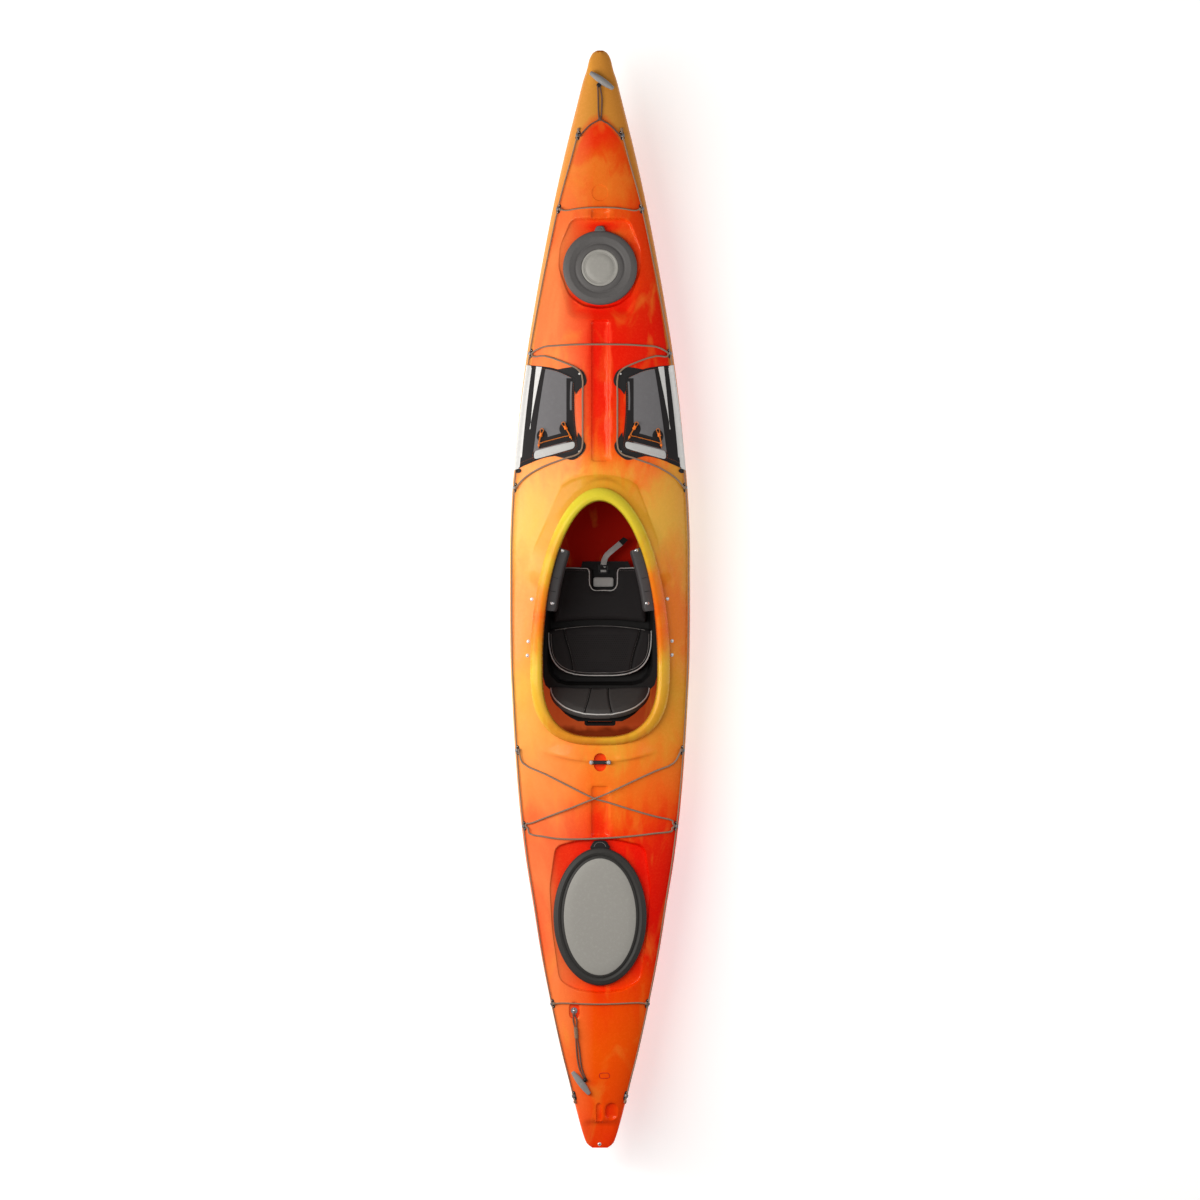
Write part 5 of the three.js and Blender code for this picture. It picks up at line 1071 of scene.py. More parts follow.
def fore_bungee_points():
    path = [
        knot_beside(-1, 3), *over(FORE_SIDE, BUNGEE_LIFT, 1), *turn_beside(-1, 2), *over(FORE_CROSS, BUNGEE_LIFT, 2),
        *turn_beside(1, 2)[::-1], *over(mirrored(FORE_SIDE), BUNGEE_LIFT, 1), knot_beside(1, 3),
    ]
    return rounded_run(path)


def aft_bungee_points():
    middle = []
    for point in over(AFT_LAST, BUNGEE_LIFT, 2):
        rise = max(0.0, 1 - abs(point.x) / (BEAM / 4))
        middle.append(point + Vector((0, 0, (CROSSING_LIFT - BUNGEE_LIFT) * min(2 * rise, 1))))
    path = [
        knot_beside(-1, 4), *over(AFT_FIRST, BUNGEE_LIFT, 2), *turn_beside(1, 5)[::-1],
        *over(AFT_CROSS, BUNGEE_LIFT, 2), *turn_beside(-1, 5), *middle, knot_beside(1, 4),
    ]
    return rounded_run(path)


def cross_points(index, route):
    ends = [knot_beside(side, index) for side in (-1, 1)]
    return rounded_run([ends[0], *over(route, BUNGEE_LIFT, 2), ends[1]])


def build_cords():
    for name, side in SIDES:
        points = perimeter_points(side)
        ends = [(points[0], points[0] - points[1]), (points[-1], points[-1] - points[-2])]
        knots = [(end + way.normalized() * 0.003, 0.0055, way) for end, way in ends]
        lay_cord(f"{name}_perimeter_line", points, CORD, "cord", knots)
    for name, points, radius, look in (
        ("fore_bungee", fore_bungee_points(), BUNGEE, "bungee"),
        ("aft_bungee", aft_bungee_points(), BUNGEE, "bungee"),
        ("fore_cross_line", cross_points(1, BOW_CROSS), CORD, "cord"),
        ("stern_cross_line", cross_points(6, STERN_CROSS), CORD, "cord"),
    ):
        lay_cord(name, points, radius, look, [(Vector(points[k]), KNOT, (0, 1, 0)) for k in (0, -1)])


# Hull and deck
def half_section(y, inset, steps):
    s = share_of(y)
    half, low = half_at(y, inset), HEIGHT * keel_at(s) + inset
    gunwale, pad, power = HEIGHT * gunwale_at(s), KEEL_PAD / 2 * pad_at(s), bilge_at(s)
    angle = np.linspace(0, math.pi / 2, steps + 1)
    c = np.cos(angle)
    c[-1] = 0
    x = pad + (half - pad) * c ** (2 / power)
    z = gunwale - (gunwale - low) * np.sin(angle) ** (2 / power)
    return x, z


def hull_skin(ys, inset, steps, flip, start):
    rings = []
    for y in ys:
        x, z = half_section(y, inset, steps)
        ring = [(a, y, b) for a, b in zip(x, z)] + [(-a, y, b) for a, b in zip(x[::-1], z[::-1])]
        rings.append(ring)
    count = len(rings[0])
    verts = [p for ring in rings for p in ring]
    faces = grid(len(rings), count, flip=flip, start=start)
    last = start + (len(rings) - 1) * count
    first_cap, last_cap = tuple(range(start, start + count)), tuple(range(last, last + count))[::-1]
    faces += [first_cap[::-1] if flip else first_cap, last_cap[::-1] if flip else last_cap]
    return verts, faces


def build_hull():
    turns = np.linspace(0, math.pi, 220)
    ys = LENGTH / 2 * np.cos(turns) * 0.55 + LENGTH / 2 * np.linspace(1, -1, 220) * 0.45
    outer, outer_faces = hull_skin(ys, 0.0, 36, False, 0)
    inner_ys = np.linspace(CAVITY[1], CAVITY[0], 120)
    inner, inner_faces = hull_skin(inner_ys, WALL, 24, True, len(outer))
    obj = make("hull", outer + inner, outer_faces + inner_faces, "deck inside")
    obj.data.polygons.foreach_set("material_index", [0] * len(outer_faces) + [1] * len(inner_faces))
    put(obj, "kayak", "hull", "hull")


def contour_lines():
    """Closed loops of plan points that the deck mesh must follow, round the recesses and channels."""
    loops = []
    for name, outline, floor, lean, _ in RECESSES:
        big = name in ("bow", "stern")
        base = spaced(outline, 0.007 if big else 0.003)
        top = (np.array([float(deck_top(x, y)) for x, y in base]) - floor) * lean
        top = np.maximum(top, 0.0008)
        for share in (-0.35, 0.0, 0.3, 0.7, 1.0, 1.35):
            loops.append(offset(base, top * share))
        if big:
            for out in (-0.003, 0.004):
                loops.append(offset(base, top * (1 if out > 0 else 0) + out))
    for low, high in CHANNELS:
        base = spaced(rounded(channel_outline(low, high), 0.004), 0.008)
        reach = CHANNEL_DEPTH * CHANNEL_LEAN
        for share in (-0.3, 0.15, 0.85, 1.35):
            loops.append(offset(base, reach * share))
    return loops


def mouth(hatch):
    """The hole under a hatch cover."""
    inset = MOUTH_INSET - RIM_WALL / 2
    return ellipse(hatch["y"], hatch["wide"] - inset, hatch["long"] - inset, 96)


# Lines that the deck's mesh follows. Shares of the half breadth, of the lip's breadth out from the cockpit ahead and
# behind, and metres out from the arch's crease, the facets' foot and the ledge
TIP_STEPS = np.array([0.0008, 0.002, 0.004, 0.0065])
EDGE_LINES = (0.998, 0.992, 0.98, 0.96, 0.93, 0.89)
AHEAD_LINES, BEHIND_LINES = (0.9, 1.0, 1.12, 1.24, 1.35, 1.42, 1.5, 1.62), (0.35, 0.7, 1.0, 1.3)
CREASE_LINES, FACET_LINES = (-0.006, -0.002, 0.002), (0.0015, -0.0015, -0.012, -0.022)
LEDGE_LINES = (-0.0055, -0.002, 0.001, 0.0045, 0.012)
# Loops and loose points keep inside these shares of the half breadth
LOOP_SHARE, FILL_SHARE = 0.88, 0.86


def deck_plan(settings):
    """Triangles over the deck's plan, fine where the moulding turns."""
    cell = settings.deck_cell
    ys = np.linspace(LENGTH / 2, -LENGTH / 2, int(LENGTH / cell) + 1)
    # Denser rows where the breadth turns fast, at both tips
    tips = LENGTH / 2 - TIP_STEPS
    ys = np.sort(np.concatenate([ys, tips, -tips]))[::-1]
    halves = half_at(ys)
    points, edges = [], []

    def add_line(line, closed):
        start = len(points)
        points.extend([(float(x) * 1000, float(y) * 1000) for x, y in line])
        count = len(line)
        edges.extend([(start + i, start + (i + 1) % count) for i in range(count if closed else count - 1)])

    add_line([*zip(halves, ys), *zip(-halves[::-1], ys[::-1])], True)
    hole = np.array([cockpit_point(2 * math.pi * i / HOLE_SIDES, HOLE_SHARE) for i in range(HOLE_SIDES)])
    mouths = [mouth(BOW_HATCH), mouth(STERN_HATCH)]
    for u in EDGE_LINES:
        for side in (1, -1):
            add_line([(side * u * float(half_at(y)), y) for y in ys[3:-3]], False)
    for loop in contour_lines():
        if (np.abs(loop[:, 0]) < LOOP_SHARE * half_at(loop[:, 1])).all():
            add_line(loop, True)
    for loop in [hole, *mouths]:
        add_line(loop, True)
    for share in AHEAD_LINES:
        angles = np.radians(np.linspace(14, 166, 130))
        add_line([cockpit_point(t, 1 + (share - 1) * widening(t) if share > 1 else share) for t in angles], False)
    for share in BEHIND_LINES:
        add_line([cockpit_point(t, share) for t in np.radians(np.linspace(180, 360, 150))], False)
    for out in CREASE_LINES:
        add_line(offset(spaced(ARCH_EDGE, 0.008), out)[2:-20], False)
    for out in FACET_LINES:
        add_line(offset(spaced(np.array(BOW_FACETS[1:-1]), 0.008), out)[:-16], False)
    across = np.linspace(-0.205, 0.205, 90)
    for out in LEDGE_LINES:
        add_line(np.column_stack([across, ledge_at(across) + out]), False)
    fixed = np.array(points) / 1000
    fill = []
    for y, half in zip(ys, halves):
        reach = FILL_SHARE * half
        fill += [(x, y) for x in np.linspace(-reach, reach, max(int(2 * reach / (cell * 1.25)), 2))]
    fill = np.array(fill)
    # No loose point in a box that holds a point of a line, or in a box beside it
    size = cell / 2.4
    taken = {(x + i, y + j) for x, y in (fixed // size).astype(int).tolist() for i in (-1, 0, 1) for j in (-1, 0, 1)}
    fill = fill[[key not in taken for key in map(tuple, (fill // size).astype(int).tolist())]]
    fill = fill[signed_distance(fill, hole) >= 0]
    # In millimetres, because the triangulation works in single precision
    made = delaunay_2d_cdt([Vector(p) for p in points] + [Vector(p) for p in fill * 1000], edges, [], 0, 0.002)
    verts = np.array([tuple(v) for v in made[0]]) / 1000
    faces = np.array(made[2])
    centre = verts[faces].mean(axis=1)
    order = np.argsort(ys)
    keep = np.abs(centre[:, 0]) < np.interp(centre[:, 1], ys[order], halves[order]) - 1e-7
    for loop in [hole, *mouths]:
        low, high = loop.min(0), loop.max(0)
        near = np.where(np.all((centre > low) & (centre < high), axis=1))[0]
        keep[near[signed_distance(centre[near], loop) < 0]] = False
    a, b, c = verts[faces].transpose(1, 0, 2)
    area = np.cross(b - a, c - a)
    keep &= np.abs(area) > 1e-12
    return verts, faces[keep], area[keep]


def build_deck(settings):
    plan, faces, area = deck_plan(settings)
    verts = np.column_stack([plan, deck_height(*plan.T.copy())])
    faces = [tuple(f) if a > 0 else tuple(f[::-1]) for f, a in zip(faces, area)]
    used = sorted({i for f in faces for i in f})
    renumber = {old: new for new, old in enumerate(used)}
    verts = verts[used]
    faces = [tuple(renumber[i] for i in f) for f in faces]
    top = make("deck", verts, faces, "deck inside")
    x, y = verts[:, 0], verts[:, 1]
    # A band just inside the arch's front crease, which takes the arch's painted brown shade
    arch_front_shade = np.exp(-(((x - 0.02) / 0.055) ** 2) - ((y - 0.421 + 6 * (x - 0.01) ** 2) / 0.007) ** 2)
    patch = np.exp(-(((x - 0.015) / 0.055) ** 2) - ((y - 1.293) / 0.014) ** 2)
    # How far each point lies below the plain deck: the mask of the painted recess shade
    depth = np.maximum(deck_top(x, y) - verts[:, 2], 0) * (y > -1.8)
    # The painted recess shade is weaker in the bow well, aft in the stern well, and at the cockpit's end of both
    # channels
    for share, none, full, where in (
        (0.8, 1.02, 1.1, 1 - patch), (0.75, -1.05, -1.28, y > -1.4), (0.65, 0.6, 0.5, y > 0.44),
        (0.65, -0.76, -0.68, y < -0.62),
    ):
        depth *= 1 - share * fade(y, none, full) * where
    for name, values in (("sunk", depth), ("arch", arch_mask(x, y, 0.003) + arch_front_shade)):
        top.data.attributes.new(name, "FLOAT", "POINT").data.foreach_set("value", values)
    modify(top, "SOLIDIFY", thickness=WALL, offset=-1, use_even_offset=False, use_rim=True, material_offset=1)
    bake(top)
    pieces = [top]
    for end in (1, -1):
        y = end * LENGTH / 2
        half = float(half_at(y))
        xs = np.linspace(half, -half, 24)
        z = deck_height(xs.copy(), np.full(24, y))
        ring = [(x, y, h) for x, h in zip(xs, z)]
        face = tuple(range(24)) if end < 0 else tuple(range(24))[::-1]
        pieces.append(make(f"deck_end_{end}", ring, [face], "deck"))
    pieces.append(coaming_piece())
    for hatch, depth in ((BOW_HATCH, BOW_DEPTH), (STERN_HATCH, STERN_DEPTH)):
        pieces.append(hatch_rim(hatch, crown_floor(0, hatch["y"], depth)))
    obj = merge("deck", pieces)
    obj.data.set_sharp_from_angle(angle=math.radians(40))
    put(obj, "kayak", "deck", "deck")


def coaming_piece():
    section = spline(LIP_SECTION, 4, closed=True)
    rings = []
    for i in range(300):
        angle = 2 * math.pi * i / 300
        base = float(rim_base(cockpit_point(angle, 0)[1]))
        rings.append([(*cockpit_point(angle, across), base + up * LIP_RISE) for across, up in section])
    return band("coaming", rings, "coaming", 60)


def hatch_rim(hatch, floor):
    section = [
        (0, -WALL), (0, RIM_HEIGHT - 0.001), (0.001, RIM_HEIGHT), (RIM_WALL + RIM_BEAD - 0.001, RIM_HEIGHT),
        (RIM_WALL + RIM_BEAD, RIM_HEIGHT - 0.001), (RIM_WALL + RIM_BEAD, RIM_HEIGHT - 0.003),
        (RIM_WALL, RIM_HEIGHT - 2 * RIM_BEAD), (RIM_WALL, 0.001), (RIM_WALL + 0.002, -0.0005), (RIM_WALL, -WALL),
    ]
    return band("rim", list(zip(*(oval(hatch, out - MOUTH_INSET, floor + up, 96) for out, up in section))), "deck")


# Repeated parts, by geometry nodes
def begin_tree(name, inputs):
    return begin_group(name, "GeometryNodeTree", inputs, [("Parts", "Geometry")])


def end_tree(n, points, part, spin, start, end):
    """Copies of the part at the points, as plain mesh in the finish."""
    copies = n.add("GeometryNodeInstanceOnPoints", {"Points": points, "Instance": part, "Rotation": spin})
    plain = n.add("GeometryNodeRealizeInstances", {0: copies.outputs[0]})
    finished = n.add("GeometryNodeSetMaterial", {"Geometry": plain.outputs[0], "Material": start["Finish"]})
    n.feed(end[0], finished.outputs[0])


def scatter_tree():
    """Copies of a part at points, each turned by the point's own angles."""
    if "Scattered parts" in bpy.data.node_groups:
        return bpy.data.node_groups["Scattered parts"]
    tree, n, start, end = begin_tree(
        "Scattered parts", [("Points", "Geometry"), ("Part", "Object"), ("Finish", "Material")]
    )
    part = n.add("GeometryNodeObjectInfo", {"Object": start["Part"]}).outputs["Geometry"]
    turn = n.add("GeometryNodeInputNamedAttribute", {"Name": "turn"}, data_type="FLOAT_VECTOR")
    spin = n.add("FunctionNodeEulerToRotation", {0: turn.outputs["Attribute"]})
    end_tree(n, start["Points"], part, spin.outputs[0], start, end)
    return tree


def stitch_tree():
    """Stitches along a line, each lying along it."""
    if "Stitch run" in bpy.data.node_groups:
        return bpy.data.node_groups["Stitch run"]
    tree, n, start, end = begin_tree("Stitch run", [
        ("Line", "Geometry"), ("Spacing", "Float"), ("Length", "Float"), ("Thickness", "Float"), ("Finish", "Material"),
    ])
    curve = n.add("GeometryNodeMeshToCurve", {0: start["Line"]}).outputs[0]
    even = n.add("GeometryNodeResampleCurve", {"Curve": curve, "Length": start["Spacing"]}, mode="LENGTH")
    bead = n.add("GeometryNodeMeshUVSphere", {"Segments": 6, "Rings": 4, "Radius": 0.5})
    size = n.add("ShaderNodeCombineXYZ", {0: start["Length"], 1: start["Thickness"], 2: start["Thickness"]})
    stitch = n.add("GeometryNodeTransform", {"Geometry": bead.outputs[0], "Scale": size.outputs[0]})
    tangent = n.add("GeometryNodeInputTangent")
    spin = n.add("FunctionNodeAlignRotationToVector", {"Vector": tangent.outputs[0]}, axis="X")
    end_tree(n, even.outputs[0], stitch.outputs[0], spin.outputs[0], start, end)
    return tree


def run_tree(obj, tree, values):
    """Runs the tree on the object and keeps the result as its plain mesh."""
    modifier = obj.modifiers.new("Nodes", "NODES")
    modifier.node_group = tree
    for item in tree.interface.items_tree:
        if item.item_type == "SOCKET" and item.in_out == "INPUT" and item.name in values:
            modifier[item.identifier] = values[item.name]
    bake(obj)
    obj.data.polygons.foreach_set("use_smooth", [True] * len(obj.data.polygons))
    return obj


def scatter(name, part, places, look):
    """One piece of copies of the part, which is used up."""
    mesh = bpy.data.meshes.new(name)
    mesh.from_pydata([tuple(m.to_translation()) for m in places], [], [])
    turn = mesh.attributes.new("turn", "FLOAT_VECTOR", "POINT")
    turn.data.foreach_set("vector", [angle for m in places for angle in m.to_euler()])
    obj = run_tree(link(name, mesh), scatter_tree(), {"Part": part, "Finish": material(look)})
    bpy.data.objects.remove(part)
    obj.data.set_sharp_from_angle(angle=math.radians(35))
    return obj


def stitches(name, lines, look, spacing=0.0062, length=0.0042, thickness=0.0009):
    """Runs of stitches along lines of points, as one piece."""
    verts, edges = [], []
    for line in lines:
        start = len(verts)
        verts += [tuple(p) for p in line]
        edges += [(i, i + 1) for i in range(start, len(verts) - 1)]
    mesh = bpy.data.meshes.new(name)
    mesh.from_pydata(verts, edges, [])
    values = {"Spacing": spacing, "Length": length, "Thickness": thickness, "Finish": material(look)}
    return run_tree(link(name, mesh), stitch_tree(), values)


def hoop(name, points, radius, look, sides=10):
    """A closed round tube along a nearly level loop."""
    p = np.array([tuple(q) for q in points], float)
    ahead = np.roll(p, -1, 0) - np.roll(p, 1, 0)
    ahead /= np.linalg.norm(ahead, axis=1)[:, None]
    side = np.cross(ahead, (0, 0, 1.0))
    side /= np.linalg.norm(side, axis=1)[:, None]
    up = np.cross(side, ahead)
    turns = np.linspace(0, 2 * math.pi, sides, endpoint=False)
    rings = [
        [c + radius * (math.cos(t) * s + math.sin(t) * u) for t in turns] for c, s, u in zip(p, side, up)
    ]
    return band(name, rings, look, 60)


def lifted(plan, lift):
    """Points this far off the plain deck, for an array of plan points."""
    plan = np.asarray(plan, float)
    x, y = plan[..., 0], plan[..., 1]
    across = (deck_top(x + CLEAR, y) - deck_top(x - CLEAR, y)) / (2 * CLEAR)
    along = (deck_top(x, y + CLEAR) - deck_top(x, y - CLEAR)) / (2 * CLEAR)
    normal = np.stack([-across, -along, np.ones_like(across)], -1)
    normal /= np.linalg.norm(normal, axis=-1)[..., None]
    return np.stack([x, y, deck_top(x, y)], -1) + normal * np.broadcast_to(lift, x.shape)[..., None]


def sheet_solid(name, lower, upper, look):
    """A thin closed sheet between two grids of points."""
    rows, columns = lower.shape[:2]
    verts = np.concatenate([lower.reshape(-1, 3), upper.reshape(-1, 3)])
    count = rows * columns
    faces = grid(rows, columns) + grid(rows, columns, flip=True, start=count)
    rim = [(0, c) for c in range(columns - 1)] + [(r, columns - 1) for r in range(rows - 1)]
    rim += [(rows - 1, c) for c in range(columns - 1, 0, -1)] + [(r, 0) for r in range(rows - 1, 0, -1)]
    loop = [r * columns + c for r, c in rim]
    faces += [(a, b, b + count, a + count) for a, b in zip(loop, loop[1:] + loop[:1])]
    return outward(make(name, verts, faces, look, sharp=50))


def draped(name, plan, lift, thick, look):
    """A thin sheet over a grid of plan points, lying on the deck."""
    return sheet_solid(name, lifted(plan, lift), lifted(plan, np.asarray(lift) + thick), look)


def domed(name, rings, middles, look):
    """A solid through rings of points, closed by a fan to a middle point at each end."""
    count = len(rings[0])
    verts = [p for ring in rings for p in ring]
    faces = grid(len(rings), count, close_columns=True)
    for level, middle in zip((0, len(rings) - 1), middles):
        verts.append(middle)
        faces += [(len(verts) - 1, level * count + i, level * count + (i + 1) % count) for i in range(count)]
    return outward(make(name, verts, faces, look, sharp=50))


def leaf(name, outline, lift, thick, look):
    """A flat patch inside a closed plan outline, lying on the deck."""
    edge = spaced(spline([(x, y, 0) for x, y in outline], 6, closed=True)[:, :2], 0.004)
    middle = edge.mean(0)
    rings = [lifted(middle + (edge - middle) * s, lift + up) for s, up in (
        (1, 0), (1, thick * 0.6), (0.96, thick), (0.7, thick), (0.4, thick), (0.12, thick),
    )]
    return domed(name, rings, (lifted(middle, lift), lifted(middle, lift + thick)), look)


def crescent(name, side, outer, inner, lift, thick, look):
    """A flat patch between two plan curves that meet at both ends."""
    edges = []
    for line in (outer, inner):
        fine = spline([(x, y, 0) for x, y in line], 12)[:, :2]
        run = run_along(fine)
        at = np.linspace(0, run[-1], 50)
        edges.append(np.stack([np.interp(at, run, fine[:, 0]), np.interp(at, run, fine[:, 1])], -1))
    return draped(name, flipped(between(*edges, 9), side), lift, thick, look)


def turned_to(centre, way):
    """A place whose Z runs along a level direction."""
    way = Vector(way).normalized()
    side = Vector((0, 0, 1)).cross(way)
    side.normalize()
    return moved(centre) @ axes(way.cross(side) * -1, side, way)


def over_deck(x, y, lift):
    """A place standing on the deck."""
    up = normal_at(x, y)
    across = Vector((0, 1, 0)).cross(up).normalized()
    return moved(on_deck(x, y, lift)) @ axes(across, up.cross(across), up)


def pan_screw(name, radius, height):
    """A pan head with its drive recess."""
    recess = radius * 0.38
    return lathe(name, [
        (0, 0), (radius, 0), (radius, height * 0.45), (radius * 0.86, height * 0.8), (radius * 0.55, height),
        (recess, height), (recess * 0.8, height * 0.45), (0, height * 0.4),
    ], "", 14)


def washer(name, radius, height):
    return lathe(name, [(0, 0), (radius, 0), (radius, height * 0.6), (radius * 0.9, height), (0, height)], "", 18)


# Pad eyes and deck screws
DECK_SCREWS = [
    (-0.2369, 0.0028), (0.2341, 0.0042), (-0.2494, -0.1438), (-0.2522, -0.1928), (0.2501, -0.1424),
    (0.2501, -0.1907),
]
STERN_SCREW = (-0.0017, -1.892)


def eye_plate():
    rings = [
        [(x, y, z) for x, y in stadium(0, 0, EYE_WIDTH - 2 * inset, EYE_LENGTH - 2 * inset, 8)]
        for inset, z in ((0.0004, 0), (0, 0.0004), (0, EYE_BASE * 0.6), (0.0012, EYE_BASE))
    ]
    return shell("plate", rings, "")


def eye_bridge():
    """The arch that the line runs through, with rounded edges."""
    outer, inner = EYE_BORE + EYE_BRIDGE, EYE_BORE
    foot = EYE_BASE * 0.5 - EYE_AXIS
    turns = np.linspace(0, math.pi, 12)
    rings = []
    for y, shrink in (
        (-0.0052, 0.0007), (-0.0045, 0.0001), (-0.0035, 0), (0.0035, 0), (0.0045, 0.0001), (0.0052, 0.0007),
    ):
        ring = []
        for radius, way in ((outer - shrink, 1), (inner, -1)):
            arc = [(radius * math.cos(t), radius * math.sin(t)) for t in turns]
            ring += [(radius, foot), *arc, (-radius, foot)][::way]
        rings.append([(x, y, z + EYE_AXIS) for x, z in ring])
    return shell("bridge", rings, "")


def build_pad_eyes():
    frames = [eye_frame(side, i) for side in (-1, 1) for i in range(len(EYES))]
    names = [f"{side}_pad_eye_{i}" for side in ("port", "starboard") for i in range(1, 9)]
    put(scatter("pad_eye_plates", eye_plate(), frames, "black"), "kayak", "pad_eye_plastic", *names)
    put(scatter("pad_eye_bridges", eye_bridge(), frames, "bridge"), "kayak", "pad_eye_plastic")
    seats = [f @ moved((0, way * 0.0118, EYE_BASE)) for f in frames for way in (-1, 1)]
    put(scatter("pad_eye_screws", pan_screw("screw", 0.0036, 0.0016), seats, "steel"), "kayak", "fitting_steel")
    tip = deck_height(np.array([STERN_SCREW[0]]), np.array([STERN_SCREW[1]]))[0]
    spots = [over_deck(x, y, 0) for x, y in DECK_SCREWS] + [moved((*STERN_SCREW, float(tip)))]
    heads = [spot @ moved((0, 0, 0.0012)) for spot in spots]
    put(scatter("deck_washers", washer("washer", 0.0062, 0.0012), spots, "pale"), "kayak", "fitting_steel")
    put(scatter("deck_screws", pan_screw("screw", 0.0042, 0.0018), heads, "steel"), "kayak", "fitting_steel")


# Hatch covers
COVER_EDGE_RISE = [
    (0, CLEAR), (0, 0.0125), (-0.0006, 0.0152), (-0.0022, 0.0176), (-0.0048, 0.0196), (-0.0085, 0.0212),
    (-0.0125, 0.0222),
]
COVER_FACE = [
    (0.08, 0.0231), (0.13, 0.0238), (0.17, 0.024), (0.21, 0.0236), (0.25, 0.0229), (0.45, 0.0222), (0.53, 0.021),
    (0.58, 0.0192), (0.63, 0.0192), (0.67, 0.0213), (0.72, 0.0226), (0.84, 0.0232), (0.92, 0.0239), (0.97, 0.0239),
    (0.99, 0.0232), (1, 0.021),
]
PANEL_FACE = [
    (0, 0), (0, 0.0024), (0.0008, 0.0034), (0.0022, 0.0039), (0.0085, 0.0041), (0.0095, 0.0033), (0.0108, 0.0033),
    (0.0118, 0.0042), (0.013, 0.0035), (0.0142, 0.0035), (0.0152, 0.0044), (0.032, 0.0052), (0.05, 0.0056),
]


def oval(hatch, out, height, count):
    """Points of the hatch's oval, this far out and at this height."""
    return [(x, y, height) for x, y in ellipse(hatch["y"], hatch["wide"] + out, hatch["long"] + out, count)]


def dished(name, hatch, profile, floor, look):
    """A solid over the hatch's oval, through pairs of how far out and how far up."""
    rings = [oval(hatch, out, floor + up, 180) for out, up in profile]
    return domed(name, rings, [(0, hatch["y"], floor + profile[i][1]) for i in (0, -1)], look)


def hatch_tab(name, hatch, floor, look):
    """The pull tab at the front of a cover, arched and soft-edged."""
    wide, reach = hatch["tab"]
    start = hatch["y"] + hatch["long"] - COVER_EDGE / 2
    end = hatch["y"] + hatch["long"] + reach
    corners = [(-wide * 0.62, start), (wide * 0.62, start), (wide * 0.34, end), (-wide * 0.34, end)]
    outline = spaced(rounded(corners, reach * 0.45, 10), 0.0025)
    rings = []
    for inset, z in ((0.001, 0.0092), (0, 0.0098), (0, 0.0132), (0.0009, 0.0144), (0.0022, 0.0149)):
        plan = offset(outline, -inset)
        arch = 0.0022 * (1 - (2 * plan[:, 0] / wide) ** 2)
        rings.append([(x, y, floor + z + a * (z > 0.01)) for (x, y), a in zip(plan, arch)])
    return shell(name, rings, look)


def build_hatches():
    for name, hatch, depth, rubber in (
        ("bow_hatch", BOW_HATCH, BOW_DEPTH, "rubber"), ("stern_hatch", STERN_HATCH, STERN_DEPTH, "dark_rubber"),
    ):
        round_one = name == "bow_hatch"
        floor = crown_floor(0, hatch["y"], depth)
        inner = hatch["panel"] - hatch["wide"]
        under = [(-COVER_EDGE, RIM_HEIGHT + CLEAR), (-COVER_EDGE, CLEAR)]
        face = [(-0.0125 + (inner + 0.0125) * t, up) for t, up in COVER_FACE]
        cover = dished("cover", hatch, under + COVER_EDGE_RISE + face, floor, rubber)
        tab = hatch_tab("tab", hatch, floor, rubber if round_one else "binding")
        put(merge(f"{name}_cover_moulding", [cover, tab]), name, "hatch_rubber", f"{name}_cover")
        bed = floor + COVER_TOP - PANEL_RECESS + CLEAR
        # Only the round disc has the grooves
        steps = [(inner - CLEAR - out, up) for out, up in PANEL_FACE if round_one or not 0.003 <= out <= 0.03]
        panel = dished(f"{name}_insert", hatch, steps, bed, "panel")
        put(panel, name, "hatch_panel", "bow_hatch_disc" if round_one else "stern_hatch_panel")
        wide, reach = hatch["tab"]
        top = hatch["y"] + hatch["long"]
        arc = [
            (wide * 0.33 * math.cos(t), top + 0.001 + reach * 0.72 * math.sin(t), floor + 0.0163)
            for t in np.linspace(0.15, math.pi - 0.15, 24)
        ]
        put(tube(f"{name}_tab_rib", arc, 0.0008, "seam", 6), name, "hatch_rubber")


# Carry toggles and their cords
WRAP_TURNS, WRAP_RADIUS = 8.5, 0.0052
EYE_FOOT = [
    (0, 0), (0.012, 0), (0.012, 0.0016), (0.0112, 0.0025), (0.0045, 0.0025), (0.004, 0.0032), (0.0036, 0.0052),
    (0, 0.0056),
]
# The strands' runs over the deck: out from the middle, along, up; and middle, half the gap, along
BOW_STRAND = [(0.032, 1.646, 0), (0.0045, 1.664, 0.001), (0.0048, 1.68, 0), (0.0056, 1.7, 0), (0.0062, 1.74, 0.001)]
STERN_STRAND = [
    (-0.086, 0.006, -1.462), (-0.0765, 0.0045, -1.556), (-0.073, 0.005, -1.59), (-0.066, 0.004, -1.63),
]


def stopper_spot(toggle_place, way):
    angle = math.radians(toggle_place[2]) - way * math.pi / 2
    away = TOGGLE_R + CLEAR + STOP_LENGTH / 2
    x, y = toggle_place[0] + away * math.cos(angle), toggle_place[1] + away * math.sin(angle)
    return Vector((x, y, float(deck_top(x, y)) + STOP_R + 3 * CLEAR)), Vector((math.cos(angle), math.sin(angle), 0))


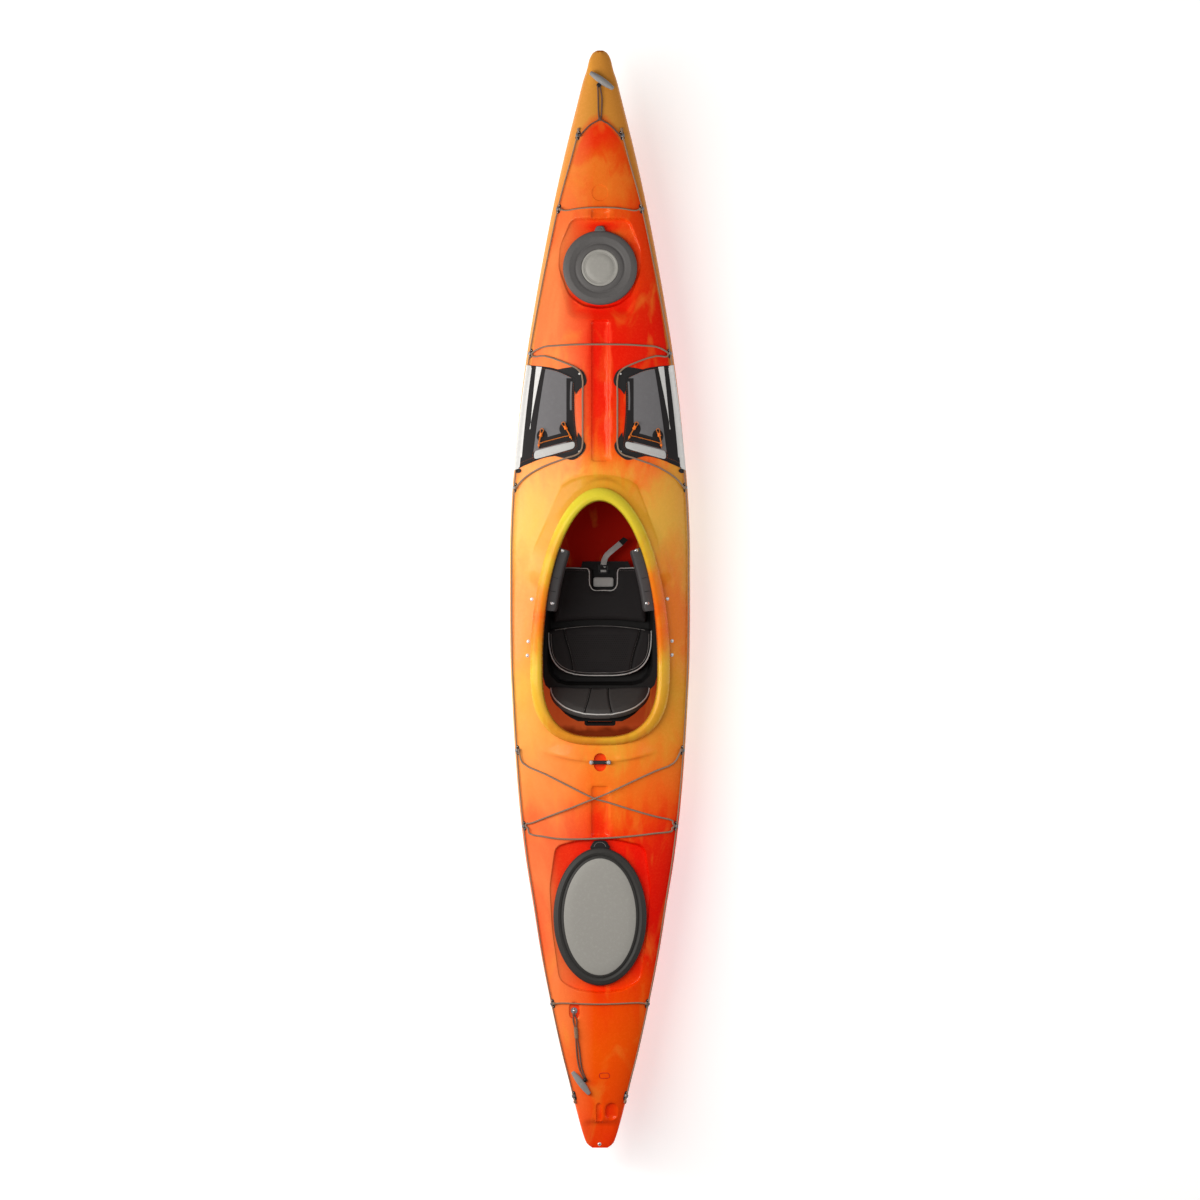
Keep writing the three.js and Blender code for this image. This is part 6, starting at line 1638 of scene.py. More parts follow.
def toggle_grip(name, toggle_place):
    """A turned spindle with finger grooves near its ends."""
    half = TOGGLE_LENGTH / 2
    profile = [(0, -half), (TOGGLE_END * 0.72, -half), (TOGGLE_END * 0.95, -half + 0.001)]
    for t in np.linspace(-0.965, 0.965, 70):
        swell = TOGGLE_END + (TOGGLE_R - TOGGLE_END) * math.cos(math.pi / 2 * t) ** 0.9
        groove = sum(0.0007 * math.exp(-(((abs(t) - spot) / 0.017) ** 2)) for spot in (0.62, 0.7, 0.78, 0.86))
        waist = 0.0006 * math.exp(-((t / 0.05) ** 2))
        profile.append((swell - groove - waist, t * half))
    profile += [(TOGGLE_END * 0.95, half - 0.001), (TOGGLE_END * 0.72, half), (0, half)]
    grip = lathe(name, profile, "toggle", 28, 60)
    angle = math.radians(toggle_place[2])
    x, y = toggle_place[:2]
    centre = (x, y, float(deck_top(x, y)) + TOGGLE_R + 3 * CLEAR)
    return place(grip, turned_to(centre, (math.cos(angle), math.sin(angle), 0)))


def stopper(name, toggle_place, way):
    """The barrel that gathers both strands against the toggle."""
    centre, away = stopper_spot(toggle_place, way)
    half = STOP_LENGTH / 2
    made = lathe(name, [
        (0, -half), (STOP_R * 0.7, -half), (STOP_R * 0.93, -half + 0.001), (STOP_R, -half * 0.55), (STOP_R, half * 0.1),
        (STOP_R * 0.86, half * 0.2), (STOP_R * 0.86, half * 0.45), (STOP_R, half * 0.55), (STOP_R * 0.93, half - 0.001),
        (STOP_R * 0.7, half), (0, half),
    ], "black", 24)
    return place(made, turned_to(centre, away))


def toggle_cord(end, name, side, points):
    """One strand of a carry loop; the port one stands for the CAD's cord."""
    node, far_end = ([f"{end}_toggle_cord"], "fitting") if side < 0 else ([], "object")
    obj = put(tube(f"{end}_{name}_strand", points, CORD, "dark_cord"), f"{end}_carry_loop", "tan_cord", *node)
    say_cord(points, CORD, far_end)


def build_toggles():
    for name, spot in (("bow", BOW_TOGGLE), ("stern", STERN_TOGGLE)):
        put(toggle_grip(f"{name}_grip", spot), f"{name}_carry_loop", "toggle_plastic", f"{name}_toggle")
    stop, _ = stopper_spot(BOW_TOGGLE, 1)
    meet = on_deck(0, 1.666, STRAND_GAP * 0.8 + 2 * CLEAR)
    body = "bow_carry_loop"
    shared = [
        put(knot("bow_strand_knot", meet, STRAND_GAP * 0.8, (0, 1, 0), "dark_cord"), body, "tan_cord"),
        put(stopper("bow_stopper", BOW_TOGGLE, 1), body, "toggle_plastic"),
    ]
    for name, side in SIDES:
        start = knot_beside(side, 0, 0.0025)
        run = [on_deck(side * x, y, 2 * CORD + up) for x, y, up in BOW_STRAND]
        points = rounded_run([start, *run, stop + Vector((side * 0.0034, 0, 0))], 5)
        end = put(knot(f"bow_{name}_end_knot", start, KNOT, (0, 1, 0), "dark_cord"), body, "tan_cord")
        toggle_cord("bow", name, side, points)
    body = "stern_carry_loop"
    stop, _ = stopper_spot(STERN_TOGGLE, -1)
    base = crown_floor(*DECK_EYE, DECK_EYE_DEPTH) + CLEAR
    top = Vector((*DECK_EYE, base + 0.011))
    eye = top + Vector((0, -0.01385, 0))
    wrap_from, wrap_to = on_deck(-0.083, -1.486, 0.0078), on_deck(-0.08, -1.522, 0.0078)
    axis = (wrap_to - wrap_from).normalized()
    side_way = axis.cross(Vector((0, 0, 1))).normalized()
    up = side_way.cross(axis)
    coil = []
    for i in range(150):
        t = i / 149
        angle = 2 * math.pi * WRAP_TURNS * t
        coil.append(wrap_from.lerp(wrap_to, t) + (side_way * math.cos(angle) + up * math.sin(angle)) * WRAP_RADIUS)
    shared = [
        put(tube("stern_wrapped_knot", coil, 0.0021, "cord", 8), body, "tan_cord"),
        put(stopper("stern_stopper", STERN_TOGGLE, -1), body, "toggle_plastic"),
        put(knot("stern_eye_knot", eye, KNOT, (1, 0, 0), "dark_cord"), body, "tan_cord"),
    ]
    for name, side in SIDES:
        shift = Vector((side * 0.0026, 0, 0))
        first, *rest = (on_deck(x + side * apart, y, 2 * CORD) for x, apart, y in STERN_STRAND)
        points = rounded_run([eye + shift * 0.6, first, wrap_from + shift, wrap_to + shift, *rest, stop + shift], 5)
        toggle_cord("stern", name, side, points)
    ring = [top + Vector((0, 0.0065 * math.cos(t), 0.0065 * math.sin(t))) for t in np.linspace(0, 2 * math.pi, 40)]
    plate = place(lathe("plate", EYE_FOOT, "steel", 36), moved((*DECK_EYE, base)))
    deck_eye = merge("sunk_deck_eye", [tube("ring", ring, 0.002, "steel", 12), plate])
    put(deck_eye, "kayak", "fitting_steel", "stern_deck_eye")


# Lock bar
def build_lock_bar():
    reach = 0.03
    foot = float(deck_top(reach - 0.008, LOCK_Y)) + 2 * CLEAR
    low = foot + 0.007
    outline = [(y, x + LOCK_Y) for x, y in stadium(0, 0, 0.013, 0.076, 12)]
    rings = stacked(outline, ((0.0008, low), (0, low + 0.0008), (0, low + 0.0038), (0.0012, low + 0.005)))
    put(shell("lock_bar_plate", rings, "black"), "kayak", "fitting_steel", "lock_bar")
    posts = [moved((side * reach, LOCK_Y, foot)) for side in (-1, 1)]
    post = lathe("post", [(0, 0), (0.008, 0), (0.008, 0.0068), (0, 0.0068)], sides=24)
    put(scatter("lock_bar_posts", post, posts, "steel"), "kayak", "fitting_steel")
    head = lathe("head", [(0, 0), (0.008, 0), (0.008, 0.0022), (0.0068, 0.0034), (0, 0.0036)], "", 6, 20)
    heads = [moved((side * reach, LOCK_Y, low + 0.005)) @ Matrix.Rotation(0.3 * side, 4, "Z") for side in (-1, 1)]
    put(scatter("lock_bar_bolts", head, heads, "steel"), "kayak", "fitting_steel")
    centre = np.array([0.0151, -1.6531])
    mark = centre + (stadium(*centre, 0.0185, 0.036, 14) - centre)[:, ::-1]
    put(hoop("stamped_ring", lifted(mark, 0.0002), 0.0013, "stamp", 6), "kayak", "deck")


# Deck pockets: layers of mesh, webbing and binding, in plan coordinates of the port side
LAYER_LIFT = 0.0017
FORE_LEAF = (
    [(-0.148, 0.7985), (-0.1084, 0.8056), (-0.0855, 0.8064), (-0.0604, 0.7935), (-0.05, 0.7757), (-0.0466, 0.758),
     (-0.0518, 0.744), (-0.07, 0.73), (-0.084, 0.712)],
    [(-0.148, 0.7985), (-0.126, 0.7865), (-0.106, 0.779), (-0.093, 0.764), (-0.09, 0.738), (-0.084, 0.712)],
)
AFT_LEAF = (
    [(-0.076, 0.58), (-0.0604, 0.556), (-0.05, 0.5381), (-0.0518, 0.5219), (-0.0604, 0.5076), (-0.076, 0.4937),
     (-0.095, 0.485), (-0.124, 0.491), (-0.156, 0.499)],
    [(-0.076, 0.58), (-0.082, 0.55), (-0.088, 0.526), (-0.115, 0.512), (-0.156, 0.499)],
)
LOCK_PANEL = [(-0.198, 0.56), (-0.1181, 0.582), (-0.0973, 0.5541), (-0.2154, 0.5228)]
SILVER = [(-0.2286, 0.5159), (-0.0868, 0.5506), (-0.0861, 0.5263), (-0.2293, 0.4864)]
FORE_EDGE = smooth([
    (-0.262, 0.8158), (-0.2519, 0.815), (-0.1813, 0.8066), (-0.1535, 0.8), (-0.1174, 0.7847), (-0.0858, 0.7681),
])
AFT_EDGE = smooth([
    (-0.298, 0.447), (-0.2922, 0.4495), (-0.2699, 0.4634), (-0.2505, 0.4718), (-0.2227, 0.4829), (-0.1813, 0.4954),
    (-0.148, 0.4996), (-0.0705, 0.505),
])
STUDS = [(-0.0712, 0.7834), (-0.0712, 0.5141)]


def pocket_point(u, v):
    """Plan of the port pocket: u runs inboard from its outer edge, v aft from its fore edge."""
    fore = np.array([-0.24 + 0.154 * u, 0.0])
    aft = np.array([-0.281 + 0.211 * u, 0.0])
    fore[1], aft[1] = FORE_EDGE(fore[0]), AFT_EDGE(aft[0])
    x, y = fore * (1 - v) + aft * v
    return x - 0.01 * 4 * v * (1 - v) * u, y


def strip_beside(start, end, columns=9):
    """Plan grid of a band that follows the perimeter line; start and end say how far inboard, fore to aft."""
    made = []
    for v in np.linspace(0, 1, 90):
        row = []
        for t in np.linspace(0, 1, columns):
            inboard = start(v) * (1 - t) + end(v) * t
            y0 = float(FORE_EDGE(beside_line(0.81, inboard)[0]))
            y1 = float(AFT_EDGE(beside_line(0.46, inboard)[0]))
            row.append(beside_line(y0 + (y1 - y0) * v, inboard))
        made.append(row)
    return np.array(made)


def beside_line(y, inboard):
    """Plan point this far inboard of the port perimeter line."""
    return -(float(half_at(y) * eye_at(share_of(y))) - inboard), y


def flipped(plan, side):
    plan = np.array(plan, float)
    plan[..., 0] *= -side
    return plan


def between(first, second, columns=5):
    """Rows of plan points from one edge line to another."""
    first, second = np.array(first, float), np.array(second, float)
    t = np.linspace(0, 1, columns)[None, :, None]
    return first[:, None, :] * (1 - t) + second[:, None, :] * t


def build_pockets():
    for name, side in SIDES:
        rows = np.linspace(0, 1, 70)
        plan = flipped([[pocket_point(u, v) for u in np.linspace(0, 1, 44)] for v in rows], side)
        base = put(draped(f"{name}_pocket_mesh", plan, POCKET_LIFT, 0.001, "mesh"), "kayak", "pocket_mesh",
                   f"{name}_deck_pocket")

        def layer(made):
            put(made, "kayak", "pocket_mesh")

        def cloth(part, rows_of, thick, look, lift=LAYER_LIFT):
            layer(draped(f"{name}_pocket_{part}", flipped(rows_of, side), lift, thick, look))

        def hem(part, line):
            layer(tube(f"{name}_pocket_{part}_hem", lifted(flipped(line, side), 0.0028), 0.0011, "binding", 8))

        def seam(line, lift=0.003):
            return lifted(flipped(line, side), lift)

        wide = lambda v: 0.013 + 0.003 * v
        run = np.linspace(0, 1, 15)[None, :] * (wide(np.linspace(0, 1, 90)) + 0.0068)[:, None] - 0.0068
        over_line = 0.0018 + 0.0072 * np.exp(-((run / 0.0052) ** 2))
        cloth("sleeve", strip_beside(lambda v: -0.0068, wide, 15), 0.0009, "reflective", over_line)
        cloth("webbing", strip_beside(lambda v: wide(v) - 0.001, lambda v: 0.06 - 0.008 * v), 0.0011, "binding")
        sliver = strip_beside(lambda v: 0.027 + 0.012 * v, lambda v: 0.047 - 0.0125 * v / 0.65 - 0.004 * v, 3)
        cloth("sliver", sliver[:58], 0.0014, "reflective", LAYER_LIFT + 0.0003)
        edge = [pocket_point(1.0, v) for v in rows]
        cloth("inner_band", between([(min(x - 0.012, -0.116), y) for x, y in edge], edge, 9), 0.0011, "binding")
        stripe = between([(x - 0.0145, y) for x, y in edge], [(x - 0.0085, y) for x, y in edge], 3)[3:30]
        cloth("stripe", stripe, 0.0012, "mesh", LAYER_LIFT + 0.0003)
        us = np.linspace(0, 1, 40)
        for part, v, deep in (("fore", 0.0, 0.02), ("aft", 1.0, -0.1)):
            first, last, middle = ([pocket_point(u, v + d) for u in us] for d in (0, deep, deep * 0.06))
            cloth(f"{part}_band", between(first, last), 0.0012, "binding")
            hem(part, middle)
        hem("inner", [pocket_point(0.996, v) for v in rows])
        silver = rounded(SILVER, 0.012, 4)
        for part, outline, up, look in (
            ("lock_panel", rounded(LOCK_PANEL, 0.008, 3), 0.0011, "binding"),
            ("outer_round", ellipse(0.569, 0.019, 0.022, 24) + (-0.1998, 0), 0.0012, "binding"),
            ("inner_round", ellipse(0.593, 0.019, 0.022, 24) + (-0.1216, 0), 0.0012, "binding"),
            ("silver", silver, 0.0015, "silver"),
            ("aft_corner", ellipse(0.449, 0.011, 0.008, 20) + (-0.2835, 0), 0.0016, "leaf"),
        ):
            layer(leaf(f"{name}_pocket_{part}", flipped(outline, side), LAYER_LIFT, up, look))
        for part, (outer, inner) in (("fore_leaf", FORE_LEAF), ("aft_leaf", AFT_LEAF)):
            layer(crescent(f"{name}_pocket_{part}", side, outer, inner, LAYER_LIFT, 0.0016, "leaf"))
        inset = spaced(spline([(x, y, 0) for x, y in offset(silver, 0.0035)], 2, True)[:, :2], 0.003)
        seams = [
            seam(inset, 0.0031), seam([pocket_point(u, 0.022) for u in np.linspace(0.1, 0.9, 40)]),
            seam([pocket_point(u, 0.955) for u in np.linspace(0.02, 0.9, 40)]),
            seam([(x - 0.004, y) for x, y in edge[5:-5]]),
        ]
        layer(stitches(f"{name}_pocket_stitches", seams, "orange_thread", 0.0075, 0.0042, 0.0008))
        cut = lifted(plan, POCKET_LIFT)
        flat = (max(run_length(row) for row in cut), max(run_length(cut[:, i]) for i in range(cut.shape[1])))
        studs = [over_deck(-side * x, y, 0.0033) for x, y in STUDS]
        stud = lathe("stud", [(0, 0), (0.0036, 0), (0.0033, 0.0005), (0.002, 0.0007), (0, 0.00072)], "", 20)
        put(scatter(f"{name}_pocket_studs", stud, studs, "pale"), "kayak", "fitting_steel")


# Draw cords and their locks
BEAD = [
    (0, -0.0042), (0.0022, -0.0042), (0.0036, -0.0028), (0.0041, 0), (0.0036, 0.0028), (0.0022, 0.0042), (0, 0.0042),
]
LOCK_HALF = LOCK_LENGTH / 2
LOCK = [
    (0, -LOCK_HALF), (0.0042, -LOCK_HALF), (0.0056, -LOCK_HALF + 0.0008), (LOCK_R, -LOCK_HALF + 0.002),
    (LOCK_R, -LOCK_HALF * 0.3), (0.0052, -LOCK_HALF * 0.15), (0.0047, LOCK_HALF * 0.05), (0.0047, LOCK_HALF * 0.3),
    (0.0055, LOCK_HALF * 0.4), (0.0058, LOCK_HALF * 0.7), (0.005, LOCK_HALF - 0.0008), (0.0036, LOCK_HALF),
    (0, LOCK_HALF),
]


def draw_leg(side, low, high):
    """One leg of a draw cord: its sewn end, where it bends down, where its lock stands, and its axis."""
    low, high = np.array(low), np.array(high)
    bend = high + (low - high) * (LOCK_TRAVEL + LOCK_LENGTH * 0.8) / np.linalg.norm(low - high)
    top = POCKET_LIFT + POCKET_THICK
    ride = top + 2 * CLEAR + LOCK_R
    low, bend, high = (
        on_deck(-side * p[0], p[1], up) for p, up in ((low, top + CLEAR + DRAW), (bend, ride), (high, ride))
    )
    return low, bend, high, (high - bend).normalized()


def looped_leg(leg, inboard):
    """Up through the lock, round a loop and back beside itself."""
    low, bend, high, axis = leg
    gap, loop = 0.0017, 0.0058
    centre = high + axis * (LOCK_LENGTH / 2 + 0.0085)
    up = [low, bend - inboard * gap, high - inboard * gap]
    turn = [
        centre - inboard * loop * math.cos(t) + axis * loop * math.sin(t) for t in np.linspace(-0.5, math.pi + 0.5, 9)
    ]
    return [*up, *turn, high + inboard * gap, bend + inboard * gap]


def build_draw_cords():
    for name, side in SIDES:
        outer, inner = draw_leg(side, *DRAW_PLACES[:2]), draw_leg(side, *DRAW_PLACES[:1:-1])
        across = (inner[2] - outer[2]).normalized()
        first = looped_leg(outer, (across - outer[3] * across.dot(outer[3])).normalized())
        second = looped_leg(inner, (inner[3] * across.dot(inner[3]) - across).normalized())[::-1]
        middle = [
            first[-1].lerp(second[0], t) + Vector((0, 0, -0.0035 * math.sin(math.pi * t))) for t in (0.15, 0.5, 0.85)
        ]
        points = rounded_run([*first, *middle, *second], 4)
        cord = tube(f"{name}_draw_cord", points, DRAW, "orange_cord", 8)
        put(cord, "kayak", "orange_cord", f"{name}_pocket_cord")
        for part, leg in (("outer", outer), ("inner", inner)):
            low, bend, high, axis = leg
            bead = place(lathe(f"{name}_{part}_bead", BEAD, "orange", 16), turned_to(bend.lerp(low, 0.45), bend - low))
            put(bead, "kayak", "orange_plastic")
            lock = place(lathe(f"{name}_{part}_toggle_lock", LOCK, "orange", 20), turned_to(high, axis))
            put(lock, f"{name}_{part}_lock", "orange_plastic", f"{name}_{part}_cord_lock")
        say_cord(points, DRAW, "object")


# Cushions
CUSHION_RISE = 0.05
REAR_LENGTH, REAR_START = 0.187, -0.079
LIFTER_HALF, LIFTER_START, LIFTER_FRONT = 0.168, -0.076, 0.116
BED = 0.05835
FOLD = 0.017
BACK_START, BACK_HEIGHT, BACK_THICK, BACK_LEAN = 0.0085, 0.2, 0.034, math.radians(32)
BACK_FOOT = (0, -0.317, 0.12)
BOLSTER = [(0.137, 0.012), (0.131, 0.05), (0.115, 0.1), (0.105, 0.145), (0.1005, 0.182)]
CLOTH_FRAMES = 20
CUSHION_INSET = 0.003


def blown(name, outline, thickness, swell, cap, look, edge=0.78):
    """A stuffed pad over a plan outline: voxel mesh, cloth under pressure, then one subdivision."""
    obj = shell(name, stacked(outline, (
        (0.007, 0.0015), (0.0015, 0.005), (0, 0.009), (0, thickness * (edge - 0.16)),
        (0.002, thickness * (edge - 0.06)), (0.007, thickness * edge),
    )), look)
    modify(obj, "TRIANGULATE")
    modify(obj, "REMESH", mode="VOXEL", voxel_size=0.0055)
    bake(obj)
    start = points_of(obj)
    inside = np.maximum(-signed_distance(start[:, :2], outline), 0)
    crown = np.clip(inside / swell, 0, 1)
    rise = thickness * (0.93 - edge) * np.sqrt(np.maximum(1 - (1 - crown) ** 2, 0))
    start[:, 2] += rise * fade(start[:, 2], 0.3 * thickness * edge, 0.85 * thickness * edge)
    obj.data.vertices.foreach_set("co", start.ravel())
    cloth = modify(obj, "CLOTH")
    cloth.settings.quality = 4
    cloth.settings.use_pressure = True
    cloth.settings.uniform_pressure_force = 4
    cloth.settings.effector_weights.gravity = 0
    cloth.point_cache.frame_end = CLOTH_FRAMES
    scene = bpy.context.scene
    for frame_number in range(1, CLOTH_FRAMES + 1):
        scene.frame_set(frame_number)
    bake(obj)
    scene.frame_set(1)
    puffed = points_of(obj)
    move = puffed - start
    far = np.linalg.norm(move, axis=1)
    start = start + move * np.minimum(1, cap / np.maximum(far, 1e-9))[:, None]
    start[:, 2] = np.clip(start[:, 2], 0.0006, thickness - 0.0012)
    obj.data.vertices.foreach_set("co", start.ravel())
    modify(obj, "SUBSURF", levels=1, render_levels=1)
    bake(obj)
    return obj


def carve(obj, line, width, depth):
    """Presses a sewn channel into the top of a pad."""
    points = points_of(obj)
    line = np.asarray(line, float)
    near = np.full(len(points), 1e9)
    for a, b in zip(line, line[1:]):
        run = b - a
        t = np.clip(((points[:, :2] - a) @ run) / (run @ run), 0, 1)
        near = np.minimum(near, np.linalg.norm(points[:, :2] - a - t[:, None] * run, axis=1))
    normals = np.array([tuple(v.normal) for v in obj.data.vertices])
    points[:, 2] -= depth * np.exp(-((near / width) ** 2)) * fade(normals[:, 2], 0.1, 0.6)
    obj.data.vertices.foreach_set("co", points.ravel())
    obj.data.update()


def top_of(obj):
    """Finds points on the top of a pad: plan x and y, and a lift."""
    tree = BVHTree.FromPolygons([v.co for v in obj.data.vertices], [tuple(p.vertices) for p in obj.data.polygons])

    def at(x, y, lift=0.0):
        hit, normal, _, _ = tree.ray_cast(Vector((x, y, 0.5)), Vector((0, 0, -1)))
        return (hit + normal * lift, normal) if hit else (None, None)

    return at


def over_top(at, line, lift):
    """A line laid over the top of a pad."""
    fine = spline([(x, y, 0) for x, y in line], 6)
    made = np.array([tuple(p) for p in (at(x, y, lift)[0] for x, y, _ in fine) if p is not None])
    if len(made) > 12:
        level = np.convolve(np.pad(made[:, 2], 6, mode="edge"), np.full(13, 1 / 13), mode="valid")
        made[:, 2] = np.maximum(level, made[:, 2] - 0.0006)
    return [Vector(p) for p in made]


def sewn(name, at, line, lift, radius, look, sides=8):
    """Piping or a seam laid over the top of a pad."""
    return tube(name, over_top(at, line, lift), radius, look, sides)


def reach_of(obj):
    """How far a pad really goes, sideways and along, once it is stuffed."""
    points = points_of(obj)
    return float(np.abs(points[:, 0]).max()), float(points[:, 1].max())


def bowl(half, start, length, power, count):
    """A U curve from one side round the far end to the other, squarer with a higher power."""
    made = []
    for t in np.linspace(0, math.pi, count):
        across, along = math.cos(t), math.sin(t) ** (2 / power)
        made.append((half * math.copysign(abs(across) ** (2 / power), across), start + (length - start) * along))
    return made


def finish_pad(obj, extras, matrix, body, node):
    """Places a pad with its trim, and lets it stand for its CAD node."""
    for piece in [obj, *extras]:
        place(piece, matrix)
    put(obj, body, "seat_fabric", node)
    for piece in extras:
        put(piece, body, "seat_fabric")


def fold_at(x):
    """How far the fold between seat and leg lifter bends along the boat."""
    return FOLD * (x / 0.17) ** 2


def softened(outline, radius=0.02, step=0.006):
    return spaced(rounded(outline, radius, 6), step)


def build_seat_cushion():
    rear = [(x, fold_at(x) + 0.003) for x in np.linspace(-0.168, 0.168, 24)]
    outline = softened([*rear, *bowl(0.192, 0.03, REAR_LENGTH + 0.011, 3.3, 70)], 0.01)
    obj = blown("seat_pad", offset(outline, -CUSHION_INSET), CUSHION_RISE, 0.05, 0.006, "fabric")
    bolsters = [[(side * x - 0.007, y) for x, y in BOLSTER] for side in (1, -1)]
    for line in bolsters:
        carve(obj, line, 0.0055, 0.0065)
    at = top_of(obj)
    half, far = reach_of(obj)
    behind = [(x, fold_at(x) + 0.0125) for x in np.linspace(-0.158, 0.158, 16)]
    inner = bowl(half - 0.012, 0.04, far - 0.0125, 3.2, 40)
    trim = [
        sewn("seat_piping", at, bowl(half - 0.004, 0.024, far - 0.004, 3.3, 40), 0.0008, 0.0023, "piping"),
        sewn("seat_inner_seam", at, inner, -0.0002, 0.0012, "seam", 6),
        sewn("seat_arc_seam", at, behind, 0.0003, 0.0012, "seam", 6),
        # Near-black tubes in the carved bolster seams: painted shade in the grooves
        *(sewn("bolster_seam", at, line, 0.0004, 0.0024, "hole") for line in bolsters),
    ]
    seams = [over_top(at, [(x * 0.965, y) for x, y in line], 0.0003) for line in bolsters]
    trim.append(stitches("seat_stitches", [s for s in seams if len(s) > 3], "seam"))
    holes = []
    for row in range(18):
        y = 0.045 + row * 0.0074
        for column in range(-13, 14):
            x = (column + 0.5 * (row % 2)) * 0.0078
            if abs(x) < 0.105 - 0.12 * (y - 0.045) * 0.9 and (abs(x) > 0.038 or y < 0.09 or y > 0.14):
                spot, normal = at(x, y, 0.0001)
                if spot is not None:
                    holes.append(moved(spot) @ normal.to_track_quat("Z", "Y").to_matrix().to_4x4())
    # Dark discs at the perforations: painted shade standing in for the holes
    dot = lathe("dot", [(0, -0.0003), (0.0015, -0.0003), (0.0015, 0.0001), (0, 0.00015)], "", 6)
    trim.append(scatter("seat_perforations", dot, holes, "hole"))
    turn = moved((0, REAR_START, BED)) @ Matrix.Rotation(math.pi, 4, "Z")
    finish_pad(obj, trim, turn, "kayak", "seat_cushion")


def build_lifter_cushion():
    length = LIFTER_FRONT - LIFTER_START
    half_of = lambda v: LIFTER_HALF * (1 - 0.12 * v**2)
    left, right, rear = -0.028, 0.052, 0.041 - LIFTER_START
    side = [(half_of(t), t * length) for t in np.linspace(0, 1, 24)]
    fold = [(x, -0.7 * fold_at(x)) for x in np.linspace(-0.165, 0.165, 20)]
    outline = [*fold, *side[1:], (right, length), (right, rear), (left, rear), (left, length),
               *[(-x, y) for x, y in side[:0:-1]]]
    outline = softened(outline, 0.014, 0.005)
    thick = CUSHION_RISE - 0.0045 - CLEAR
    obj = blown("lifter_pad", offset(outline, -CUSHION_INSET), thick, 0.045, 0.005, "fabric")
    at = top_of(obj)
    notch = [
        (-0.021, 0.1875), (-0.0115, 0.18), (-0.0095, 0.15), (-0.008, rear + 0.012), (0.004, rear - 0.006),
    ]
    lip = [
        (-0.142, 0.181), (-0.12, 0.1875), (-0.07, 0.187), *((left + x, y) for x, y in notch), (0.012, rear - 0.008),
        *((right - x, y) for x, y in notch[::-1]), (0.095, 0.187), (0.12, 0.1875), (0.142, 0.181),
    ]
    rows = [over_top(at, [(x, y - 0.008) for x, y in line], 0.0004) for line in (lip[:4], lip[-4:])]
    trim = [sewn("lifter_piping", at, lip, 0.0006, 0.0021, "piping"), stitches("lifter_stitches", rows, "seam")]
    u, v = np.meshgrid(np.linspace(-0.07, 0.112, 60), np.linspace(0, 0.03, 14))
    folds = 0.0035 * np.sin(u * 150 + 3 * np.sin(u * 47)) * np.sin(v / 0.03 * math.pi) + 0.01 - v * 0.25
    flap = np.stack([u * (1 - v * 4), length - 0.01 + v, folds], -1)
    trim.append(sheet_solid("lifter_ruffle", flap, flap + (0, 0, 0.0012), "fabric"))
    bed = BED + 0.0045 + CLEAR
    finish_pad(obj, trim, moved((0, LIFTER_START, bed)), "leg_lifter", "leg_lifter_cushion")


def back_frame():
    lean = BACK_LEAN
    turned = axes((-1, 0, 0), (0, -math.sin(lean), math.cos(lean)), (0, math.cos(lean), math.sin(lean)))
    return moved(BACK_FOOT) @ turned


def build_back_cushion():
    length = BACK_HEIGHT - BACK_START
    outline = softened(bowl(0.1845, 0, length + 0.003, 2.15, 90), 0.008)
    obj = blown("backrest_pad", offset(outline, -0.003), BACK_THICK, 0.055, 0.004, "back_fabric", 0.42)
    seams = [
        [(0.03, 0.006), (0.0345, 0.05), (0.042, 0.11), (0.055, 0.182)],
        [(-0.03, 0.006), (-0.029, 0.06), (-0.033, 0.12), (-0.042, 0.182)],
    ]
    for line in seams:
        carve(obj, line, 0.004, 0.0045)
    at = top_of(obj)
    half, far = reach_of(obj)
    around = [p for p in bowl(half - 0.0035, 0, far - 0.0035, 2.15, 60) if p[1] > 0.008]
    lines = [over_top(at, [(x * 1.05 + 0.001, y) for x, y in line], 0.0003) for line in seams]
    # Near-black tubes in the carved back seams: painted shade in the grooves
    grooves = [sewn("back_seam", at, line, 0.0002, 0.0019, "hole") for line in seams]
    trim = [
        sewn("backrest_piping", at, around, 0.0008, 0.0025, "piping"), *grooves,
        stitches("backrest_stitches", [line for line in lines if len(line) > 3], "seam"),
        merge("backrest_bartacks", [
            sewn("tack", at, [(x - 0.004, 0.012), (x + 0.004, 0.012)], 0.0006, 0.0011, "piping", 6)
            for x in (0.0305, -0.0305)
        ]),
    ]
    turned = back_frame() @ moved((0, BACK_START, CLEAR))
    finish_pad(obj, trim, turned, "backrest", "backrest_cushion")


def build_cushions():
    build_seat_cushion()
    build_lifter_cushion()
    build_back_cushion()


# Strap, buckle and grab tab of the leg lifter
STRAP_SECTION = [
    (-0.5, -0.28), (-0.48, -0.5), (0.48, -0.5), (0.5, -0.28), (0.5, 0.28), (0.48, 0.5), (-0.48, 0.5), (-0.5, 0.28),
]


# Top of the leg lifter's board, the buckle's place on it, and the strap's run from there
STRAP_BED, BUCKLE = 0.0632, (0.012, 0.108)
STRAP_RUN = [
    (0, -0.048, -0.001), (0, -0.028, 0.001), (0, -0.01, 0), (0, 0, 0), (0, 0.01, 0.0005), (0.002, 0.026, 0.006),
    (0.01, 0.046, 0.018), (0.028, 0.064, 0.021), (0.052, 0.084, 0.01), (0.068, 0.098, 0.001), (0.078, 0.108, -0.006),
]
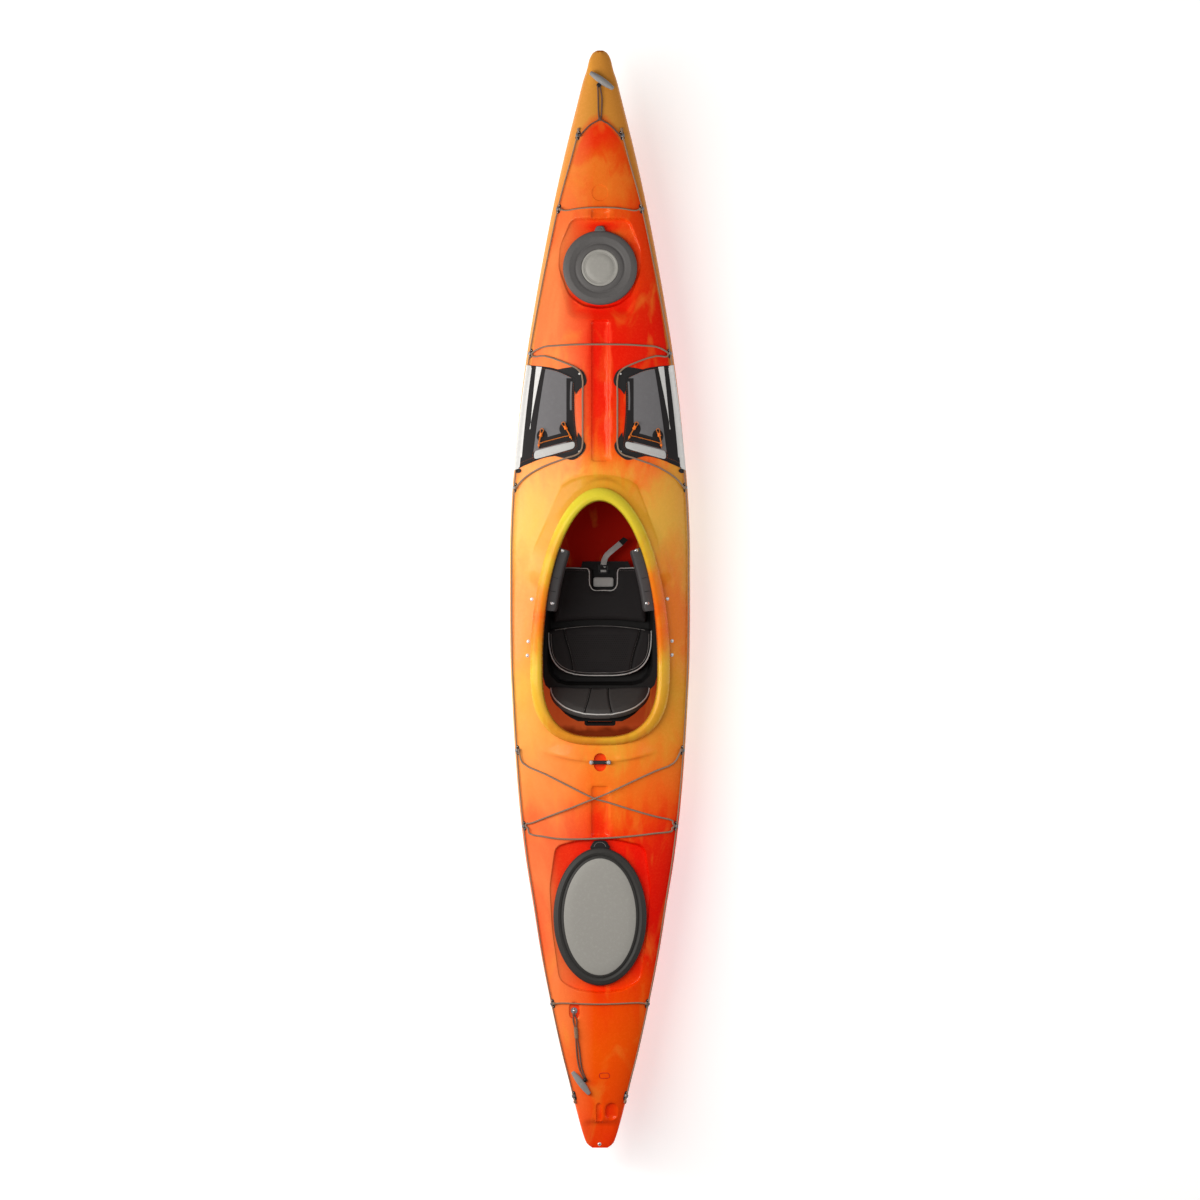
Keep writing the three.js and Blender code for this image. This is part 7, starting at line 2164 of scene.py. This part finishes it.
# The buckle's rails, bars and ears: middle across and along, half width, half length, low, high, radius, edge
BUCKLE_PARTS = [
    (-0.015, 0, 0.0022, 0.015, 0, 0.0118, 0.0015, 0.0007), (0.015, 0, 0.0022, 0.015, 0, 0.0118, 0.0015, 0.0007),
    (0, -0.0125, 0.0165, 0.0025, 0.0078, 0.0118, 0.0012, 0.0008),
    (0, 0.0125, 0.0165, 0.0025, 0.0078, 0.0118, 0.0012, 0.0008),
    (0, 0, 0.0165, 0.002, 0.0078, 0.0112, 0.0012, 0.0008), (0, -0.0125, 0.0165, 0.0025, 0, 0.004, 0.0012, 0.0008),
    (0, 0.0125, 0.0165, 0.0025, 0, 0.004, 0.0012, 0.0008),
    (-0.0205, 0.009, 0.0035, 0.005, 0, 0.006, 0.002, 0.0008), (0.0205, 0.009, 0.0035, 0.005, 0, 0.006, 0.002, 0.0008),
]


def strip(name, points, width, thick, look, twist):
    """A flat strap along points, its width turned from the level by the twist at each point."""
    p = np.array([tuple(q) for q in points], float)
    ahead = np.gradient(p, axis=0)
    ahead /= np.linalg.norm(ahead, axis=1)[:, None]
    rings = []
    for i, (centre, way) in enumerate(zip(p, ahead)):
        side = np.cross(way, (0, 0, 1.0))
        side /= np.linalg.norm(side)
        up = np.cross(side, way)
        c, s = math.cos(twist[i]), math.sin(twist[i])
        side, up = side * c + up * s, up * c - side * s
        rings.append([centre + side * width * x + up * thick * z for x, z in STRAP_SECTION])
    return shell(name, rings, look, sharp=55)


def slab(name, x0, x1, y0, y1, z0, z1, radius, edge, look):
    """A block with rounded corners and softened edges."""
    outline = rounded([(x0, y0), (x1, y0), (x1, y1), (x0, y1)], radius, 5)
    rings = stacked(outline, (
        (edge, z0), (edge * 0.3, z0 + edge * 0.3), (0, z0 + edge), (0, z1 - edge), (edge * 0.3, z1 - edge * 0.3),
        (edge, z1),
    ))
    return shell(name, rings, look, sharp=50)


def build_lifter_strap():
    bed, (x, y) = STRAP_BED, BUCKLE
    line = spline([(x + a, y + b, bed + 0.006 + up) for a, b, up in STRAP_RUN], 6)
    turn = np.interp(np.linspace(0, 1, len(line)), [0, 0.45, 0.65, 0.85, 1], [0, 0, 0.35, 0.15, 0.5])
    main = strip("band", line[12:-9], 0.0205, 0.0022, "grey", turn[12:-9])
    tail = strip("tail", line[-10:], 0.021, 0.0022, "fabric", turn[-10:])
    tab = slab("tab", x - 0.0355, x + 0.0355, 0.0465, 0.0795, bed, bed + 0.0072, 0.008, 0.0028, "grey")
    edge = rounded([(x - 0.031, 0.051), (x + 0.031, 0.051), (x + 0.031, 0.075), (x - 0.031, 0.075)], 0.004, 3)
    seam = stitches("seam", [[(a, b, bed + 0.0071) for a, b in [*edge, edge[0]]]], "seam", 0.004, 0.0028, 0.0007)
    put(merge("lifter_webbing", [main, tail, tab, seam]), "leg_lifter", "grey_webbing", "lifter_strap")
    parts = [
        slab("bar", x + a - wide, x + a + wide, y + b - long, y + b + long, bed + low, bed + high, *rounding, "black")
        for a, b, wide, long, low, high, *rounding in BUCKLE_PARTS
    ]
    put(merge("ladder_buckle", parts), "leg_lifter", "black_plastic", "strap_buckle")


# Thigh braces
BRACE_SECTION = [
    (-0.001, -0.005), (-0.03, -0.005), (-0.036, -0.01), (-0.041, -0.053), (0.03, -0.06), (0.03, -0.054),
    (-0.035, -0.047), (-0.03, -0.015), (-0.001, -0.015),
]
BRACE_SPAN = (20, 46)


def along_cockpit(degrees):
    """A point of the cockpit's edge, and the way the edge runs there."""
    angle = math.radians(degrees)
    plan = cockpit_point(angle, 0)
    ahead = cockpit_point(angle + 0.01, 0) - plan
    return plan, ahead / np.linalg.norm(ahead)


def build_braces():
    section = rounded(BRACE_SECTION, 0.0022, 3)
    for name, side in SIDES:
        rings = []
        for degrees in np.linspace(*BRACE_SPAN, 54):
            plan, ahead = along_cockpit(degrees)
            base = float(rim_base(plan[1])) - 0.006
            end = min(degrees - BRACE_SPAN[0], BRACE_SPAN[1] - degrees) / 1.6
            pinch = 1 - 0.1 * max(0.0, 1 - end) ** 2
            rings.append([
                (side * (plan[0] + out * pinch * ahead[1]), plan[1] - out * pinch * ahead[0], base + up)
                for out, up in section
            ])
        hook = shell(f"{name}_thigh_hook", rings, "brace", sharp=30)
        put(hook, "kayak", "black_plastic", f"{name}_thigh_brace")
    bolts, slots = [], []
    for side, spots in ((-1, ((-0.1306, 0.1709), (-0.1657, -0.0115))), (1, ((0.1275, 0.1723), (0.1647, -0.0115)))):
        for x, y in spots:
            bolts.append(moved((x, y, float(rim_base(y)) - 0.011)))
        for degrees in (39.5, 33.0, 27.5):
            plan, ahead = along_cockpit(degrees)
            x, y = side * (plan[0] - 0.0165 * ahead[1]), plan[1] + 0.0165 * ahead[0]
            spin = math.atan2(ahead[1], side * ahead[0]) + math.pi / 2
            slots.append(moved((x, y, float(rim_base(y)) - 0.0109)) @ Matrix.Rotation(spin, 4, "Z"))
    head = lathe("head", [
        (0, 0), (0.0064, 0), (0.0064, 0.0012), (0.0052, 0.0016), (0.005, 0.0042), (0.004, 0.0052), (0.0022, 0.0052),
        (0.0018, 0.003), (0, 0.003),
    ], "", 20, 25)
    put(scatter("brace_bolts", head, bolts, "steel"), "kayak", "fitting_steel")
    # Near-black slabs on the braces: painted shade standing in for slots
    groove = slab("groove", -0.009, 0.009, -0.0017, 0.0017, 0, 0.0004, 0.0016, 0.0001, "hole")
    put(scatter("brace_slots", groove, slots, "hole"), "kayak", "black_plastic")


# Stage
def build_stage(settings):
    scene = bpy.context.scene
    camera = bpy.data.cameras.new("Camera")
    camera.sensor_width = 36
    camera.lens = 36 * settings.camera_height / settings.view_width
    camera.clip_end = 100
    scene.camera = link("Camera", camera)
    scene.camera.location = (0, 0, settings.camera_height + 0.3)
    scene.view_settings.view_transform = "Standard"
    floor = make("floor", [(-30, -30, 0), (30, -30, 0), (30, 30, 0), (-30, 30, 0)], [(0, 1, 2, 3)], "floor")
    place(floor, moved((0, 0, -0.002)))
    for name, spot, size, energy, tint in (
        ("key", (-3.2, 0.2, 3.4), (1.6, 7.0), settings.key_power, (1, 0.985, 0.95)),
        ("fill", (3.4, 0.0, 2.8), (1.4, 7.0), settings.key_power * 0.2, (1, 0.99, 0.97)),
    ):
        light = bpy.data.lights.new(name, "AREA")
        light.shape = "RECTANGLE"
        light.size, light.size_y = size
        light.energy = energy
        light.color = tint
        lamp = link(name, light)
        lamp.location = spot
        lamp.rotation_mode = "QUATERNION"
        lamp.rotation_quaternion = (Vector((0, spot[1], 0.25)) - Vector(spot)).to_track_quat("-Z", "Y")
        lamp.visible_camera = False
    world = bpy.data.worlds.new("Studio")
    world.use_nodes = True
    background = world.node_tree.nodes["Background"]
    background.inputs[0].default_value = (1, 1, 1, 1)
    background.inputs[1].default_value = settings.room_light
    scene.world = world


# CAD nodes shown as they are, with a material of their own
CARRIED = {
    "foam": ["bow_bulkhead", "stern_bulkhead"],
    "pan": [
        "seat_base", "leg_lifter_board", "backrest_shell", "port_seat_hanger", "starboard_seat_hanger",
        "port_foot_pedal", "starboard_foot_pedal",
    ],
    "alloy": ["port_foot_rail", "starboard_foot_rail"],
}


def build_carried():
    for look, names in CARRIED.items():
        for name in names:
            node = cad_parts[name]
            node.data.materials.clear()
            node.data.materials.append(material(look))


class SeaKayakSettings(bpy.types.PropertyGroup):
    """Sizes and looks that may be changed before building."""

    deck_cell: bpy.props.FloatProperty(
        name="Deck cell", description="Length of one plain cell of the deck's mesh", default=0.009, unit="LENGTH"
    )
    camera_height: bpy.props.FloatProperty(
        name="Camera height", description="Height of the camera over the deck", default=20.0, unit="LENGTH"
    )
    view_width: bpy.props.FloatProperty(
        name="View width", description="Width of the picture at the deck", default=4.169, unit="LENGTH"
    )
    key_power: bpy.props.FloatProperty(
        name="Key power", description="Power of the main light, on the port side", default=275.0, unit="POWER"
    )
    room_light: bpy.props.FloatProperty(
        name="Room light", description="Strength of the even light all round", default=0.2, subtype="FACTOR"
    )


class Builder:
    bl_options = {"REGISTER", "UNDO"}

    def execute(self, context):
        self.build(context.scene.sea_kayak)
        return {"FINISHED"}


class SEAKAYAK_OT_stage(Builder, bpy.types.Operator):
    """Makes the camera, lights and floor"""

    bl_idname = "sea_kayak.stage"
    bl_label = "Stage"

    def build(self, settings):
        build_stage(settings)


class SEAKAYAK_OT_cords(Builder, bpy.types.Operator):
    """Lays the perimeter lines, cross lines and bungees"""

    bl_idname = "sea_kayak.cords"
    bl_label = "Cords"

    def build(self, settings):
        build_cords()


class SEAKAYAK_OT_hull(Builder, bpy.types.Operator):
    """Makes the moulded hull"""

    bl_idname = "sea_kayak.hull"
    bl_label = "Hull"

    def build(self, settings):
        build_hull()


class SEAKAYAK_OT_deck(Builder, bpy.types.Operator):
    """Makes the moulded deck with its wells, coaming and hatch rims"""

    bl_idname = "sea_kayak.deck"
    bl_label = "Deck"

    def build(self, settings):
        build_deck(settings)


class SEAKAYAK_OT_pad_eyes(Builder, bpy.types.Operator):
    """Makes the pad eyes and the deck screws"""

    bl_idname = "sea_kayak.pad_eyes"
    bl_label = "Pad eyes"

    def build(self, settings):
        build_pad_eyes()


class SEAKAYAK_OT_hatches(Builder, bpy.types.Operator):
    """Makes both hatch covers with their panels"""

    bl_idname = "sea_kayak.hatches"
    bl_label = "Hatch covers"

    def build(self, settings):
        build_hatches()


class SEAKAYAK_OT_toggles(Builder, bpy.types.Operator):
    """Makes the carry toggles, their cords and the stern deck eye"""

    bl_idname = "sea_kayak.toggles"
    bl_label = "Carry toggles"

    def build(self, settings):
        build_toggles()


class SEAKAYAK_OT_lock_bar(Builder, bpy.types.Operator):
    """Makes the lock bar and the stamped ring"""

    bl_idname = "sea_kayak.lock_bar"
    bl_label = "Lock bar"

    def build(self, settings):
        build_lock_bar()


class SEAKAYAK_OT_pockets(Builder, bpy.types.Operator):
    """Makes the layered mesh deck pockets"""

    bl_idname = "sea_kayak.pockets"
    bl_label = "Deck pockets"

    def build(self, settings):
        build_pockets()


class SEAKAYAK_OT_draw_cords(Builder, bpy.types.Operator):
    """Lays the draw cords with their locks and beads"""

    bl_idname = "sea_kayak.draw_cords"
    bl_label = "Draw cords"

    def build(self, settings):
        build_draw_cords()


class SEAKAYAK_OT_cushions(Builder, bpy.types.Operator):
    """Makes the stuffed seat, leg lifter and back cushions"""

    bl_idname = "sea_kayak.cushions"
    bl_label = "Cushions"

    def build(self, settings):
        build_cushions()


class SEAKAYAK_OT_lifter_strap(Builder, bpy.types.Operator):
    """Makes the leg lifter's strap, buckle and grab tab"""

    bl_idname = "sea_kayak.lifter_strap"
    bl_label = "Lifter strap"

    def build(self, settings):
        build_lifter_strap()


class SEAKAYAK_OT_braces(Builder, bpy.types.Operator):
    """Makes the thigh braces and their bolts"""

    bl_idname = "sea_kayak.braces"
    bl_label = "Thigh braces"

    def build(self, settings):
        build_braces()


class SEAKAYAK_OT_carried(Builder, bpy.types.Operator):
    """Gives materials to the CAD pieces that are shown as they are"""

    bl_idname = "sea_kayak.carried"
    bl_label = "Carried pieces"

    def build(self, settings):
        build_carried()


OPERATORS = (
    SEAKAYAK_OT_stage, SEAKAYAK_OT_cords, SEAKAYAK_OT_hull, SEAKAYAK_OT_deck, SEAKAYAK_OT_pad_eyes,
    SEAKAYAK_OT_hatches, SEAKAYAK_OT_toggles, SEAKAYAK_OT_lock_bar, SEAKAYAK_OT_pockets, SEAKAYAK_OT_draw_cords,
    SEAKAYAK_OT_cushions, SEAKAYAK_OT_lifter_strap, SEAKAYAK_OT_braces, SEAKAYAK_OT_carried,
)


class SEAKAYAK_PT_panel(bpy.types.Panel):
    """Lists the settings and the operators"""

    bl_idname = "SEAKAYAK_PT_panel"
    bl_label = "Sea Kayak"
    bl_space_type = "VIEW_3D"
    bl_region_type = "UI"
    bl_category = "Sea Kayak"

    def draw(self, context):
        for name in SeaKayakSettings.__annotations__:
            self.layout.prop(context.scene.sea_kayak, name)
        for operator in OPERATORS:
            self.layout.operator(operator.bl_idname)


CLASSES = (SeaKayakSettings, *OPERATORS, SEAKAYAK_PT_panel)


def register():
    for made in CLASSES:
        bpy.utils.register_class(made)
    bpy.types.Scene.sea_kayak = bpy.props.PointerProperty(type=SeaKayakSettings)


def unregister():
    del bpy.types.Scene.sea_kayak
    for made in reversed(CLASSES):
        bpy.utils.unregister_class(made)


def main():
    register()
    for operator in OPERATORS:
        family, name = operator.bl_idname.split(".")
        getattr(getattr(bpy.ops, family), name)()


if __name__ == "__main__":
    main()
